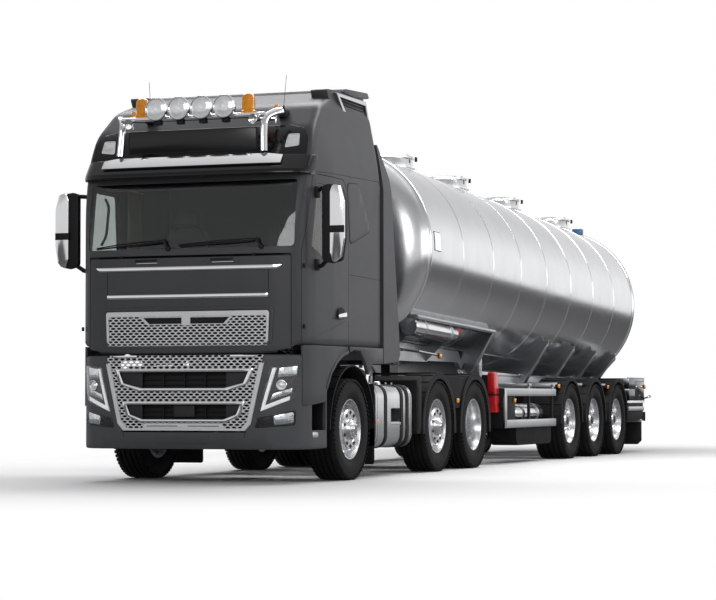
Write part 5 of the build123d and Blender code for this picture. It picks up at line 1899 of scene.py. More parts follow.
CAB_PLAN = [
    (0.600, 0.060), (0.900, 0.085), (1.080, 0.140), (1.170, 0.225), (1.205, 0.420), (1.245, 0.850),
    (1.245, 2.250),
]
BUMPER_PLAN = [(0.500, 0.0), (0.850, 0.030), (1.040, 0.100), (1.140, 0.200), (1.190, 0.340), (1.215, 0.720)]

CAB_FORM = CrossedForm(
    side=tight(
        sy(
            [
                (0.060, 1.240),
                (0.060, 1.900),
                (0.080, 2.250),
                (0.255, 2.930),
                (0.330, 3.160),
                (0.440, 3.420),
                (0.760, 3.700),
                (1.300, 3.885),
                (2.140, 3.980),
                (2.250, 3.900),
                (2.250, 1.320),
                (0.185, 1.320),
                (0.185, 1.240),
            ]
        ),
        {0, 10, 11, 12},
        0.03,
    ),
    plan=tight(
        mirrored_outline([(x, at(s)) for x, s in CAB_PLAN]),
        {6, 7},
    ),
    front=mirrored_outline(
        [(1.245, 0.0), (1.245, 2.980), (1.215, 3.180), (1.120, 3.680), (1.060, 3.860), (0.900, 4.000)]
    ),
)

BUMPER_FORM = CrossedForm(
    side=tight(
        sy(
            [(0.060, 0.330), (0.008, 0.430), (0.000, 0.900), (0.020, 1.234), (0.720, 1.234), (0.720, 0.330)]
        ),
        {0, 3, 4, 5}, 0.03,
    ),
    plan=tight(mirrored_outline([(x, at(s)) for x, s in BUMPER_PLAN]), {5, 6}),
    front=None,
    soft=0.03,
    bend=0.25,
    core_low=(-0.7, at(0.35), 0.6),
    core_high=(0.7, at(0.45), 1.0),
    flank_floor=0.6,
)

DOOR_OUTLINE = [
    (0.205, 1.326),
    (0.205, 2.230),
    (0.370, 2.955),
    (0.420, 2.975),
    (1.110, 2.975),
    (1.195, 2.900),
    (1.255, 2.300),
    (1.255, 1.326),
]
DOOR_WINDOW = [(0.330, 2.260), (0.460, 2.890), (1.010, 2.890), (1.065, 2.200), (0.700, 2.130)]
SIDE_SIGNS = (("left", 1), ("right", -1))


@dataclass
class CabBody:
    """The cab's painted panels: shell, doors, front flap and side fairings."""

    wall: float = 0.050
    gap: float = 0.006
    flap_low: float = 1.246
    flap_high: float = 2.176
    flap_half: float = 1.060
    glass_half: float = 1.090
    reach: tuple[float, float] = (1.05, 1.30)

    def build(self) -> None:
        """Builds the panels from one hollow form, so that they meet in even gaps."""
        hollow = CAB_FORM.skin("hollow", 0.034)
        cut(hollow, CAB_FORM.skin("inside", 0.09, self.wall))
        self._doors(hollow)
        self._flap(hollow)
        self._shell(hollow)
        self._fairings()

    def _grown(self, amount: float) -> list[tuple[float, float]]:
        """Returns the door's outline, grown by an amount, as y and z."""
        middle = (0.730, 2.150)
        grown = []
        for station, z in DOOR_OUTLINE:
            grown.append(
                (
                    station + math.copysign(amount, station - middle[0]),
                    z + math.copysign(amount, z - middle[1]),
                )
            )
        return rounded(sy(grown), 0.05, 4)

    def _shell(self, hollow: bpy.types.Object) -> None:
        """Cuts the shell round the doors, the windscreen and the flap, and adds a dark panel behind the flap
        and the side seams.
        """
        for sign in (-1, 1):
            depth = sided(sign, *self.reach)
            cut(hollow, prism(self._grown(self.gap), Facing.SIDE, depth))
        screen = rounded(
            [
                (self.glass_half, 2.265), (self.glass_half, 2.920), (-self.glass_half, 2.920),
                (-self.glass_half, 2.265),
            ],
            0.05,
        )
        cut(hollow, prism(screen, Facing.FRONT, (at(-0.1), at(0.33))))
        room = (self.flap_half + self.gap, self.flap_low - 0.1, self.flap_high + 0.024)
        opening = [(room[0], room[1]), (room[0], room[2]), (-room[0], room[2]), (-room[0], room[1])]
        cut(hollow, prism(opening, Facing.FRONT, (at(-0.1), at(0.166))))
        piece = Piece("painted_cab_shell", "tractor", "cab_paint")
        piece.take(hollow, CAB_PAINT)
        piece.block((-1.06, at(0.170), 1.32), (1.06, at(0.215), 2.255), FRAME_PAINT, 0.002)
        self._seams(piece)
        piece.build("cab_shell", crease=24)

    def _seams(self, piece: Piece) -> None:
        """Adds the thin dark joints of the side panels and the blanked rear side window, on both sides."""
        seams = Piece("seams", "tractor", "cab_paint")
        runs = [
            [(0.40, 2.998), (0.75, 3.012), (1.30, 3.025), (2.245, 3.050)],
            [(1.275, 2.045), (1.70, 2.040), (2.245, 2.030)],
            [(2.160, 1.33), (2.160, 3.04)],
        ]
        for run in runs:
            for (s1, z1), (s2, z2) in zip(run, run[1:]):
                along = Vector((s2 - s1, z2 - z1)).normalized() * 0.0025
                across = Vector((-along.y, along.x))
                corners = [
                    (s1 + across.x, z1 + across.y), (s2 + across.x, z2 + across.y),
                    (s2 - across.x, z2 - across.y), (s1 - across.x, z1 - across.y),
                ]
                seams.plate(sy(corners), Facing.SIDE, (-0.004, 0.0012), MOULDED_BLACK, 0)
        blank = [
            (1.215, 2.960), (1.500, 2.975), (1.570, 2.945), (1.880, 2.560), (1.860, 2.500), (1.330, 2.352),
            (1.290, 2.370),
        ]
        outer = rounded(sy(blank), 0.06)
        inner = scaled(outer, (at(1.50), 2.67), 0.975, 0.975)
        seams.plate(outer, Facing.SIDE, (-0.004, 0.0015), MOULDED_BLACK, 0, hole=inner)
        seams.plate(inner, Facing.SIDE, (-0.004, 0.004), CAB_PAINT, 0.0025)
        CAB_FORM.lay_flank(seams)
        # sill over the wheel arch and the raised swage above it
        sill = [
            (1.262, 1.330), (1.262, 1.272), (1.400, 1.298), (1.560, 1.292), (1.700, 1.190), (1.815, 1.055),
            (1.860, 1.100), (1.920, 1.165), (2.240, 1.172), (2.240, 1.330),
        ]
        seams.plate(sy(sill), Facing.SIDE, (1.205, 1.244), CAB_PAINT, 0.004)
        seams.mirrored()
        piece.join(seams)

    def _doors(self, hollow: bpy.types.Object) -> None:
        """Cuts both doors from the form, and adds their skirts, seals, handles and hinge knuckles."""
        for side, sign in SIDE_SIGNS:
            panel = doubled(hollow)
            depth = sided(sign, *self.reach)
            cut(panel, prism(self._grown(0.0), Facing.SIDE, depth), "INTERSECT")
            cut(panel, prism(rounded(sy(DOOR_WINDOW), 0.05), Facing.SIDE, depth))
            if sign < 0:
                panel.data.transform(Matrix.Diagonal((-1, 1, 1, 1)))
                panel.data.flip_normals()
            piece = Piece(f"painted_door_{side}", f"door_{side}", "cab_paint")
            piece.take(panel, CAB_PAINT)
            laid = len(piece.mesh.verts)
            frame_outer = rounded(sy(DOOR_WINDOW), 0.05)
            frame_inner = scaled(frame_outer, (at(0.70), 2.53), 0.93, 0.94)
            piece.plate(frame_outer, Facing.SIDE, (-0.018, -0.004), GLOSS_BLACK, 0.002, hole=frame_inner)
            CAB_FORM.lay_flank(piece, laid)
            laid = len(piece.mesh.verts)
            skirt = [
                (0.216, 1.326), (0.216, 0.742), (0.640, 0.782), (0.672, 0.830), (0.700, 0.930),
                (0.790, 1.060), (0.930, 1.165), (1.090, 1.235), (1.255, 1.272), (1.255, 1.326),
            ]
            piece.plate(rounded(sy(skirt), 0.02, 2), Facing.SIDE, (-0.022, 0.0), CAB_PAINT, 0.003)
            # swage that runs up towards the rear, and the lip over the wheel arch
            swage = [(0.212, 1.372), (1.252, 1.598), (1.252, 1.588), (0.212, 1.362)]
            piece.plate(sy(swage), Facing.SIDE, (-0.003, 0.0035), CAB_PAINT, 0.003)
            lip = [
                (0.69, 0.90), (0.79, 1.05), (0.93, 1.155), (1.09, 1.225), (1.253, 1.262), (1.253, 1.292),
                (1.08, 1.256), (0.915, 1.185), (0.765, 1.075), (0.66, 0.92),
            ]
            piece.plate(sy(lip), Facing.SIDE, (-0.004, 0.007), CAB_PAINT, 0.004)
            CAB_FORM.lay_flank(piece, laid)
            self._handle(piece)
            for z in (1.500, 2.080):
                piece.lathe(
                    [(-0.020, 0.0), (-0.020, 0.013), (0.020, 0.013), (0.020, 0.0)], MOULDED_BLACK,
                    (1.172, at(0.200), z), (0, 0, 1), 16,
                )
            piece.build(f"door_{side}", crease=24, move=Matrix.Diagonal((sign, 1, 1, 1)))

    def _handle(self, piece: Piece) -> None:
        """Adds a door's handle: a shallow dark recess, a bright grip and a black block at either end of it.
        """
        recess = rounded(
            [
                (at(0.925), 1.585), (at(0.925), 1.675), (at(1.00), 1.715), (at(1.105), 1.690),
                (at(1.105), 1.600),
            ],
            0.03,
        )
        piece.plate(recess, Facing.SIDE, (1.2435, 1.2465), MOULDED_BLACK, 0.001)
        grip = rounded(
            [(at(0.905), 1.590), (at(0.905), 1.640), (at(1.115), 1.665), (at(1.115), 1.615)], 0.02,
        )
        piece.plate(grip, Facing.SIDE, (1.250, 1.268), CHROME, 0.006)
        piece.block((1.24, at(0.915), 1.60), (1.256, at(0.945), 1.635), MOULDED_BLACK)
        piece.block((1.24, at(1.080), 1.625), (1.256, at(1.110), 1.655), MOULDED_BLACK)

    def _flap(self, hollow: bpy.types.Object) -> None:
        """Cuts the front flap from the form and lays its bright strips, seams and recesses on it."""
        panel = doubled(hollow)
        face = [
            (self.flap_half, self.flap_low), (self.flap_half, self.flap_high),
            (-self.flap_half, self.flap_high), (-self.flap_half, self.flap_low),
        ]
        cut(panel, prism(rounded(face, 0.02), Facing.FRONT, (at(-0.1), at(0.160))), "INTERSECT")
        piece = Piece("painted_front_flap", "front_flap", "cab_paint")
        piece.take(panel, CAB_PAINT)
        laid = len(piece.mesh.verts)
        # bright strips with slanted ends
        for z, low_half, high_half in ((2.070, 0.960, 0.985), (1.800, 0.868, 0.850)):
            bar = [
                (low_half - 0.02, z - 0.021), (high_half, z + 0.021), (-high_half, z + 0.021),
                (-low_half + 0.02, z - 0.021),
            ]
            piece.plate(bar, Facing.FRONT, (-0.014, 0.004), CHROME, 0.005)
        # seams of the centre panel
        for x in (-0.850, 0.850):
            piece.plate(
                [(x - 0.003, 1.815), (x + 0.003, 1.815), (x + 0.003, 2.056), (x - 0.003, 2.056)],
                Facing.FRONT, (-0.0015, 0.004), MOULDED_BLACK, 0,
            )
        # grab recesses and their covers under the windscreen
        for left in (-0.600, 0.200):
            hood = rounded(
                [(left, 2.116), (left, 2.168), (left + 0.345, 2.171), (left + 0.345, 2.119)], 0.01,
            )
            piece.plate(hood, Facing.FRONT, (-0.007, 0.004), CAB_PAINT, 0.003)
            slot = [(left + 0.05, 2.140), (left + 0.05, 2.162), (left + 0.29, 2.165), (left + 0.29, 2.143)]
            piece.plate(slot, Facing.FRONT, (-0.0085, -0.002), MOULDED_BLACK, 0.001)
            line = [(left + 0.07, 2.122), (left + 0.07, 2.128), (left + 0.29, 2.130), (left + 0.29, 2.124)]
            piece.plate(line, Facing.FRONT, (-0.0095, -0.002), CHROME, 0.001)
        # painted surround of the upper grille
        outer = mirrored_outline([(0.880, 1.232), (0.905, 1.660), (0.870, 1.690)])
        inner = mirrored_outline([(0.852, 1.232), (0.868, 1.650), (0.850, 1.664)])
        piece.plate(outer, Facing.FRONT, (-0.010, 0.002), CAB_PAINT, 0.004, hole=inner)
        CAB_FORM.lay_front(piece, laid)
        for x in (-0.7, 0.7):
            piece.lathe(
                [(-0.020, 0.0), (-0.020, 0.012), (0.020, 0.012), (0.020, 0.0)], MOULDED_BLACK,
                (x, at(0.085), 2.191), (1, 0, 0), 12,
            )
        piece.build("front_flap", crease=24)

    def _fairings(self) -> None:
        """Builds the fairings that carry the cab's flanks back towards the tank."""
        front = rounded(CAB_FORM.front, 0.4)
        inset = scaled(front, (0.0, 2.5), 0.965, 0.965)
        tunnel = Piece("tunnel", "tractor", "cab_paint")
        tunnel.plate(front, Facing.FRONT, (at(2.252), at(2.790)), CAB_PAINT, 0, hole=inset)
        shell = drawn(tunnel)
        side = rounded(
            sy(
                [
                    (2.2505, 1.172), (2.2505, 3.500), (2.480, 3.110), (2.560, 2.600), (2.770, 1.268),
                    (2.700, 1.200),
                ]
            ),
            0.03,
        )
        cut(shell, prism(side, Facing.SIDE, (-1.4, 1.4)), "INTERSECT")
        middle = [(-1.0, 1.0), (1.0, 1.0), (1.0, 4.2), (-1.0, 4.2)]
        cut(shell, prism(middle, Facing.FRONT, (at(2.1), at(2.9))))
        piece = Piece("painted_side_fairings", "tractor", "cab_paint")
        piece.take(shell, CAB_PAINT)
        for sign in (-1, 1):
            # rubber lip along the rear edge
            path = [
                (sign * 1.222, at(2.752), 1.25), (sign * 1.222, at(2.548), 2.58),
                (sign * 1.215, at(2.470), 3.08),
            ]
            piece.tube(path, 0.008, MOULDED_BLACK, 8)
            for z in (1.75, 2.40):
                piece.block((sign * 1.00, at(2.255), z), (sign * 1.19, at(2.30), z + 0.05), MOULDED_BLACK)
        piece.build("side_fairings", crease=30)


@dataclass
class CabGlass:
    """The windscreen and door windows, and what is seen through them."""

    pane: float = 0.006
    inset: float = 0.020

    def build(self) -> None:
        """Builds the panes and the cab's inside."""
        screen = Piece("curved_windscreen", "tractor", "window_glass")
        outline = rounded([(1.088, 2.267), (1.088, 2.918), (-1.088, 2.918), (-1.088, 2.267)], 0.05)
        screen.plate(
            outline, Facing.FRONT, (self.inset - 0.012, self.inset - 0.012 + self.pane), WINDOW_GLASS, 0,
        )
        CAB_FORM.lay_front(screen, 0, 0.05)
        screen.build("windscreen", crease=30)
        for side, sign in SIDE_SIGNS:
            pane = Piece(f"door_pane_{side}", f"door_{side}", "window_glass")
            window = rounded(
                sy([(0.333, 2.263), (0.462, 2.887), (1.007, 2.887), (1.062, 2.203), (0.700, 2.133)]), 0.05,
            )
            pane.plate(window, Facing.SIDE, (-self.inset - self.pane, -self.inset), WINDOW_GLASS, 0)
            CAB_FORM.lay_flank(pane, 0, 0.06)
            pane.build(f"door_glass_{side}", crease=30, move=Matrix.Diagonal((sign, 1, 1, 1)))
        self._inside()

    def _inside(self) -> None:
        """Builds the dashboard, the seats, the bunk, the curtains and the steering wheel."""
        piece = Piece("cab_furniture", "tractor", "cab_trim")
        deck = rounded(
            sy(
                [
                    (0.262, 2.020), (0.262, 2.215), (0.330, 2.245), (0.520, 2.215), (0.570, 2.120),
                    (0.560, 1.905),
                ]
            ),
            0.05,
        )
        piece.plate(deck, Facing.SIDE, (-1.03, 1.03), CAB_TRIM, 0.01)
        hood = rounded(sy([(0.40, 2.19), (0.42, 2.262), (0.60, 2.240), (0.62, 2.19)]), 0.03)
        piece.plate(hood, Facing.SIDE, (0.33, 0.83), CAB_TRIM, 0.02)
        for x in (-0.58, 0.58):
            base = rounded(sy([(0.98, 1.38), (1.02, 1.730), (1.33, 1.730), (1.36, 1.38)]), 0.03)
            piece.plate(base, Facing.SIDE, (x - 0.17, x + 0.17), CAB_TRIM, 0.01)
        bunk = rounded(sy([(1.58, 1.372), (1.58, 1.740), (2.195, 1.740), (2.195, 1.372)]), 0.02)
        piece.plate(bunk, Facing.SIDE, (-1.145, 1.145), CAB_TRIM, 0.02)
        self._wheel(piece)
        for x in (-0.975, 0.975):
            piece.tube([(x, at(0.77), 2.910), (x, at(1.13), 2.910)], 0.009, FRAME_STEEL, 12)
        # sun blind roll and the grab handle by the windscreen
        piece.tube([(-1.0, at(0.34), 2.88), (1.0, at(0.34), 2.88)], 0.022, CAB_TRIM, 16)
        for sign in (-1, 1):
            grip = [
                (sign * 1.04, at(0.33), 2.33), (sign * 1.00, at(0.36), 2.42), (sign * 1.00, at(0.42), 2.72),
                (sign * 1.05, at(0.44), 2.80),
            ]
            piece.tube(smooth_path(grip, 0.06), 0.014, MOULDED_BLACK, 10)
        piece.build("cab_interior", crease=40)
        cushion = [(0.900, 1.735), (0.900, 1.850), (0.960, 1.895), (1.360, 1.865), (1.400, 1.740)]
        back = [
            (1.300, 1.880), (1.330, 2.450), (1.350, 2.560), (1.415, 2.560), (1.430, 2.300), (1.440, 1.880),
        ]
        head = [(1.325, 2.575), (1.325, 2.720), (1.360, 2.760), (1.415, 2.740), (1.415, 2.575)]
        for name, x in (("driver", 0.58), ("passenger", -0.58)):
            for part, outline, half in (
                ("seat", cushion, 0.25), ("back", back, 0.24), ("headrest", head, 0.13),
            ):
                self._pad(f"{name}_{part}", outline, x, half, (-0.5, 0.5) if half > 0.2 else ())
        self._pad(
            "bunk_mattress",
            [(1.59, 1.742), (1.59, 1.86), (1.62, 1.90), (2.185, 1.90), (2.185, 1.742)], 0.0, 1.13,
            (-0.7, 0.7),
        )
        for side, sign in SIDE_SIGNS:
            self._curtain(side, sign * 0.975)

    def _pad(
        self, name: str, outline: list[tuple[float, float]], x: float, half: float,
        seams: tuple[float, ...],
    ) -> None:
        """Builds one stuffed piece, which swells between its ends and pulls in at its sewn channels.

        Args:
            name: The piece's name.
            outline: Its side outline, as (station, height) corners.
            x: Where its middle is.
            half: Half its width.
            seams: Where its channels are, as parts of the half width.
        """
        section = rounded(sy(outline), 0.04)
        base = min(z for _, z in section)
        middle = sum(y for y, _ in section) / len(section)
        stops = np.linspace(-1, 1, 41)
        points: list[Point] = []
        for t in stops:
            swell = 0.72 + 0.28 * math.sqrt(max(0.0, 1 - abs(t) ** 5))
            swell -= sum(0.045 * math.exp(-(((t - seam) / 0.035) ** 2)) for seam in seams)
            points += [
                (x + half * t, middle + (y - middle) * swell, base + (z - base) * swell)
                for y, z in section
            ]
        piece = Piece(name, "tractor", "cab_trim")
        piece.shape(points, lofted(len(points), len(section)), CAB_TRIM)
        piece.build(crease=60)

    def _curtain(self, side: str, x: float) -> None:
        """Hangs one gathered side curtain from its rail; its folds deepen towards the hem."""
        waves, across, down = 8, 112, 12
        low, high, start, span = 2.100, 2.905, 0.800, 0.300
        points, faces = [], []
        for row in range(down + 1):
            drop = row / down
            for i in range(across + 1):
                turn = 2 * math.pi * waves * i / across
                depth = (0.015 + 0.008 * drop) * (1 + 0.15 * math.sin(turn / 3.1 + 1.2))
                points.append(
                    (
                        x + depth * math.sin(turn + 0.3 * drop), at(start + span * i / across),
                        high + (low - high) * drop,
                    )
                )
        for row in range(down):
            for i in range(across):
                corner = row * (across + 1) + i
                faces.append((corner, corner + 1, corner + across + 2, corner + across + 1))
        cloth = loose(f"curtain_{side}", points, faces)
        cloth.data.materials.append(CURTAIN_CLOTH.material())
        cloth.data.set_sharp_from_angle(angle=math.pi)
        solid = cloth.modifiers.new("cloth thickness", "SOLIDIFY")
        solid.thickness = 0.0016
        place(cloth, "tractor", "cab_trim")

    def _wheel(self, piece: Piece) -> None:
        """Adds the steering wheel, its spokes and its column."""
        hub = Vector((0.580, at(0.640), 2.160))
        axis = Vector((0, 0.6, 0.8))
        side, up = Vector((1, 0, 0)), Vector((0, 0.8, -0.6))
        rim = [
            hub + axis * 0.012 + side * (0.21 * math.cos(a)) + up * (0.21 * math.sin(a))
            for a in np.linspace(0, 2 * math.pi, 41)
        ]
        piece.tube(rim, 0.014, MOULDED_BLACK, 10)
        for angle in (0.25, math.pi - 0.25, math.pi * 1.5):
            tip = hub + axis * 0.008 + side * (0.205 * math.cos(angle)) + up * (0.205 * math.sin(angle))
            piece.tube([hub, tip], 0.018, MOULDED_BLACK, 8, 0.5)
        piece.lathe(
            [(-0.02, 0.0), (-0.02, 0.06), (0.015, 0.055), (0.022, 0.03), (0.022, 0.0)], MOULDED_BLACK,
            tuple(hub), tuple(axis), 24,
        )
        piece.tube([hub - axis * 0.18, hub], 0.025, MOULDED_BLACK, 12)


# ---------------------------------------------------------------- front, roof bar and mirrors
@dataclass
class Bumper:
    """The painted bumper with its headlamps, fog lamps, entry steps and lower grille."""

    wall: float = 0.045
    pitch: float = 0.064
    row_height: float = 0.0262

    def build(self) -> None:
        """Builds the bumper and what is let into it."""
        self._shell()
        self._lamps()
        self._grille()

    def _shell(self) -> None:
        """Cuts the bumper round its grille, lamps and step wells, and adds the steps."""
        shell = BUMPER_FORM.skin("bumper", 0.028)
        cut(shell, BUMPER_FORM.skin("room", 0.05, self.wall))
        cut(
            shell,
            prism(
                [(-1.155, at(0.30)), (1.155, at(0.30)), (1.155, at(0.9)), (-1.155, at(0.9))], Facing.PLAN,
                (0.2, 1.3),
            ),
        )
        cut(
            shell,
            prism(
                [(0.838, 1.30), (0.650, 0.492), (-0.650, 0.492), (-0.838, 1.30)], Facing.FRONT,
                (at(-0.1), at(0.25)),
            ),
        )
        for sign in (-1, 1):
            lamp = [(0.898, 1.118), (1.130, 1.138), (1.112, 0.930), (1.084, 0.798), (0.778, 0.680)]
            cut(shell, prism([(sign * x, z) for x, z in lamp], Facing.FRONT, (at(-0.1), at(0.30))))
            fog = rounded([(0.760, 0.628), (1.105, 0.705), (1.100, 0.560), (0.735, 0.532)], 0.02)
            cut(shell, prism([(sign * x, z) for x, z in fog], Facing.FRONT, (at(-0.1), at(0.30))))
            well = prism(
                [(at(0.355), 0.510), (at(0.355), 1.30), (at(0.668), 1.30), (at(0.668), 0.510)], Facing.SIDE,
                sided(sign, 1.02, 1.30),
            )
            cut(shell, well)
        tow = Piece("drill", "tractor", "cab_paint")
        tow.lathe([(0.0, 0.020), (0.3, 0.020)], CAB_PAINT, (0, at(-0.1), 0.45), (0, 1, 0), 24)
        cut(shell, drawn(tow))
        piece = Piece("painted_bumper", "tractor", "cab_paint")
        piece.take(shell, BUMPER_PAINT)
        laid = len(piece.mesh.verts)
        # blank number plate, seams of the centre section and the tow eye's cover
        piece.plate(
            rounded([(-0.265, 0.386), (-0.265, 0.482), (0.265, 0.482), (0.265, 0.386)], 0.01), Facing.FRONT,
            (-0.006, 0.004), BUMPER_PAINT, 0.003,
        )
        for sign in (-1, 1):
            seam = [
                (sign * 0.640, 0.488), (sign * 0.646, 0.488), (sign * 0.603, 0.340), (sign * 0.597, 0.340),
            ]
            piece.plate(seam, Facing.FRONT, (-0.0012, 0.004), MOULDED_BLACK, 0)
            top = [
                (sign * 0.850, 1.150), (sign * 0.856, 1.150), (sign * 0.872, 1.226), (sign * 0.866, 1.226),
            ]
            piece.plate(top, Facing.FRONT, (-0.0012, 0.004), MOULDED_BLACK, 0)
        BUMPER_FORM.lay_front(piece, laid)
        for sign in (-1, 1):
            x_in, x_out = sign * 1.010, sign * 1.188
            piece.block((sign * 1.000, at(0.345), 0.40), (sign * 1.010, at(0.700), 1.222), MOULDED_BLACK)
            piece.block((x_in, at(0.365), 0.462), (x_out, at(0.660), 0.478), MOULDED_BLACK)
            piece.block(
                (sign * 1.105, at(0.372), 0.440), (sign * 1.200, at(0.655), 0.492), BRIGHT_ALUMINIUM, 0.006,
            )
            for i in range(9):
                y = at(0.388 + i * 0.031)
                piece.block(
                    (sign * 1.110, y, 0.489), (sign * 1.198, y + 0.012, 0.496), BRIGHT_ALUMINIUM, 0.002,
                )
            piece.block((x_in, at(0.372), 0.862), (sign * 1.160, at(0.655), 0.888), BRIGHT_ALUMINIUM, 0.005)
            piece.block((sign * 1.014, at(0.352), 0.500), (sign * 1.150, at(0.360), 1.230), MOULDED_BLACK)
            piece.block((sign * 1.014, at(0.664), 0.500), (sign * 1.180, at(0.672), 1.230), MOULDED_BLACK)
        piece.lathe(
            [(0.0, 0.0), (0.0, 0.034), (0.006, 0.034), (0.012, 0.026), (0.012, 0.0)], MOULDED_BLACK,
            (0.0, at(0.125), 0.45), (0, 1, 0), 24,
        )
        piece.build("front_bumper", crease=26)

    def _lamps(self) -> None:
        """Builds both headlamps: smoked housing, light strips, projector, reflectors and the clear cover."""
        piece = Piece("headlamp_units", "tractor", "lamp_plastic")
        recess = 0.055
        housing = [(0.890, 1.122), (1.135, 1.142), (1.116, 0.930), (1.088, 0.794), (0.768, 0.674)]
        piece.plate(housing, Facing.FRONT, (recess, recess + 0.01), MOULDED_BLACK, 0.002)
        strip = [
            (0.908, 1.108), (0.942, 1.108), (0.838, 0.750), (1.056, 0.838), (1.054, 0.800), (0.792, 0.692),
        ]
        piece.plate(strip, Facing.FRONT, (-0.002, 0.018), WHITE_DIFFUSER, 0.004)
        top = [(0.960, 1.106), (1.112, 1.126), (1.104, 1.036), (0.940, 1.012)]
        piece.plate(top, Facing.FRONT, (0.028, 0.045), LAMP_MIRROR, 0.006)
        low = [(0.900, 0.860), (1.070, 0.916), (1.066, 0.864), (0.880, 0.800)]
        piece.plate(low, Facing.FRONT, (0.026, 0.045), LAMP_MIRROR, 0.006)
        fog_back = rounded([(0.756, 0.633), (1.108, 0.710), (1.103, 0.556), (0.731, 0.527)], 0.02)
        piece.plate(fog_back, Facing.FRONT, (0.040, 0.050), MOULDED_BLACK, 0.002)
        fog = rounded([(0.910, 0.650), (1.085, 0.690), (1.082, 0.580), (0.915, 0.560)], 0.02)
        piece.plate(fog, Facing.FRONT, (0.015, 0.038), LAMP_MIRROR, 0.008)
        BUMPER_FORM.lay_front(piece, 0, 0.05)
        cover = len(piece.mesh.verts)
        piece.plate(
            [(0.892, 1.120), (1.132, 1.140), (1.114, 0.930), (1.086, 0.797), (0.773, 0.678)], Facing.FRONT,
            (-0.0035, 0.0), CLEAR_LENS, 0,
        )
        piece.plate(
            rounded([(0.762, 0.629), (1.103, 0.704), (1.098, 0.561), (0.737, 0.533)], 0.02), Facing.FRONT,
            (0.002, 0.005), CLEAR_LENS, 0,
        )
        BUMPER_FORM.lay_front(piece, cover, 0.05)
        spot = (0.992, at(0.070), 0.942)
        look = (0.25, -1.0, 0.0)
        piece.lathe(
            [(-0.06, 0.0), (-0.06, 0.050), (0.0, 0.052), (0.004, 0.047), (-0.004, 0.040), (-0.006, 0.0)],
            CHROME, spot, look, 32,
        )
        piece.lathe(
            [(-0.02, 0.0), (-0.02, 0.037), (-0.004, 0.036), (0.008, 0.026), (0.014, 0.013), (0.016, 0.0)],
            LAMP_GLASS, spot, look, 32,
        )
        piece.mirrored()
        piece.build("headlamps", crease=30)

    def _grille(self) -> None:
        """Builds the lower grille: hexagonal sheet, two framed openings with slats, and a chin strip."""
        piece = Piece("lower_hexagon_grille", "tractor", "bright_chrome")
        outline = mirrored_outline([(0.826, 1.238), (0.808, 1.150), (0.680, 0.585), (0.622, 0.520)])
        upper = mirrored_outline([(0.700, 1.082), (0.650, 0.960), (0.450, 0.905)])
        lower = mirrored_outline([(0.618, 0.768), (0.578, 0.662), (0.440, 0.606)])
        sheet = HexSheet().make(28, 31, self.pitch, self.row_height, GRILLE_SILVER)
        sheet.data.transform(Matrix.Translation((-self.pitch / 4, -0.004, 0.880)))
        trim(sheet, outline, True)
        for opening in (upper, lower):
            grown = [
                (x * 1.02, z + (0.008 if z > (opening[0][1] + opening[2][1]) / 2 else -0.008))
                for x, z in opening
            ]
            trim(sheet, grown, False)
        piece.take(sheet, GRILLE_SILVER)
        edge = [(x * 1.026, z - 0.012 if z < 0.7 else z) for x, z in outline]
        shrunk = [(x * 0.972, z + 0.012 if z < 0.7 else z) for x, z in outline]
        piece.plate(edge, Facing.FRONT, (-0.012, 0.012), GRILLE_SILVER, 0.004, hole=shrunk)
        for opening in (upper, lower):
            middle = (0.0, (opening[0][1] + opening[2][1]) / 2)
            outer = scaled(opening, middle, 1.045, 1.24)
            inner = scaled(opening, middle, 0.965, 0.86)
            piece.plate(outer, Facing.FRONT, (-0.021, 0.010), CHROME, 0.010, hole=inner)
            back = scaled(opening, middle, 1.02, 1.1)
            piece.plate(back, Facing.FRONT, (0.060, 0.066), MOULDED_BLACK, 0)
            for row in range(3):
                z = opening[2][1] + (opening[0][1] - opening[2][1]) * (row + 0.9) / 3.6
                half = 0.60 if opening is upper else 0.53
                piece.block((-half, 0.030, z), (half, 0.048, z + 0.006), MOULDED_BLACK, 0.001)
            for x in (-0.22, 0.0, 0.22):
                piece.block(
                    (x - 0.004, 0.028, opening[2][1]), (x + 0.004, 0.052, opening[0][1]), MOULDED_BLACK,
                    0.001,
                )
            for sign in (-1, 1):
                cheek = [
                    (sign * opening[0][0] * 0.97, opening[0][1]),
                    (sign * opening[1][0] * 0.97, opening[1][1]), (sign * 0.44, opening[2][1]),
                    (sign * 0.44, opening[0][1]),
                ]
                piece.plate(cheek, Facing.FRONT, (0.014, 0.024), FRAME_PAINT, 0.002)
        # bars at the step between the upper and lower sheet
        for sign in (-1, 1):
            bar = [
                (sign * 0.490, 1.208), (sign * 0.490, 1.232), (sign * 0.758, 1.232), (sign * 0.745, 1.204),
            ]
            piece.plate(bar, Facing.FRONT, (-0.021, 0.000), CHROME, 0.006)
        # radar cover in the middle of the lower opening
        piece.block((-0.110, 0.018, 0.640), (0.110, 0.034, 0.752), FRAME_PAINT, 0.006)
        chin = [(0.430, 0.528), (0.410, 0.574), (-0.410, 0.574), (-0.430, 0.528)]
        piece.plate(chin, Facing.FRONT, (-0.014, 0.004), GRILLE_SILVER, 0.004)
        for sign in (-1, 1):
            slit = [
                (sign * 0.380, 0.549), (sign * 0.380, 0.556), (sign * 0.055, 0.556), (sign * 0.055, 0.549),
            ]
            piece.plate(slit, Facing.FRONT, (-0.0155, 0.004), MOULDED_BLACK, 0)
        BUMPER_FORM.lay_front(piece, 0, 0.08)
        piece.build("lower_grille", crease=30)


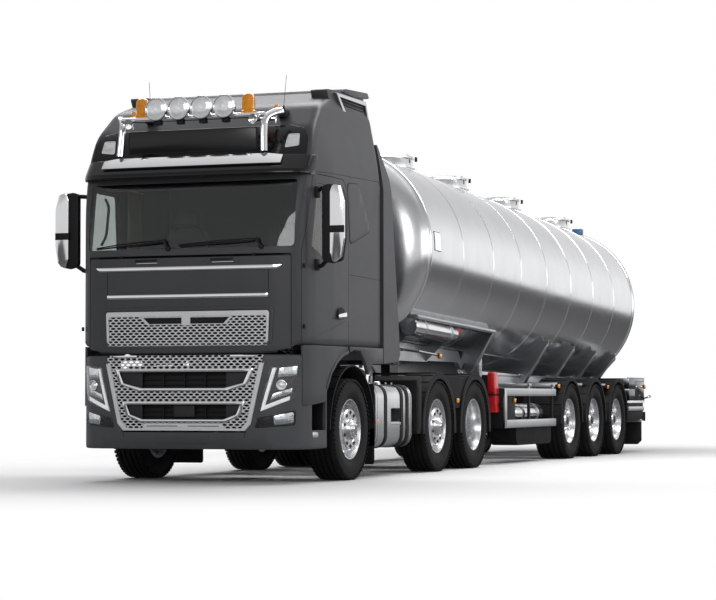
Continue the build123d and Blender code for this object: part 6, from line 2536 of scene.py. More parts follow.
@dataclass
class UpperGrille:
    """The upper hexagonal grille, which lifts with the front flap."""

    pitch: float = 0.064
    row_height: float = 0.0262

    def build(self) -> None:
        """Builds the sheet, its rim with a bare plain head band, and the two dark slots."""
        piece = Piece("upper_hexagon_grille", "front_flap", "bright_chrome")
        outline = mirrored_outline([(0.836, 1.222), (0.846, 1.590), (0.846, 1.636)])
        slots = [(0.470, 1.600), (0.405, 1.532), (-0.405, 1.532), (-0.470, 1.600)]
        sheet = HexSheet().make(29, 20, self.pitch, self.row_height, GRILLE_SILVER)
        sheet.data.transform(Matrix.Translation((-self.pitch / 4, -0.006, 1.430)))
        trim(sheet, outline, True)
        trim(sheet, slots, False)
        piece.take(sheet, GRILLE_SILVER)
        back = [(0.843, 1.216), (0.850, 1.640), (-0.850, 1.640), (-0.843, 1.216)]
        piece.plate(back, Facing.FRONT, (-0.001, 0.001), MOULDED_BLACK, 0)
        edge = mirrored_outline([(0.844, 1.214), (0.860, 1.640), (0.840, 1.656)])
        shrunk = mirrored_outline([(0.822, 1.226), (0.834, 1.590), (0.820, 1.606)])
        piece.plate(edge, Facing.FRONT, (-0.015, 0.0), GRILLE_SILVER, 0.004, hole=shrunk)
        middle = (0.0, 1.566)
        rim, hole = scaled(slots, middle, 1.035, 1.14), scaled(slots, middle, 0.97, 0.88)
        piece.plate(rim, Facing.FRONT, (-0.014, 0.0), GRILLE_SILVER, 0.003, hole=hole)
        piece.plate(
            [(-0.045, 1.520), (-0.045, 1.612), (0.045, 1.612), (0.045, 1.520)], Facing.FRONT, (-0.016, 0.0),
            GRILLE_SILVER, 0.004,
        )
        CAB_FORM.lay_front(piece, 0, 0.08)
        piece.build("upper_grille", crease=30)


@dataclass
class Visor:
    """The gloss black front of the roof: sun visor, bright band, sign panel and corner lamps."""

    lean: float = 0.75

    def build(self) -> None:
        """Builds the visor and the panel above it."""
        piece = Piece("gloss_visor_and_panel", "tractor", "black_plastic")
        section = rounded(
            [
                (0.095, 2.962), (0.108, 3.010), (0.215, 3.158), (0.300, 3.165), (0.300, 3.050),
                (0.275, 2.966),
            ],
            0.02,
        )
        edge = [
            (0.0, 0.0), (0.55, 0.0), (0.80, 0.012), (0.95, 0.034), (1.05, 0.068), (1.12, 0.112),
            (1.17, 0.170), (1.20, 0.260),
        ]
        stops = [(-x, d) for x, d in reversed(edge[1:])] + edge
        points = [(x, at(s + back * self.lean), z) for x, back in stops for s, z in section]
        piece.shape(points, lofted(len(points), len(section)), GLOSS_BLACK)
        # bright band along the visor's upper face
        band: list[Point] = []
        for x, back in [s for s in stops if abs(s[0]) <= 0.951]:
            lean = self.lean * back
            taper = 1.0 if abs(x) < 0.9 else 0.82
            for s, z in (
                (0.128, 3.070), (0.195, 3.070 + 0.100 * taper), (0.205, 3.070 + 0.095 * taper),
                (0.140, 3.060),
            ):
                band.append((x, at(s - 0.012 + lean), z))
        piece.shape(band, lofted(len(band), 4), CHROME, 0.002)
        laid = len(piece.mesh.verts)
        panel = rounded(
            mirrored_outline([(1.150, 3.060), (1.135, 3.330), (1.075, 3.430), (0.930, 3.470)]),
            0.05,
        )
        piece.plate(panel, Facing.FRONT, (-0.006, 0.004), GLOSS_BLACK, 0.003)
        for sign in (-1, 1):
            lamp = rounded(
                [
                    (sign * x, z)
                    for x, z in [(0.905, 3.232), (0.925, 3.372), (1.045, 3.372), (1.058, 3.248)]
                ],
                0.02,
            )
            shrunk = scaled(lamp, (sign * 0.983, 3.306), 0.86, 0.86)
            piece.plate(lamp, Facing.FRONT, (-0.012, 0.0), CHROME, 0.003, hole=shrunk)
            piece.plate(shrunk, Facing.FRONT, (-0.009, 0.0), LAMP_GLASS, 0.002)
        CAB_FORM.lay_front(piece, laid, 0.05)
        piece.build(crease=30)


@dataclass
class RoofBar:
    """The bright light bar with its lamps, beacons and sign board, the horns and the antennas."""

    station: float = 0.215
    height: float = 3.590
    lamp_xs: tuple[float, ...] = (-0.360, -0.120, 0.120, 0.360)

    def build(self) -> None:
        """Builds the bar and what stands on it."""
        piece = Piece("light_bar", "tractor", "bright_chrome")
        y, z = at(self.station), self.height
        for sign in (-1, 1):
            path = [
                (sign * 0.766, y - 0.028, 3.190), (sign * 0.756, y - 0.010, 3.36),
                (sign * 0.752, y + 0.012, 3.52), (sign * 0.83, y + 0.12, 3.585),
                (sign * 0.86, y + 0.20, 3.60),
            ]
            piece.tube(smooth_path(path, 0.09), 0.036, CHROME, 16, 0.55)
        piece.tube([(-0.760, y, z - 0.045), (0.760, y, z - 0.045)], 0.028, CHROME, 20)
        for sign in (-1, 1):
            self._horn(piece, sign, y)
            self._beacon(piece, sign * 0.565, y + 0.055, z)
        for x in self.lamp_xs:
            self._lamp(piece, x, y, z + 0.045)
        board = rounded([(-0.680, 3.208), (-0.680, 3.428), (0.680, 3.428), (0.680, 3.208)], 0.015)
        piece.plate(board, Facing.FRONT, (y - 0.012, y + 0.012), GLOSS_BLACK, 0.003)
        middle = (0.0, 3.318)
        lip, hole = scaled(board, middle, 1.004, 1.02), scaled(board, middle, 0.985, 0.93)
        piece.plate(lip, Facing.FRONT, (y - 0.0145, y + 0.0145), MOULDED_BLACK, 0.002, hole=hole)
        piece.build("roof_bar", crease=32)
        self._antennas()

    def _lamp(self, piece: Piece, x: float, y: float, z: float) -> None:
        """Adds one round lamp: pot, bright bezel, dished reflector glass and its foot."""
        face = (0, -1, 0)
        spot = (x, y - 0.030, z)
        pot = [
            (-0.048, 0.0), (-0.048, 0.035), (-0.040, 0.074), (-0.015, 0.104), (0.020, 0.113),
            (0.030, 0.114),
        ]
        rim = [(0.042, 0.116), (0.050, 0.112), (0.052, 0.106), (0.046, 0.100), (0.040, 0.098), (0.030, 0.0)]
        piece.lathe(pot + rim, CHROME, spot, face, 40)
        piece.lathe(
            [(0.028, 0.0), (0.028, 0.097), (0.041, 0.096), (0.048, 0.075), (0.052, 0.042), (0.053, 0.0)],
            LAMP_GLASS, spot, face, 40,
        )
        piece.lathe([(0.050, 0.0), (0.050, 0.022), (0.056, 0.020), (0.057, 0.0)], CHROME, spot, face, 20)
        piece.block(
            (x - 0.035, y - 0.045, z - 0.150), (x + 0.035, y + 0.020, z - 0.095), MOULDED_BLACK, 0.008,
        )

    def _beacon(self, piece: Piece, x: float, y: float, z: float) -> None:
        """Adds one amber beacon: flanged foot, ribbed dome."""
        foot = (x, y + 0.005, z - 0.02)
        piece.lathe(
            [(0.0, 0.0), (0.0, 0.074), (0.020, 0.078), (0.030, 0.068), (0.030, 0.0)], AMBER, foot,
            (0, 0, 1), 32,
        )
        dome = [(0.030, 0.0), (0.030, 0.064), (0.055, 0.067)]
        for i in range(5):
            dome += [(0.062 + i * 0.018, 0.0625), (0.071 + i * 0.018, 0.066)]
        dome += [(0.155, 0.063), (0.178, 0.056), (0.196, 0.034), (0.202, 0.0)]
        piece.lathe(dome, AMBER, foot, (0, 0, 1), 32)

    def _horn(self, piece: Piece, sign: int, y: float) -> None:
        """Adds one bright air horn beside the lamps, its bell to the front, and its amber lamp behind."""
        bell = (sign * 0.665, y - 0.055, 3.500)
        section = [
            (-0.30, 0.0), (-0.30, 0.020), (-0.20, 0.018), (-0.06, 0.024), (-0.02, 0.034), (0.010, 0.050),
            (0.014, 0.050), (0.010, 0.042), (-0.01, 0.026), (-0.03, 0.0),
        ]
        piece.lathe(section, CHROME, bell, (sign * -0.32, -1, -0.10), 28)
        back = Vector(bell) + Vector((sign * 0.10, 0.32, 0.035))
        piece.lathe(
            [(-0.03, 0.0), (-0.03, 0.026), (0.02, 0.028), (0.035, 0.018), (0.038, 0.0)], AMBER,
            tuple(back + Vector((0, 0.02, 0.10))), (0, 0, 1), 20,
        )
        piece.tube(
            [tuple(back - Vector((0, 0, 0.05))), tuple(back + Vector((0, 0.02, 0.075)))], 0.009, CHROME, 10,
        )

    def _antennas(self) -> None:
        """Adds the two whip antennas on the roof, with their feet."""
        piece = Piece("whip_antennas", "tractor", "black_plastic")
        for x, station, z, lean in ((0.800, 0.600, 3.610, 0.02), (-0.630, 0.600, 3.610, -0.03)):
            base = Vector((x, at(station), z))
            piece.block(
                tuple(base + Vector((-0.04, -0.05, -0.06))), tuple(base + Vector((0.04, 0.06, 0.02))),
                MOULDED_BLACK, 0.010,
            )
            piece.lathe(
                [(0.0, 0.0), (0.0, 0.018), (0.03, 0.012), (0.06, 0.006), (0.06, 0.0)], MOULDED_BLACK,
                tuple(base + Vector((0, 0, 0.01))), (0, 0, 1), 16,
            )
            tip = Vector((x + lean, at(station) + 0.02, 3.975))
            piece.tube([base + Vector((0, 0, 0.05)), tip], 0.0025, MOULDED_BLACK, 6)
        piece.build(crease=35)


@dataclass
class Mirrors:
    """The door mirrors: black housings with bright outer caps, on looped arms."""

    def build(self) -> None:
        """Builds the left mirror and its mirror image on the right."""
        for side, sign in SIDE_SIGNS:
            piece = Piece(f"door_mirror_{side}", f"door_{side}", "bright_chrome")
            body = rounded(
                [
                    (1.300, 2.130), (1.300, 2.850), (1.360, 2.868), (1.500, 2.850), (1.536, 2.720),
                    (1.536, 2.330), (1.505, 2.130), (1.400, 2.104),
                ],
                0.05,
            )
            piece.plate(body, Facing.FRONT, (at(0.330), at(0.398)), MOULDED_BLACK, 0.012)
            cap = rounded(
                [
                    (1.425, 2.095), (1.392, 2.200), (1.392, 2.790), (1.420, 2.868), (1.500, 2.845),
                    (1.540, 2.700), (1.540, 2.340), (1.510, 2.160),
                ],
                0.04,
            )
            piece.plate(cap, Facing.FRONT, (at(0.301), at(0.340)), CHROME, 0.014)
            band = [(1.385, 2.395), (1.385, 2.465), (1.539, 2.465), (1.539, 2.395)]
            piece.plate(band, Facing.FRONT, (at(0.2995), at(0.330)), MOULDED_BLACK, 0.004)
            glass = rounded(
                [(1.318, 2.500), (1.318, 2.835), (1.492, 2.835), (1.515, 2.720), (1.515, 2.500)], 0.03,
            )
            low_glass = rounded(
                [(1.318, 2.150), (1.318, 2.470), (1.515, 2.470), (1.515, 2.330), (1.490, 2.150)], 0.03,
            )
            for pane in (glass, low_glass):
                piece.plate(pane, Facing.FRONT, (at(0.396), at(0.4005)), CHROME, 0.001)
            for path in (
                [(1.215, at(0.442), 2.800), (1.250, at(0.430), 2.830), (1.330, at(0.375), 2.830)],
                [(1.215, at(0.442), 2.100), (1.260, at(0.420), 2.080), (1.350, at(0.372), 2.150)],
            ):
                piece.tube(smooth_path(path, 0.05), 0.021, MOULDED_BLACK, 12)
            for z in (2.100, 2.800):
                piece.block(
                    (1.196, at(0.405), z - 0.055), (1.232, at(0.480), z + 0.055), MOULDED_BLACK, 0.012,
                )
            piece.build(f"mirror_{side}", crease=32, move=Matrix.Diagonal((sign, 1, 1, 1)))


@dataclass
class Wipers:
    """The two wipers that lie under the windscreen."""

    def build(self) -> None:
        """Builds the arms, blades and spindle caps."""
        piece = Piece("wiper_arms", "tractor", "black_plastic")
        for tip, elbow, foot in (
            ((-0.975, 2.285), (-0.240, 2.350), (-0.200, 2.262)),
            ((-0.085, 2.300), (0.730, 2.345), (0.775, 2.262)),
        ):
            laid = len(piece.mesh.verts)
            points = [
                (tip[0], -0.016, tip[1]),
                (tip[0] * 0.5 + elbow[0] * 0.5, -0.022, (tip[1] + elbow[1]) / 2 + 0.01),
                (elbow[0], -0.026, elbow[1]),
            ]
            piece.tube(smooth_path(points, 0.2), 0.011, MOULDED_BLACK, 8, 0.6)
            blade = [
                (tip[0], tip[1] - 0.018), (tip[0], tip[1] - 0.004), (elbow[0] - 0.04, elbow[1] - 0.012),
                (elbow[0] - 0.04, elbow[1] - 0.028),
            ]
            piece.plate(blade, Facing.FRONT, (-0.014, -0.004), MOULDED_BLACK, 0.001)
            arm = [
                (elbow[0], -0.028, elbow[1] + 0.008), (elbow[0] + 0.012, -0.030, elbow[1] - 0.02),
                (foot[0], -0.020, foot[1]),
            ]
            piece.tube(smooth_path(arm, 0.02), 0.022, MOULDED_BLACK, 10, 0.5)
            piece.lathe(
                [(0.0, 0.0), (0.0, 0.024), (0.02, 0.022), (0.026, 0.0)], MOULDED_BLACK,
                (foot[0], -0.005, foot[1] + 0.002), (0, -1, 0), 20,
            )
            CAB_FORM.lay_front(piece, laid, 0.08)
        piece.build(crease=35)


# ---------------------------------------------------------------- tractor's chassis
def oblong(
    low: tuple[float, float], high: tuple[float, float], bend: float = 0.0,
) -> list[tuple[float, float]]:
    """Returns a rectangle's outline between two corners, rounded by an amount."""
    corners = [(low[0], low[1]), (high[0], low[1]), (high[0], high[1]), (low[0], high[1])]
    return rounded(corners, bend) if bend else corners


def marker(piece: Piece, x: float, station: float, z: float, colour: Finish = AMBER) -> None:
    """Adds a small side marker lamp that faces outwards, on a black seat."""
    out = math.copysign(1.0, x)
    seat = oblong((at(station) - 0.045, z - 0.032), (at(station) + 0.045, z + 0.032), 0.012)
    lens = oblong((at(station) - 0.036, z - 0.025), (at(station) + 0.036, z + 0.025), 0.012)
    piece.plate(seat, Facing.SIDE, sided(out, abs(x) - 0.004, abs(x) + 0.008), MOULDED_BLACK, 0.002)
    piece.plate(lens, Facing.SIDE, sided(out, abs(x), abs(x) + 0.022), colour, 0.006)


@dataclass
class FuelTanks:
    """The aluminium fuel tanks with their welded ends, rubber-lined straps and step."""

    inner: float = 0.640
    outer: float = 1.200
    low: float = 0.300
    high: float = 0.960
    front: float = 2.140
    rear: float = 3.290
    corner: float = 0.150
    straps: tuple[float, ...] = (2.430, 2.940, 3.120)
    brackets: tuple[float, ...] = (2.380, 3.050)
    step: tuple[float, float, float, float] = (2.600, 0.550, 2.900, 0.712)

    def _section(self, proud: float) -> list[tuple[float, float]]:
        """Returns the tank's cross-section, grown by an amount."""
        return rounded(
            oblong((self.inner - proud, self.low - proud), (self.outer + proud, self.high + proud)),
            self.corner + proud, 8
        )

    def _band(self, piece: Piece, station: float, half: float, proud: float, finish: Finish) -> None:
        """Adds a band round the tank."""
        piece.plate(
            self._section(proud), Facing.FRONT, (at(station - half), at(station + half)), finish, 0.002,
            hole=self._section(-0.002)
        )

    def build(self) -> None:
        """Builds both tanks."""
        shell = Piece("fuel_tank_shell", "tractor", "tank_aluminium")
        shell.plate(
            self._section(0), Facing.FRONT, (at(self.front), at(self.rear)), BUFFED_ALUMINIUM, 0.026,
        )
        body = drawn(shell)
        left, bottom, right, top = self.step
        cut(body, prism(oblong((at(left), bottom), (at(right), top), 0.02), Facing.SIDE, (1.085, 1.3)))
        piece = Piece("aluminium_fuel_tanks", "tractor", "tank_aluminium")
        piece.take(body, BUFFED_ALUMINIUM)
        # step let into the outer face: a dark back, and a bright tread with grip ribs
        piece.block(
            (1.084, at(left) + 0.004, bottom), (1.094, at(right) - 0.004, top), MOULDED_BLACK, 0.001,
        )
        piece.block(
            (1.090, at(left) + 0.002, bottom - 0.012), (1.206, at(right) - 0.002, bottom + 0.014),
            SATIN_SILVER,
        )
        for row in range(4):
            x = 1.112 + 0.024 * row
            piece.block(
                (x, at(left) + 0.02, bottom + 0.012), (x + 0.007, at(right) - 0.02, bottom + 0.018),
                SATIN_SILVER, 0.001,
            )
        for station in (self.front + 0.045, self.rear - 0.045):
            self._band(piece, station, 0.007, 0.004, BUFFED_ALUMINIUM)
        for station in self.straps:
            self._band(piece, station, 0.042, 0.006, MOULDED_BLACK)
            piece.tube([(1.02, at(station), 0.955), (1.02, at(station), 0.985)], 0.010, SATIN_SILVER, 10)
        for station in self.brackets:
            piece.block(
                (0.425, at(station) - 0.03, 0.720), (self.inner + 0.02, at(station) + 0.03, 0.820),
                FRAME_PAINT,
            )
        # filler cap and sender cover on top
        for station, radius in ((2.300, 0.052), (2.780, 0.036)):
            profile = [
                (0, 0), (0, radius + 0.01), (0.008, radius + 0.01), (0.010, radius),
                (0.030, radius - 0.002), (0.036, radius - 0.01), (0.036, 0),
            ]
            piece.lathe(profile, SATIN_SILVER, (0.98, at(station), self.high - 0.002), (0, 0, 1), 32)
        marker(piece, 1.180, self.front + 0.06, 0.577)
        piece.mirrored()
        piece.build("fuel_tanks", crease=34)


@dataclass
class Mudguards:
    """Moulded guards arched over the wheels of one axle group, with ribbed backs and outer lips."""

    thickness: float = 0.010
    outer_x: float = 1.215
    lip: float = 0.050

    def arch(
        self, piece: Piece, station: float, radius: float, inner_x: float, legs: tuple[float, float],
        lip: float,
    ) -> None:
        """Adds one guard over a wheel of the +x side.

        Args:
            piece: The piece that it is added to.
            station: The wheel's station.
            radius: The guard's inner radius.
            inner_x: Where the guard starts; it ends at outer_x.
            legs: The height of its front and rear lower edges.
            lip: How far its outer lip hangs inwards over the tyre's flank.
        """
        outer = radius + self.thickness
        self._band(piece, station, (radius, outer), legs, (inner_x, self.outer_x), MOULDED_BLACK)
        self._band(
            piece, station, (radius - lip, outer + 0.012), legs, (self.outer_x - 0.012, self.outer_x),
            MOULDED_BLACK,
        )
        self._band(
            piece, station, (radius - 0.02, outer + 0.005), legs, (inner_x, inner_x + 0.010), MOULDED_BLACK,
        )
        # stiffening ribs across the back
        for number in range(11):
            angle = math.pi * (number + 0.5) / 11
            middle = Vector(
                (
                    0, at(station) + (outer + 0.002) * math.cos(angle),
                    TYRE_RADIUS + (outer + 0.002) * math.sin(angle),
                )
            )
            along = Vector((0, -math.sin(angle), math.cos(angle))) * 0.012
            ends = [middle - along, middle + along]
            out = Vector((0, math.cos(angle), math.sin(angle))) * 0.006
            corners = [
                (e + side * out).yz
                for e, side in ((ends[0], -1), (ends[1], -1), (ends[1], 1), (ends[0], 1))
            ]
            piece.plate(
                [tuple(c) for c in corners], Facing.SIDE, (inner_x + 0.02, self.outer_x - 0.02),
                MOULDED_BLACK, 0.002,
            )

    def _band(
        self,
        piece: Piece,
        station: float,
        radii: tuple[float, float],
        legs: tuple[float, float],
        depth: tuple[float, float],
        finish: Finish,
        steps: int = 28,
    ) -> None:
        """Adds an arched band with straight legs, between two radii."""
        paths = []
        for radius in radii:
            path = [(at(station) - radius, legs[0])]
            for i in range(steps + 1):
                angle = math.pi * (1 - i / steps)
                path.append(
                    (at(station) + radius * math.cos(angle), TYRE_RADIUS + radius * math.sin(angle))
                )
            path.append((at(station) + radius, legs[1]))
            paths.append(path)
        inner, outer = paths
        count = len(inner)
        points = [Facing.SIDE.lift(u, v, d) for d in depth for path in (inner, outer) for u, v in path]
        faces = []
        for i in range(count - 1):
            a, b, c, d = i, i + 1, count + i + 1, count + i
            low, high = 0, 2 * count
            faces += [[low + n for n in (a, b, c, d)], [high + n for n in (a, b, c, d)]]
            faces += [[a, b, high + b, high + a], [d, c, high + c, high + d]]
        for end in (0, count - 1):
            faces.append([end, count + end, 3 * count + end, 2 * count + end])
        piece.shape(points, faces, finish, 0.002)


@dataclass
class TractorGuards(Mudguards):
    """The guards of the tractor's three axles, with their stays, infills and flaps."""

    steer: float = 1.420
    pusher: float = 4.200
    drive: float = 5.550
    radius: float = 0.575
    rail: float = 0.425

    def build(self) -> None:
        """Builds the guards of both sides."""
        piece = Piece("moulded_tractor_guards", "tractor", "black_plastic")
        self.arch(piece, self.steer, 0.620, 0.640, (0.520, 0.330), 0.0)
        self.arch(piece, self.pusher, self.radius, 0.860, (0.430, 0.420), self.lip)
        self.arch(piece, self.drive, self.radius, 0.550, (0.420, 0.420), self.lip)
        # rubber flap behind the front wheel
        flap = oblong((0.700, 0.140), (self.outer_x, 0.960), 0.03)
        piece.plate(flap, Facing.FRONT, (at(2.040), at(2.050)), MOULDED_BLACK, 0.002)
        # infill between the rear arches, and the cover of the tool box before them
        reach = self.radius + 0.004
        infill = []
        for middle, start, end in ((self.pusher, 75, 20), (self.drive, 160, 105)):
            for i in range(9):
                angle = math.radians(start + (end - start) * i / 8)
                infill.append((at(middle) + reach * math.cos(angle), TYRE_RADIUS + reach * math.sin(angle)))
        piece.plate(infill, Facing.SIDE, (1.170, 1.196), MOULDED_BLACK, 0.004)
        cover = rounded(
            sy([(3.450, 0.430), (3.450, 1.010), (3.520, 1.060), (3.614, 1.060), (3.614, 0.430)]), 0.04,
        )
        piece.plate(cover, Facing.SIDE, (0.700, 1.200), MOULDED_BLACK, 0.012)
        piece.plate(
            sy([(3.475, 0.470), (3.475, 0.950), (3.590, 0.950), (3.590, 0.470)]), Facing.SIDE,
            (1.195, 1.206), MOULDED_BLACK, 0.005,
        )
        piece.block((0.425, at(3.50), 0.75), (0.71, at(3.56), 0.83), FRAME_PAINT)
        for station, radius, inner in (
            (self.steer, 0.620, 0.640), (self.pusher, self.radius, 0.860), (self.drive, self.radius, 0.550),
        ):
            top = TYRE_RADIUS + radius
            piece.block(
                (self.rail, at(station - 0.025), top - 0.006),
                (inner + 0.26, at(station + 0.025), top + 0.022), FRAME_PAINT,
            )
            piece.block(
                (self.rail, at(station - 0.025), 0.83),
                (self.rail + 0.03, at(station + 0.025), top + 0.022), FRAME_PAINT,
            )
        marker(piece, 1.196, 4.875, 0.790)
        piece.mirrored()
        piece.build("tractor_mudguards", crease=34)


@dataclass
class DeckFittings:
    """What stands on the frame behind the cab: tread plate, coupling heads and small air tanks."""

    top: float = 1.010
    heads: tuple[float, ...] = (-0.18, -0.06, 0.06, 0.18)

    def build(self) -> None:
        """Builds the fittings on the tractor's frame."""
        piece = Piece("deck_fittings", "tractor", "tank_aluminium")
        # chequered aluminium tread: short crossed ribs
        piece.block(
            (-0.420, at(2.915), self.top - 0.002), (0.420, at(3.645), self.top + 0.003), SATIN_SILVER,
            0.001,
        )
        for row in range(12):
            for column in range(14):
                x, y = -0.39 + 0.06 * column, at(2.96) + 0.058 * row
                turn = 1 if (row + column) % 2 else -1
                piece.tube(
                    [
                        (x - 0.012, y - 0.012 * turn, self.top + 0.003),
                        (x + 0.012, y + 0.012 * turn, self.top + 0.003),
                    ],
                    0.003, SATIN_SILVER, 4,
                )
        # coupling heads on the stand, with coloured covers
        for x, cover in zip(self.heads, (RED_PLASTIC, MOULDED_BLACK, MOULDED_BLACK, AMBER)):
            profile = [(0, 0), (0, 0.040), (0.012, 0.044), (0.055, 0.044), (0.060, 0.036), (0.062, 0)]
            piece.lathe(profile, cover, (x, at(3.008), 1.480), (0, 1, 0), 20)
            piece.lathe(
                [(0, 0), (0, 0.036), (0.012, 0.036), (0.012, 0)], SATIN_SILVER, (x, at(3.068), 1.480),
                (0, 1, 0), 20,
            )
        for sign in (-1, 1):
            # painted air tanks in straps beside the coupling
            profile = [(0, 0), (0.008, 0.05), (0.030, 0.082), (0.50, 0.082), (0.522, 0.05), (0.530, 0)]
            piece.lathe(profile, FRAME_PAINT, (sign * 0.545, at(2.92), 1.060), (0, 1, 0), 32)
            for station in (3.05, 3.32):
                ring = [(-0.012, 0.0825), (-0.012, 0.0855), (0.012, 0.0855), (0.012, 0.0825)]
                piece.lathe(
                    ring, MOULDED_BLACK, (sign * 0.545, at(station), 1.060), (0, 1, 0), 32, looped=True,
                )
                piece.block(
                    (sign * 0.40, at(station) - 0.02, 0.965), (sign * 0.56, at(station) + 0.02, 0.990),
                    FRAME_PAINT,
                )
            # bright unions on the rails between the wheels
            for station in (3.80, 3.92, 4.62, 4.78):
                piece.lathe(
                    [(0, 0), (0, 0.030), (0.05, 0.030), (0.055, 0.022), (0.09, 0.022), (0.09, 0)], CHROME,
                    (sign * 0.39, at(station), 0.978), (0, 0, 1), 16,
                )
        piece.build(crease=34)


# ---------------------------------------------------------------- trailer's chassis
@dataclass
class TrailerFittings:
    """What is fixed to the trailer's frame and barrel: flanges, posts, hose tubes and blank placards."""

    rail_inner: float = 0.440
    rail_outer: float = 0.500
    rail_low: float = 0.950
    rail_high: float = 1.110
    saddles: tuple[float, ...] = (7.230, 9.780, 11.150, 12.400, 13.550)
    drop: float = 0.745

    def build(self) -> None:
        """Builds the fittings on the frame and those on the barrel."""
        tank = Tank()
        piece = Piece("frame_fittings", "trailer", "frame_stainless")
        self._flanges(piece, tank)
        self._front(piece, tank)
        piece.mirrored()
        piece.build(crease=34)
        self._placard(tank)
        self._valve(tank)

    def _height(self, tank: Tank, station: float) -> float:
        """Returns the height of the shelf line on the barrel's flank."""
        return tank.front_height - tank.fall * (station - tank.front_station) - self.drop

    def _flanges(self, piece: Piece, tank: Tank) -> None:
        """Adds the rails' flanges and side sheets, and the folded edges of the saddle plates."""
        for z in (self.rail_low - 0.010, self.rail_high - 0.002):
            piece.block(
                (self.rail_inner - 0.03, at(7.55), z), (self.rail_outer + 0.045, at(13.25), z + 0.012),
                FRAME_STEEL, 0.002,
            )
        sheet = sy(
            [
                (7.300, self.rail_low + 0.010), (7.060, 1.170), (9.200, 1.145),
                (10.200, self.rail_high + 0.012), (13.250, self.rail_high), (13.250, self.rail_low + 0.010),
            ]
        )
        piece.plate(
            sheet, Facing.SIDE, (self.rail_outer - 0.002, self.rail_outer + 0.004), SATIN_SILVER, 0.001,
        )
        for station in self.saddles:
            top = self._height(tank, station)
            foot = (self.rail_outer + 0.058, self.rail_low + 0.055)
            tip = (0.926, top - 0.040)
            # folded edge, wide at the foot, which leans forward as it rises
            points = []
            for x, z, low, high in ((*foot, -0.045, 0.130), (*tip, -0.070, -0.030)):
                for out in (0.0, 0.010):
                    points += [
                        (x + out, at(station) + low, z - out), (x + out, at(station) + high, z - out),
                    ]
            piece.shape(points, BOX_FACES, SATIN_SILVER, 0.002)
            # bolted foot of the saddle on the rail
            piece.block(
                (self.rail_outer - 0.01, at(station) - 0.10, self.rail_high + 0.008),
                (self.rail_outer + 0.06, at(station) + 0.10, self.rail_high + 0.020), SATIN_SILVER, 0.002,
            )
            for along in (-0.075, 0.075):
                piece.lathe(
                    [(0, 0), (0, 0.013), (0.012, 0.013), (0.012, 0)], CHROME,
                    (self.rail_outer + 0.035, at(station) + along, self.rail_high + 0.020), (0, 0, 1), 6,
                )

    def _front(self, piece: Piece, tank: Tank) -> None:
        """Adds the hose tube under the front flank, the post of the landing leg and the marker bar."""
        start = 4.250
        section = [
            (0.0, 0.0), (0.0, 0.095), (0.012, 0.105), (1.50, 0.105), (1.58, 0.085), (1.63, 0.045),
            (1.65, 0.0),
        ]
        axis = tank.axis()
        origin = (0.835, at(start), self._height(tank, start) - 0.135)
        piece.lathe(section, TANK_STEEL, origin, tuple(axis), 40)
        lamp = Vector(origin) + axis * 1.60 + Vector((0.040, 0, 0.035))
        piece.lathe(
            [(0, 0), (0, 0.036), (0.05, 0.036), (0.062, 0.026), (0.062, 0)], RED_PLASTIC, tuple(lamp),
            (0.35, 0.94, 0), 20,
        )
        for station in (4.60, 5.55):
            z = self._height(tank, station) - 0.04
            ring = [(-0.02, 0.1055), (-0.02, 0.110), (0.02, 0.110), (0.02, 0.1055)]
            spot = Vector(origin) + axis * (station - start)
            piece.lathe(ring, SATIN_SILVER, tuple(spot), tuple(axis), 40, looped=True)
            piece.block((0.80, at(station) - 0.02, z - 0.02), (0.87, at(station) + 0.02, z), SATIN_SILVER)
        # bright edge of the shelf
        run = [(0.927, at(s), self._height(tank, s) - 0.022) for s in (4.25, 7.25)]
        piece.tube(run, 0.020, SATIN_SILVER, 12)
        # post over the landing leg, up to the barrel
        piece.block((0.610, at(7.270), 1.100), (0.725, at(7.390), 1.500), SATIN_SILVER, 0.006)
        piece.block((0.620, at(7.262), 0.460), (0.712, at(7.272), 1.100), SATIN_SILVER, 0.002)
        pipe = [(0.730, at(7.265), 1.100), (0.78, at(7.33), 0.80), (0.80, at(7.33), 0.72)]
        piece.tube(pipe, 0.010, FRAME_PAINT, 10)
        # marker bar beside the coupling, on two arms from the bolster
        piece.tube([(0.900, at(4.38), 1.345), (0.900, at(5.12), 1.312)], 0.014, SATIN_SILVER, 12)
        for station, z in ((4.50, 1.340), (5.00, 1.318)):
            piece.tube(
                [(0.900, at(station), z), (0.70, at(station), z + 0.03), (0.490, at(station), z + 0.06)],
                0.010, SATIN_SILVER, 10,
            )
        marker(piece, 0.915, 5.094, 1.305)

    def _placard(self, tank: Tank) -> None:
        """Adds the blank warning board to both flanks of the barrel, bent to it."""
        piece = Piece("blank_placards", "trailer", "lamp_plastic")
        # the white board's vinyl carries a painted glow
        for finish, inset, proud in ((MOULDED_BLACK, 0.0, 0.0035), (WHITE_VINYL_WITH_PAINTED_GLOW, 0.008, 0.0050)):
            for sign in (-1, 1):
                points, faces = [], []
                rows = 6
                for layer in (0.0005, proud):
                    for i in range(rows + 1):
                        angle = math.radians(80.5) + inset / tank.radius + (
                            math.radians(11) - 2 * inset / tank.radius
                        ) * i / rows
                        for station in (4.275 + inset, 4.495 - inset):
                            points.append(tank.spot(station, sign * angle, layer))
                size = 2 * (rows + 1)
                for i in range(rows):
                    a = 2 * i
                    faces += [
                        [a, a + 1, a + 3, a + 2], [size + a, size + a + 1, size + a + 3, size + a + 2],
                    ]
                    faces += [
                        [a, a + 2, size + a + 2, size + a], [a + 1, a + 3, size + a + 3, size + a + 1],
                    ]
                for a in (0, size - 2):
                    faces.append([a, a + 1, size + a + 1, size + a])
                piece.shape(points, faces, finish)
        piece.build(crease=34)

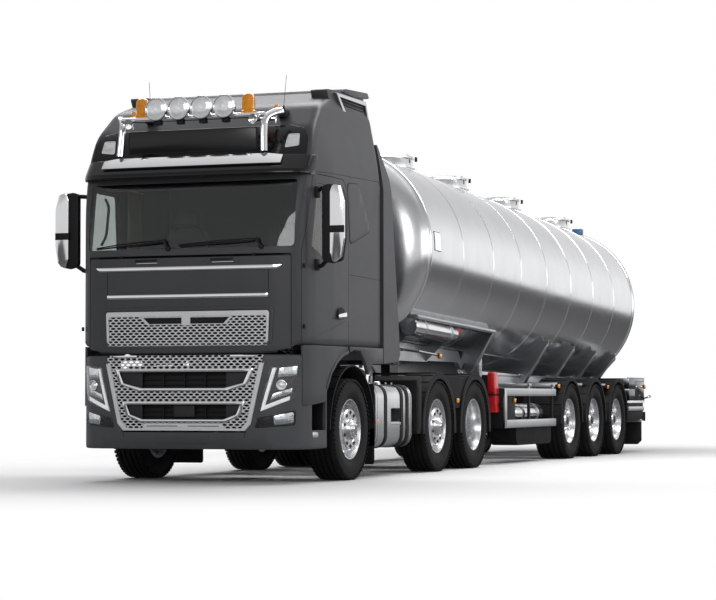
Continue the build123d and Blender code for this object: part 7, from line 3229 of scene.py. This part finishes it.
    def _valve(self, tank: Tank) -> None:
        """Adds the blue cover of the vent valve behind the last turret."""
        piece = Piece("vent_valve_cover", "trailer", "polished_stainless")
        foot = tank.spot(13.700, 0.0) + Vector((0.300, 0, -0.045))
        low = foot + Vector((-0.078, -0.063, 0))
        high = foot + Vector((0.078, 0.063, 0.088))
        piece.block(tuple(low), tuple(high), BLUE_ENAMEL, 0.018)
        piece.lathe(
            [(0, 0), (0, 0.020), (0.018, 0.020), (0.024, 0.012), (0.024, 0)], CHROME,
            tuple(foot + Vector((0, 0, 0.086))), (0, 0, 1), 20,
        )
        piece.build(crease=34)


@dataclass
class SideGuards:
    """The trailer's side guards, with the extinguisher box before them and the tray behind them."""

    face: float = 1.190
    front: float = 6.840
    rear: float = 9.190
    bars: tuple[tuple[float, float], ...] = ((0.449, 0.549), (0.842, 0.938))

    def build(self) -> None:
        """Builds both sides."""
        piece = Piece("side_guards_and_boxes", "trailer", "tank_aluminium")
        for low, high in self.bars:
            piece.block(
                (self.face - 0.035, at(self.front), low), (self.face, at(self.rear), high),
                BRIGHT_ALUMINIUM, 0.008,
            )
            for share in (0.3, 0.7):
                z = low + (high - low) * share
                piece.block(
                    (self.face - 0.001, at(self.front + 0.05), z - 0.003),
                    (self.face + 0.002, at(self.rear), z + 0.003), SATIN_SILVER, 0.0008,
                )
        # corner post, folded inwards as a dark plate
        piece.block(
            (self.face - 0.035, at(self.front), 0.449), (self.face + 0.003, at(self.front + 0.075), 0.938),
            BRIGHT_ALUMINIUM, 0.006,
        )
        piece.block(
            (0.960, at(self.front), 0.449), (self.face - 0.02, at(self.front + 0.012), 0.938),
            MOULDED_BLACK, 0.003,
        )
        for station in (8.030, 9.130):
            piece.block(
                (self.face - 0.060, at(station - 0.03), 0.455),
                (self.face - 0.030, at(station + 0.03), 0.935), MOULDED_BLACK,
            )
        for station in (8.030, 9.160):
            piece.block(
                (0.500, at(station - 0.02), 0.960), (self.face - 0.010, at(station + 0.02), 1.000),
                SATIN_SILVER,
            )
            piece.block(
                (self.face - 0.060, at(station - 0.02), 0.900),
                (self.face - 0.030, at(station + 0.02), 1.000), SATIN_SILVER,
            )
        self._boxes(piece)
        piece.mirrored()
        piece.build("side_guards", crease=34)

    def _boxes(self, piece: Piece) -> None:
        """Adds the red extinguisher box, the black control box, the tray and the polished air tank on it."""
        red = rounded(
            sy(
                [
                    (6.640, 0.960), (6.640, 1.120), (6.660, 1.135), (6.770, 1.135), (6.800, 1.080),
                    (6.900, 0.700), (6.890, 0.640), (6.730, 0.640), (6.710, 0.700),
                ]
            ),
            0.05,
        )
        piece.plate(red, Facing.SIDE, (1.020, 1.112), RED_PLASTIC, 0.022)
        piece.block((0.920, at(6.720), 0.650), (1.030, at(6.870), 1.100), MOULDED_BLACK, 0.012)
        piece.block((1.010, at(6.640), 0.845), (1.116, at(6.868), 0.870), MOULDED_BLACK, 0.004)
        piece.block((1.060, at(6.800), 0.700), (1.170, at(6.930), 0.760), MOULDED_BLACK)
        piece.block((0.930, at(6.890), 0.520), (1.150, at(7.420), 0.850), MOULDED_BLACK, 0.020)
        marker(piece, 1.150, 7.349, 0.788)
        tray = rounded(
            sy(
                [
                    (7.480, 0.300), (7.480, 0.470), (9.120, 0.470), (9.120, 0.280), (9.060, 0.225),
                    (7.560, 0.225),
                ]
            ),
            0.05,
        )
        piece.plate(tray, Facing.SIDE, (0.800, 1.140), TYRE_RUBBER, 0.010)
        piece.block((0.960, at(7.400), 0.440), (1.060, at(7.520), 0.560), MOULDED_BLACK)
        section = [
            (0, 0), (0.010, 0.06), (0.040, 0.110), (0.075, 0.122), (1.20, 0.122), (1.235, 0.110),
            (1.265, 0.06), (1.275, 0),
        ]
        piece.lathe(section, TANK_STEEL, (0.985, at(7.640), 0.625), (0, 1, 0), 48)
        for station in (7.90, 8.62):
            ring = [(-0.018, 0.1225), (-0.018, 0.127), (0.018, 0.127), (0.018, 0.1225)]
            piece.lathe(ring, SATIN_SILVER, (0.985, at(station), 0.625), (0, 1, 0), 48, looped=True)
            piece.block(
                (0.900, at(station) - 0.025, 0.465), (1.070, at(station) + 0.025, 0.530), MOULDED_BLACK,
            )


@dataclass
class TrailerGuards(Mudguards):
    """The guards of the trailer's three axles on their carrier tubes."""

    stations: tuple[float, ...] = (9.920, 11.235, 12.550)
    radius: float = 0.560

    def build(self) -> None:
        """Builds the guards and tubes of both sides."""
        piece = Piece("moulded_trailer_guards", "trailer", "black_plastic")
        for station in self.stations:
            self.arch(piece, station, self.radius, 0.815, (0.480, 0.480), 0.022)
            for offset in (-0.300, 0.300):
                spot = (0.500, at(station + offset), 0.990)
                carrier = [(0, 0), (0, 0.034), (0.600, 0.034), (0.600, 0.0)]
                piece.lathe(carrier, SATIN_SILVER, spot, (1, 0, 0), 24)
                piece.lathe(
                    [(0.598, 0.0), (0.598, 0.040), (0.640, 0.040), (0.645, 0.034), (0.645, 0.0)],
                    MOULDED_BLACK, spot, (1, 0, 0), 24,
                )
                piece.block(
                    (0.90, at(station + offset) - 0.012, 0.975),
                    (1.10, at(station + offset) + 0.012, 1.020), MOULDED_BLACK,
                )
        for station in (9.380, 12.060):
            piece.block(
                (1.080, at(station) - 0.04, 0.955), (1.165, at(station) + 0.22, 0.995), MOULDED_BLACK,
            )
            marker(piece, 1.165, station, 0.975)
        piece.mirrored()
        piece.build("trailer_mudguards", crease=34)


@dataclass
class RearCabinet:
    """The dark stainless cabinet at the tail, with its lamps, outlet, underrun bar and flaps."""

    half: float = 1.200
    front: float = 13.270
    rear: float = 14.250
    sill: float = 0.775
    top: float = 1.110
    outlet_height: float = 0.700
    outlet_radius: float = 0.040

    def build(self) -> None:
        """Builds the cabinet and what it carries."""
        piece = Piece("rear_valve_cabinet", "trailer", "cabinet_stainless")
        well, back = 0.720, 13.9003
        plan = [
            (-self.half, self.front), (-well, self.front), (-well, back), (well, back), (well, self.front),
            (self.half, self.front), (self.half, self.rear), (-self.half, self.rear),
        ]
        piece.plate([(x, at(s)) for x, s in plan], Facing.PLAN, (0.9495, self.top), CABINET_STEEL, 0.005)
        piece.block(
            (-self.half, at(self.front), self.sill), (self.half, at(self.rear), 0.9497), CABINET_STEEL,
            0.002,
        )
        base = Piece("cabinet_base", "trailer", "cabinet_stainless")
        base.block(
            (-self.half + 0.02, at(self.front + 0.02), 0.490),
            (self.half - 0.02, at(self.rear), self.sill), MOULDED_BLACK, 0.006,
        )
        block = drawn(base)
        bore = [
            (self.outlet_radius * math.cos(a), self.outlet_height + self.outlet_radius * math.sin(a))
            for a in np.linspace(0, 2 * math.pi, 33)[:-1]
        ]
        cut(block, prism(bore, Facing.FRONT, (at(self.rear - 0.105), at(self.rear + 0.1))))
        piece.take(block, MOULDED_BLACK)
        ring = [
            (-0.002, 0.042), (-0.002, 0.085), (0.014, 0.085), (0.018, 0.062), (0.050, 0.062),
            (0.054, 0.058), (0.054, 0.042),
        ]
        piece.lathe(ring, CHROME, (0, at(self.rear), self.outlet_height), (0, 1, 0), 40, looped=True)
        self._sides(piece)
        self._tail(piece)
        piece.build("rear_cabinet", crease=34)

    def _sides(self, piece: Piece) -> None:
        """Adds the side doors, the bright edge, the white stripe, the bar and the hanging flaps."""
        for sign in (-1, 1):
            door = oblong((at(13.640), 0.800), (at(14.190), 1.060), 0.02)
            seam = oblong((at(13.632), 0.792), (at(14.198), 1.068), 0.024)
            piece.plate(seam, Facing.SIDE, sided(sign, 1.195, 1.2015), MOULDED_BLACK, 0.0005)
            piece.plate(door, Facing.SIDE, sided(sign, 1.195, 1.2055), CABINET_STEEL, 0.002)
            for station in (13.700, 14.020):
                profile = [(0, 0), (0, 0.018), (0.006, 0.018), (0.009, 0.012), (0.009, 0)]
                piece.lathe(profile, CHROME, (sign * 1.205, at(station), 0.980), (sign, 0, 0), 20)
            piece.plate(
                oblong((at(13.820), 0.905), (at(13.900), 0.945), 0.012), Facing.SIDE,
                sided(sign, 1.204, 1.214),
                MOULDED_BLACK, 0.004,
            )
            piece.block(
                (sign * 1.170, at(self.front), self.top - 0.002),
                (sign * 1.203, at(self.rear + 0.002), self.top + 0.012), SATIN_SILVER, 0.003,
            )
            # white stripe, its vinyl with a painted glow
            piece.block(
                (sign * 1.17, at(self.front), 0.742), (sign * 1.204, at(self.rear), 0.776), WHITE_VINYL_WITH_PAINTED_GLOW,
                0.002,
            )
            piece.block(
                (sign * 1.15, at(self.front), 0.624), (sign * 1.196, at(self.rear), 0.688), SATIN_SILVER,
                0.006,
            )
            marker(piece, sign * 1.202, 14.222, 0.985)
            # outline lamp on a rubber stalk
            path = [
                (sign * 1.17, at(14.14), 0.800), (sign * 1.235, at(14.19), 0.815),
                (sign * 1.275, at(14.21), 0.835),
            ]
            piece.tube(smooth_path(path, 0.03), 0.011, MOULDED_BLACK, 10)
            piece.lathe(
                [(-0.03, 0), (-0.028, 0.018), (0.0, 0.022), (0.028, 0.018), (0.03, 0)], MOULDED_BLACK,
                (sign * 1.285, at(14.215), 0.838), (0, 1, 0), 16,
            )
            for face, colour in ((-0.034, WHITE_DIFFUSER), (0.028, RED_PLASTIC)):
                piece.lathe(
                    [(0, 0), (0, 0.015), (0.006, 0.012), (0.006, 0)], colour,
                    (sign * 1.285, at(14.215) + face, 0.838), (0, 1, 0), 16,
                )
            flap = [
                (sign * 0.700, 0.500), (sign * 1.190, 0.500), (sign * 1.190, 0.170), (sign * 1.130, 0.112),
                (sign * 0.760, 0.112), (sign * 0.700, 0.170),
            ]
            piece.plate(rounded(flap, 0.03), Facing.FRONT, (at(14.090), at(14.100)), MOULDED_BLACK, 0.002)
            piece.block((sign * 0.70, at(14.080), 0.450), (sign * 1.19, at(14.110), 0.495), SATIN_SILVER)

    def _tail(self, piece: Piece) -> None:
        """Adds the rear doors, the lamp clusters, the blank plate and the underrun bar."""
        for x in (-0.400, 0.400):
            piece.plate(
                oblong((x - 0.372, 0.800), (x + 0.372, 1.075), 0.02), Facing.FRONT,
                (at(14.248), at(14.2515)), MOULDED_BLACK, 0.0005,
            )
            piece.plate(
                oblong((x - 0.364, 0.808), (x + 0.364, 1.067), 0.018), Facing.FRONT,
                (at(14.248), at(14.256)), CABINET_STEEL, 0.002,
            )
            piece.plate(
                oblong((x - 0.05, 0.925), (x + 0.05, 0.955), 0.012), Facing.FRONT, (at(14.254), at(14.268)),
                MOULDED_BLACK, 0.004,
            )
        for sign in (-1, 1):
            piece.block(
                (sign * 0.800, at(14.246), 0.800), (sign * 1.160, at(14.282), 0.940), MOULDED_BLACK, 0.010,
            )
            for low, high, colour in (
                (0.815, 0.930, WHITE_DIFFUSER), (0.937, 1.035, AMBER), (1.042, 1.147, RED_PLASTIC),
            ):
                lens = oblong((sign * low, 0.815), (sign * high, 0.925), 0.015)
                piece.plate(lens, Facing.FRONT, (at(14.270), at(14.292)), colour, 0.006)
        piece.block(
            (-self.half, at(14.250), 0.470), (self.half, at(14.318), 0.600), BRIGHT_ALUMINIUM, 0.008,
        )
        for sign in (-1, 1):
            piece.block(
                (sign * (self.half - 0.02), at(14.246), 0.465), (sign * self.half, at(14.3195), 0.605),
                MOULDED_BLACK, 0.006,
            )
            piece.block((sign * 0.400, at(14.170), 0.500), (sign * 0.480, at(14.256), 0.600), FRAME_PAINT)
        # blank plate, its vinyl with a painted glow
        piece.block((-0.260, at(14.312), 0.480), (0.260, at(14.3195), 0.590), WHITE_VINYL_WITH_PAINTED_GLOW, 0.002)


@dataclass
class Ladder:
    """The ladder at the tail, with curved hand rails and gripped rungs."""

    sides: tuple[float, float] = (-1.090, -0.770)
    station: float = 14.120
    foot: float = 1.110
    top: float = 2.900

    def build(self) -> None:
        """Builds the ladder and its stays to the barrel's rear ring."""
        piece = Piece("rear_access_ladder", "trailer", "tank_aluminium")
        for x in self.sides:
            path = [
                (x, at(self.station), self.foot), (x, at(self.station), self.top - 0.12),
                (x, at(self.station) - 0.20, self.top),
            ]
            piece.tube(smooth_path(path, 0.12), 0.018, BRIGHT_ALUMINIUM, 16)
            piece.lathe(
                [(0, 0), (0, 0.036), (0.010, 0.036), (0.014, 0.026), (0.014, 0)], SATIN_SILVER,
                (x, at(self.station), self.foot), (0, 0, 1), 20,
            )
        for step in range(6):
            z = 1.300 + 0.280 * step
            piece.block(
                (self.sides[0], at(self.station) - 0.018, z - 0.012),
                (self.sides[1], at(self.station) + 0.018, z + 0.012), BRIGHT_ALUMINIUM, 0.005,
            )
            for rib in range(9):
                x = self.sides[0] + 0.04 + 0.03 * rib
                piece.block(
                    (x, at(self.station) - 0.016, z + 0.010),
                    (x + 0.010, at(self.station) + 0.016, z + 0.0145), SATIN_SILVER, 0.001,
                )
        for z, reach in ((2.000, -1.060), (2.640, -0.960)):
            for x in self.sides:
                end = max(x, reach)
                piece.tube([(x, at(self.station), z), (end, at(13.850), z)], 0.011, BRIGHT_ALUMINIUM, 10)
        piece.build("rear_ladder", crease=34)


@dataclass
class RoofTrim:
    """The air intakes at the roof's rear corners and the wing between them."""

    face: float = 1.112

    def build(self) -> None:
        """Builds both intakes and the wing."""
        piece = Piece("roof_intakes_and_wing", "tractor", "cab_paint")
        surround = sy(
            [
                (1.040, 3.885), (1.200, 3.645), (1.390, 3.572), (2.235, 3.560), (2.243, 3.620),
                (2.110, 3.905), (1.230, 3.895),
            ]
        )
        piece.plate(rounded(surround, 0.03), Facing.SIDE, (0.900, self.face - 0.034), CAB_PAINT, 0.010)
        rim = sy([(1.235, 3.868), (1.530, 3.610), (2.238, 3.592), (2.100, 3.878)])
        hole = sy([(1.330, 3.835), (1.585, 3.642), (2.190, 3.628), (2.080, 3.832)])
        piece.plate(rim, Facing.SIDE, (self.face - 0.040, self.face), SATIN_SILVER, 0.006, hole=hole)
        dark = sy([(1.310, 3.842), (1.580, 3.635), (2.205, 3.620), (2.090, 3.842)])
        piece.plate(dark, Facing.SIDE, (self.face - 0.045, self.face - 0.022), MOULDED_BLACK, 0.001)
        for row in range(5):
            z = 3.668 + 0.036 * row
            front, rear = 1.540 - (z - 3.668) * 1.15, 2.185 - (z - 3.640) * 0.50
            piece.block(
                (self.face - 0.024, at(front), z - 0.003), (self.face - 0.012, at(rear), z + 0.003),
                GLOSS_BLACK, 0.001,
            )
        piece.mirrored()
        wing = rounded(
            sy(
                [
                    (1.500, 3.900), (1.560, 3.945), (2.120, 3.976), (2.200, 3.979), (2.247, 3.935),
                    (2.215, 3.922), (1.800, 3.890),
                ]
            ),
            0.012, 3,
        )
        piece.plate(wing, Facing.SIDE, (-1.090, 1.090), BUMPER_PAINT, 0.006)
        piece.build(crease=34)


def main() -> None:
    """Sets the colour view, gives the model's nodes their finishes, and builds the studio and each part of
    the lorry in order.
    """
    logging.basicConfig(level=logging.INFO, format="%(message)s")
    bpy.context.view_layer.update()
    view = bpy.context.scene.view_settings
    view.view_transform = "Standard"
    dress_nodes()
    for part in PARTS:
        part().build()


PARTS: list[Callable] = [
    Studio,
    WheelSet,
    Tank,
    CabBody,
    CabGlass,
    Bumper,
    UpperGrille,
    Visor,
    RoofBar,
    RoofTrim,
    Mirrors,
    Wipers,
    FuelTanks,
    TractorGuards,
    DeckFittings,
    TrailerFittings,
    SideGuards,
    TrailerGuards,
    RearCabinet,
    Ladder,
]

if __name__ == "__main__":
    main()
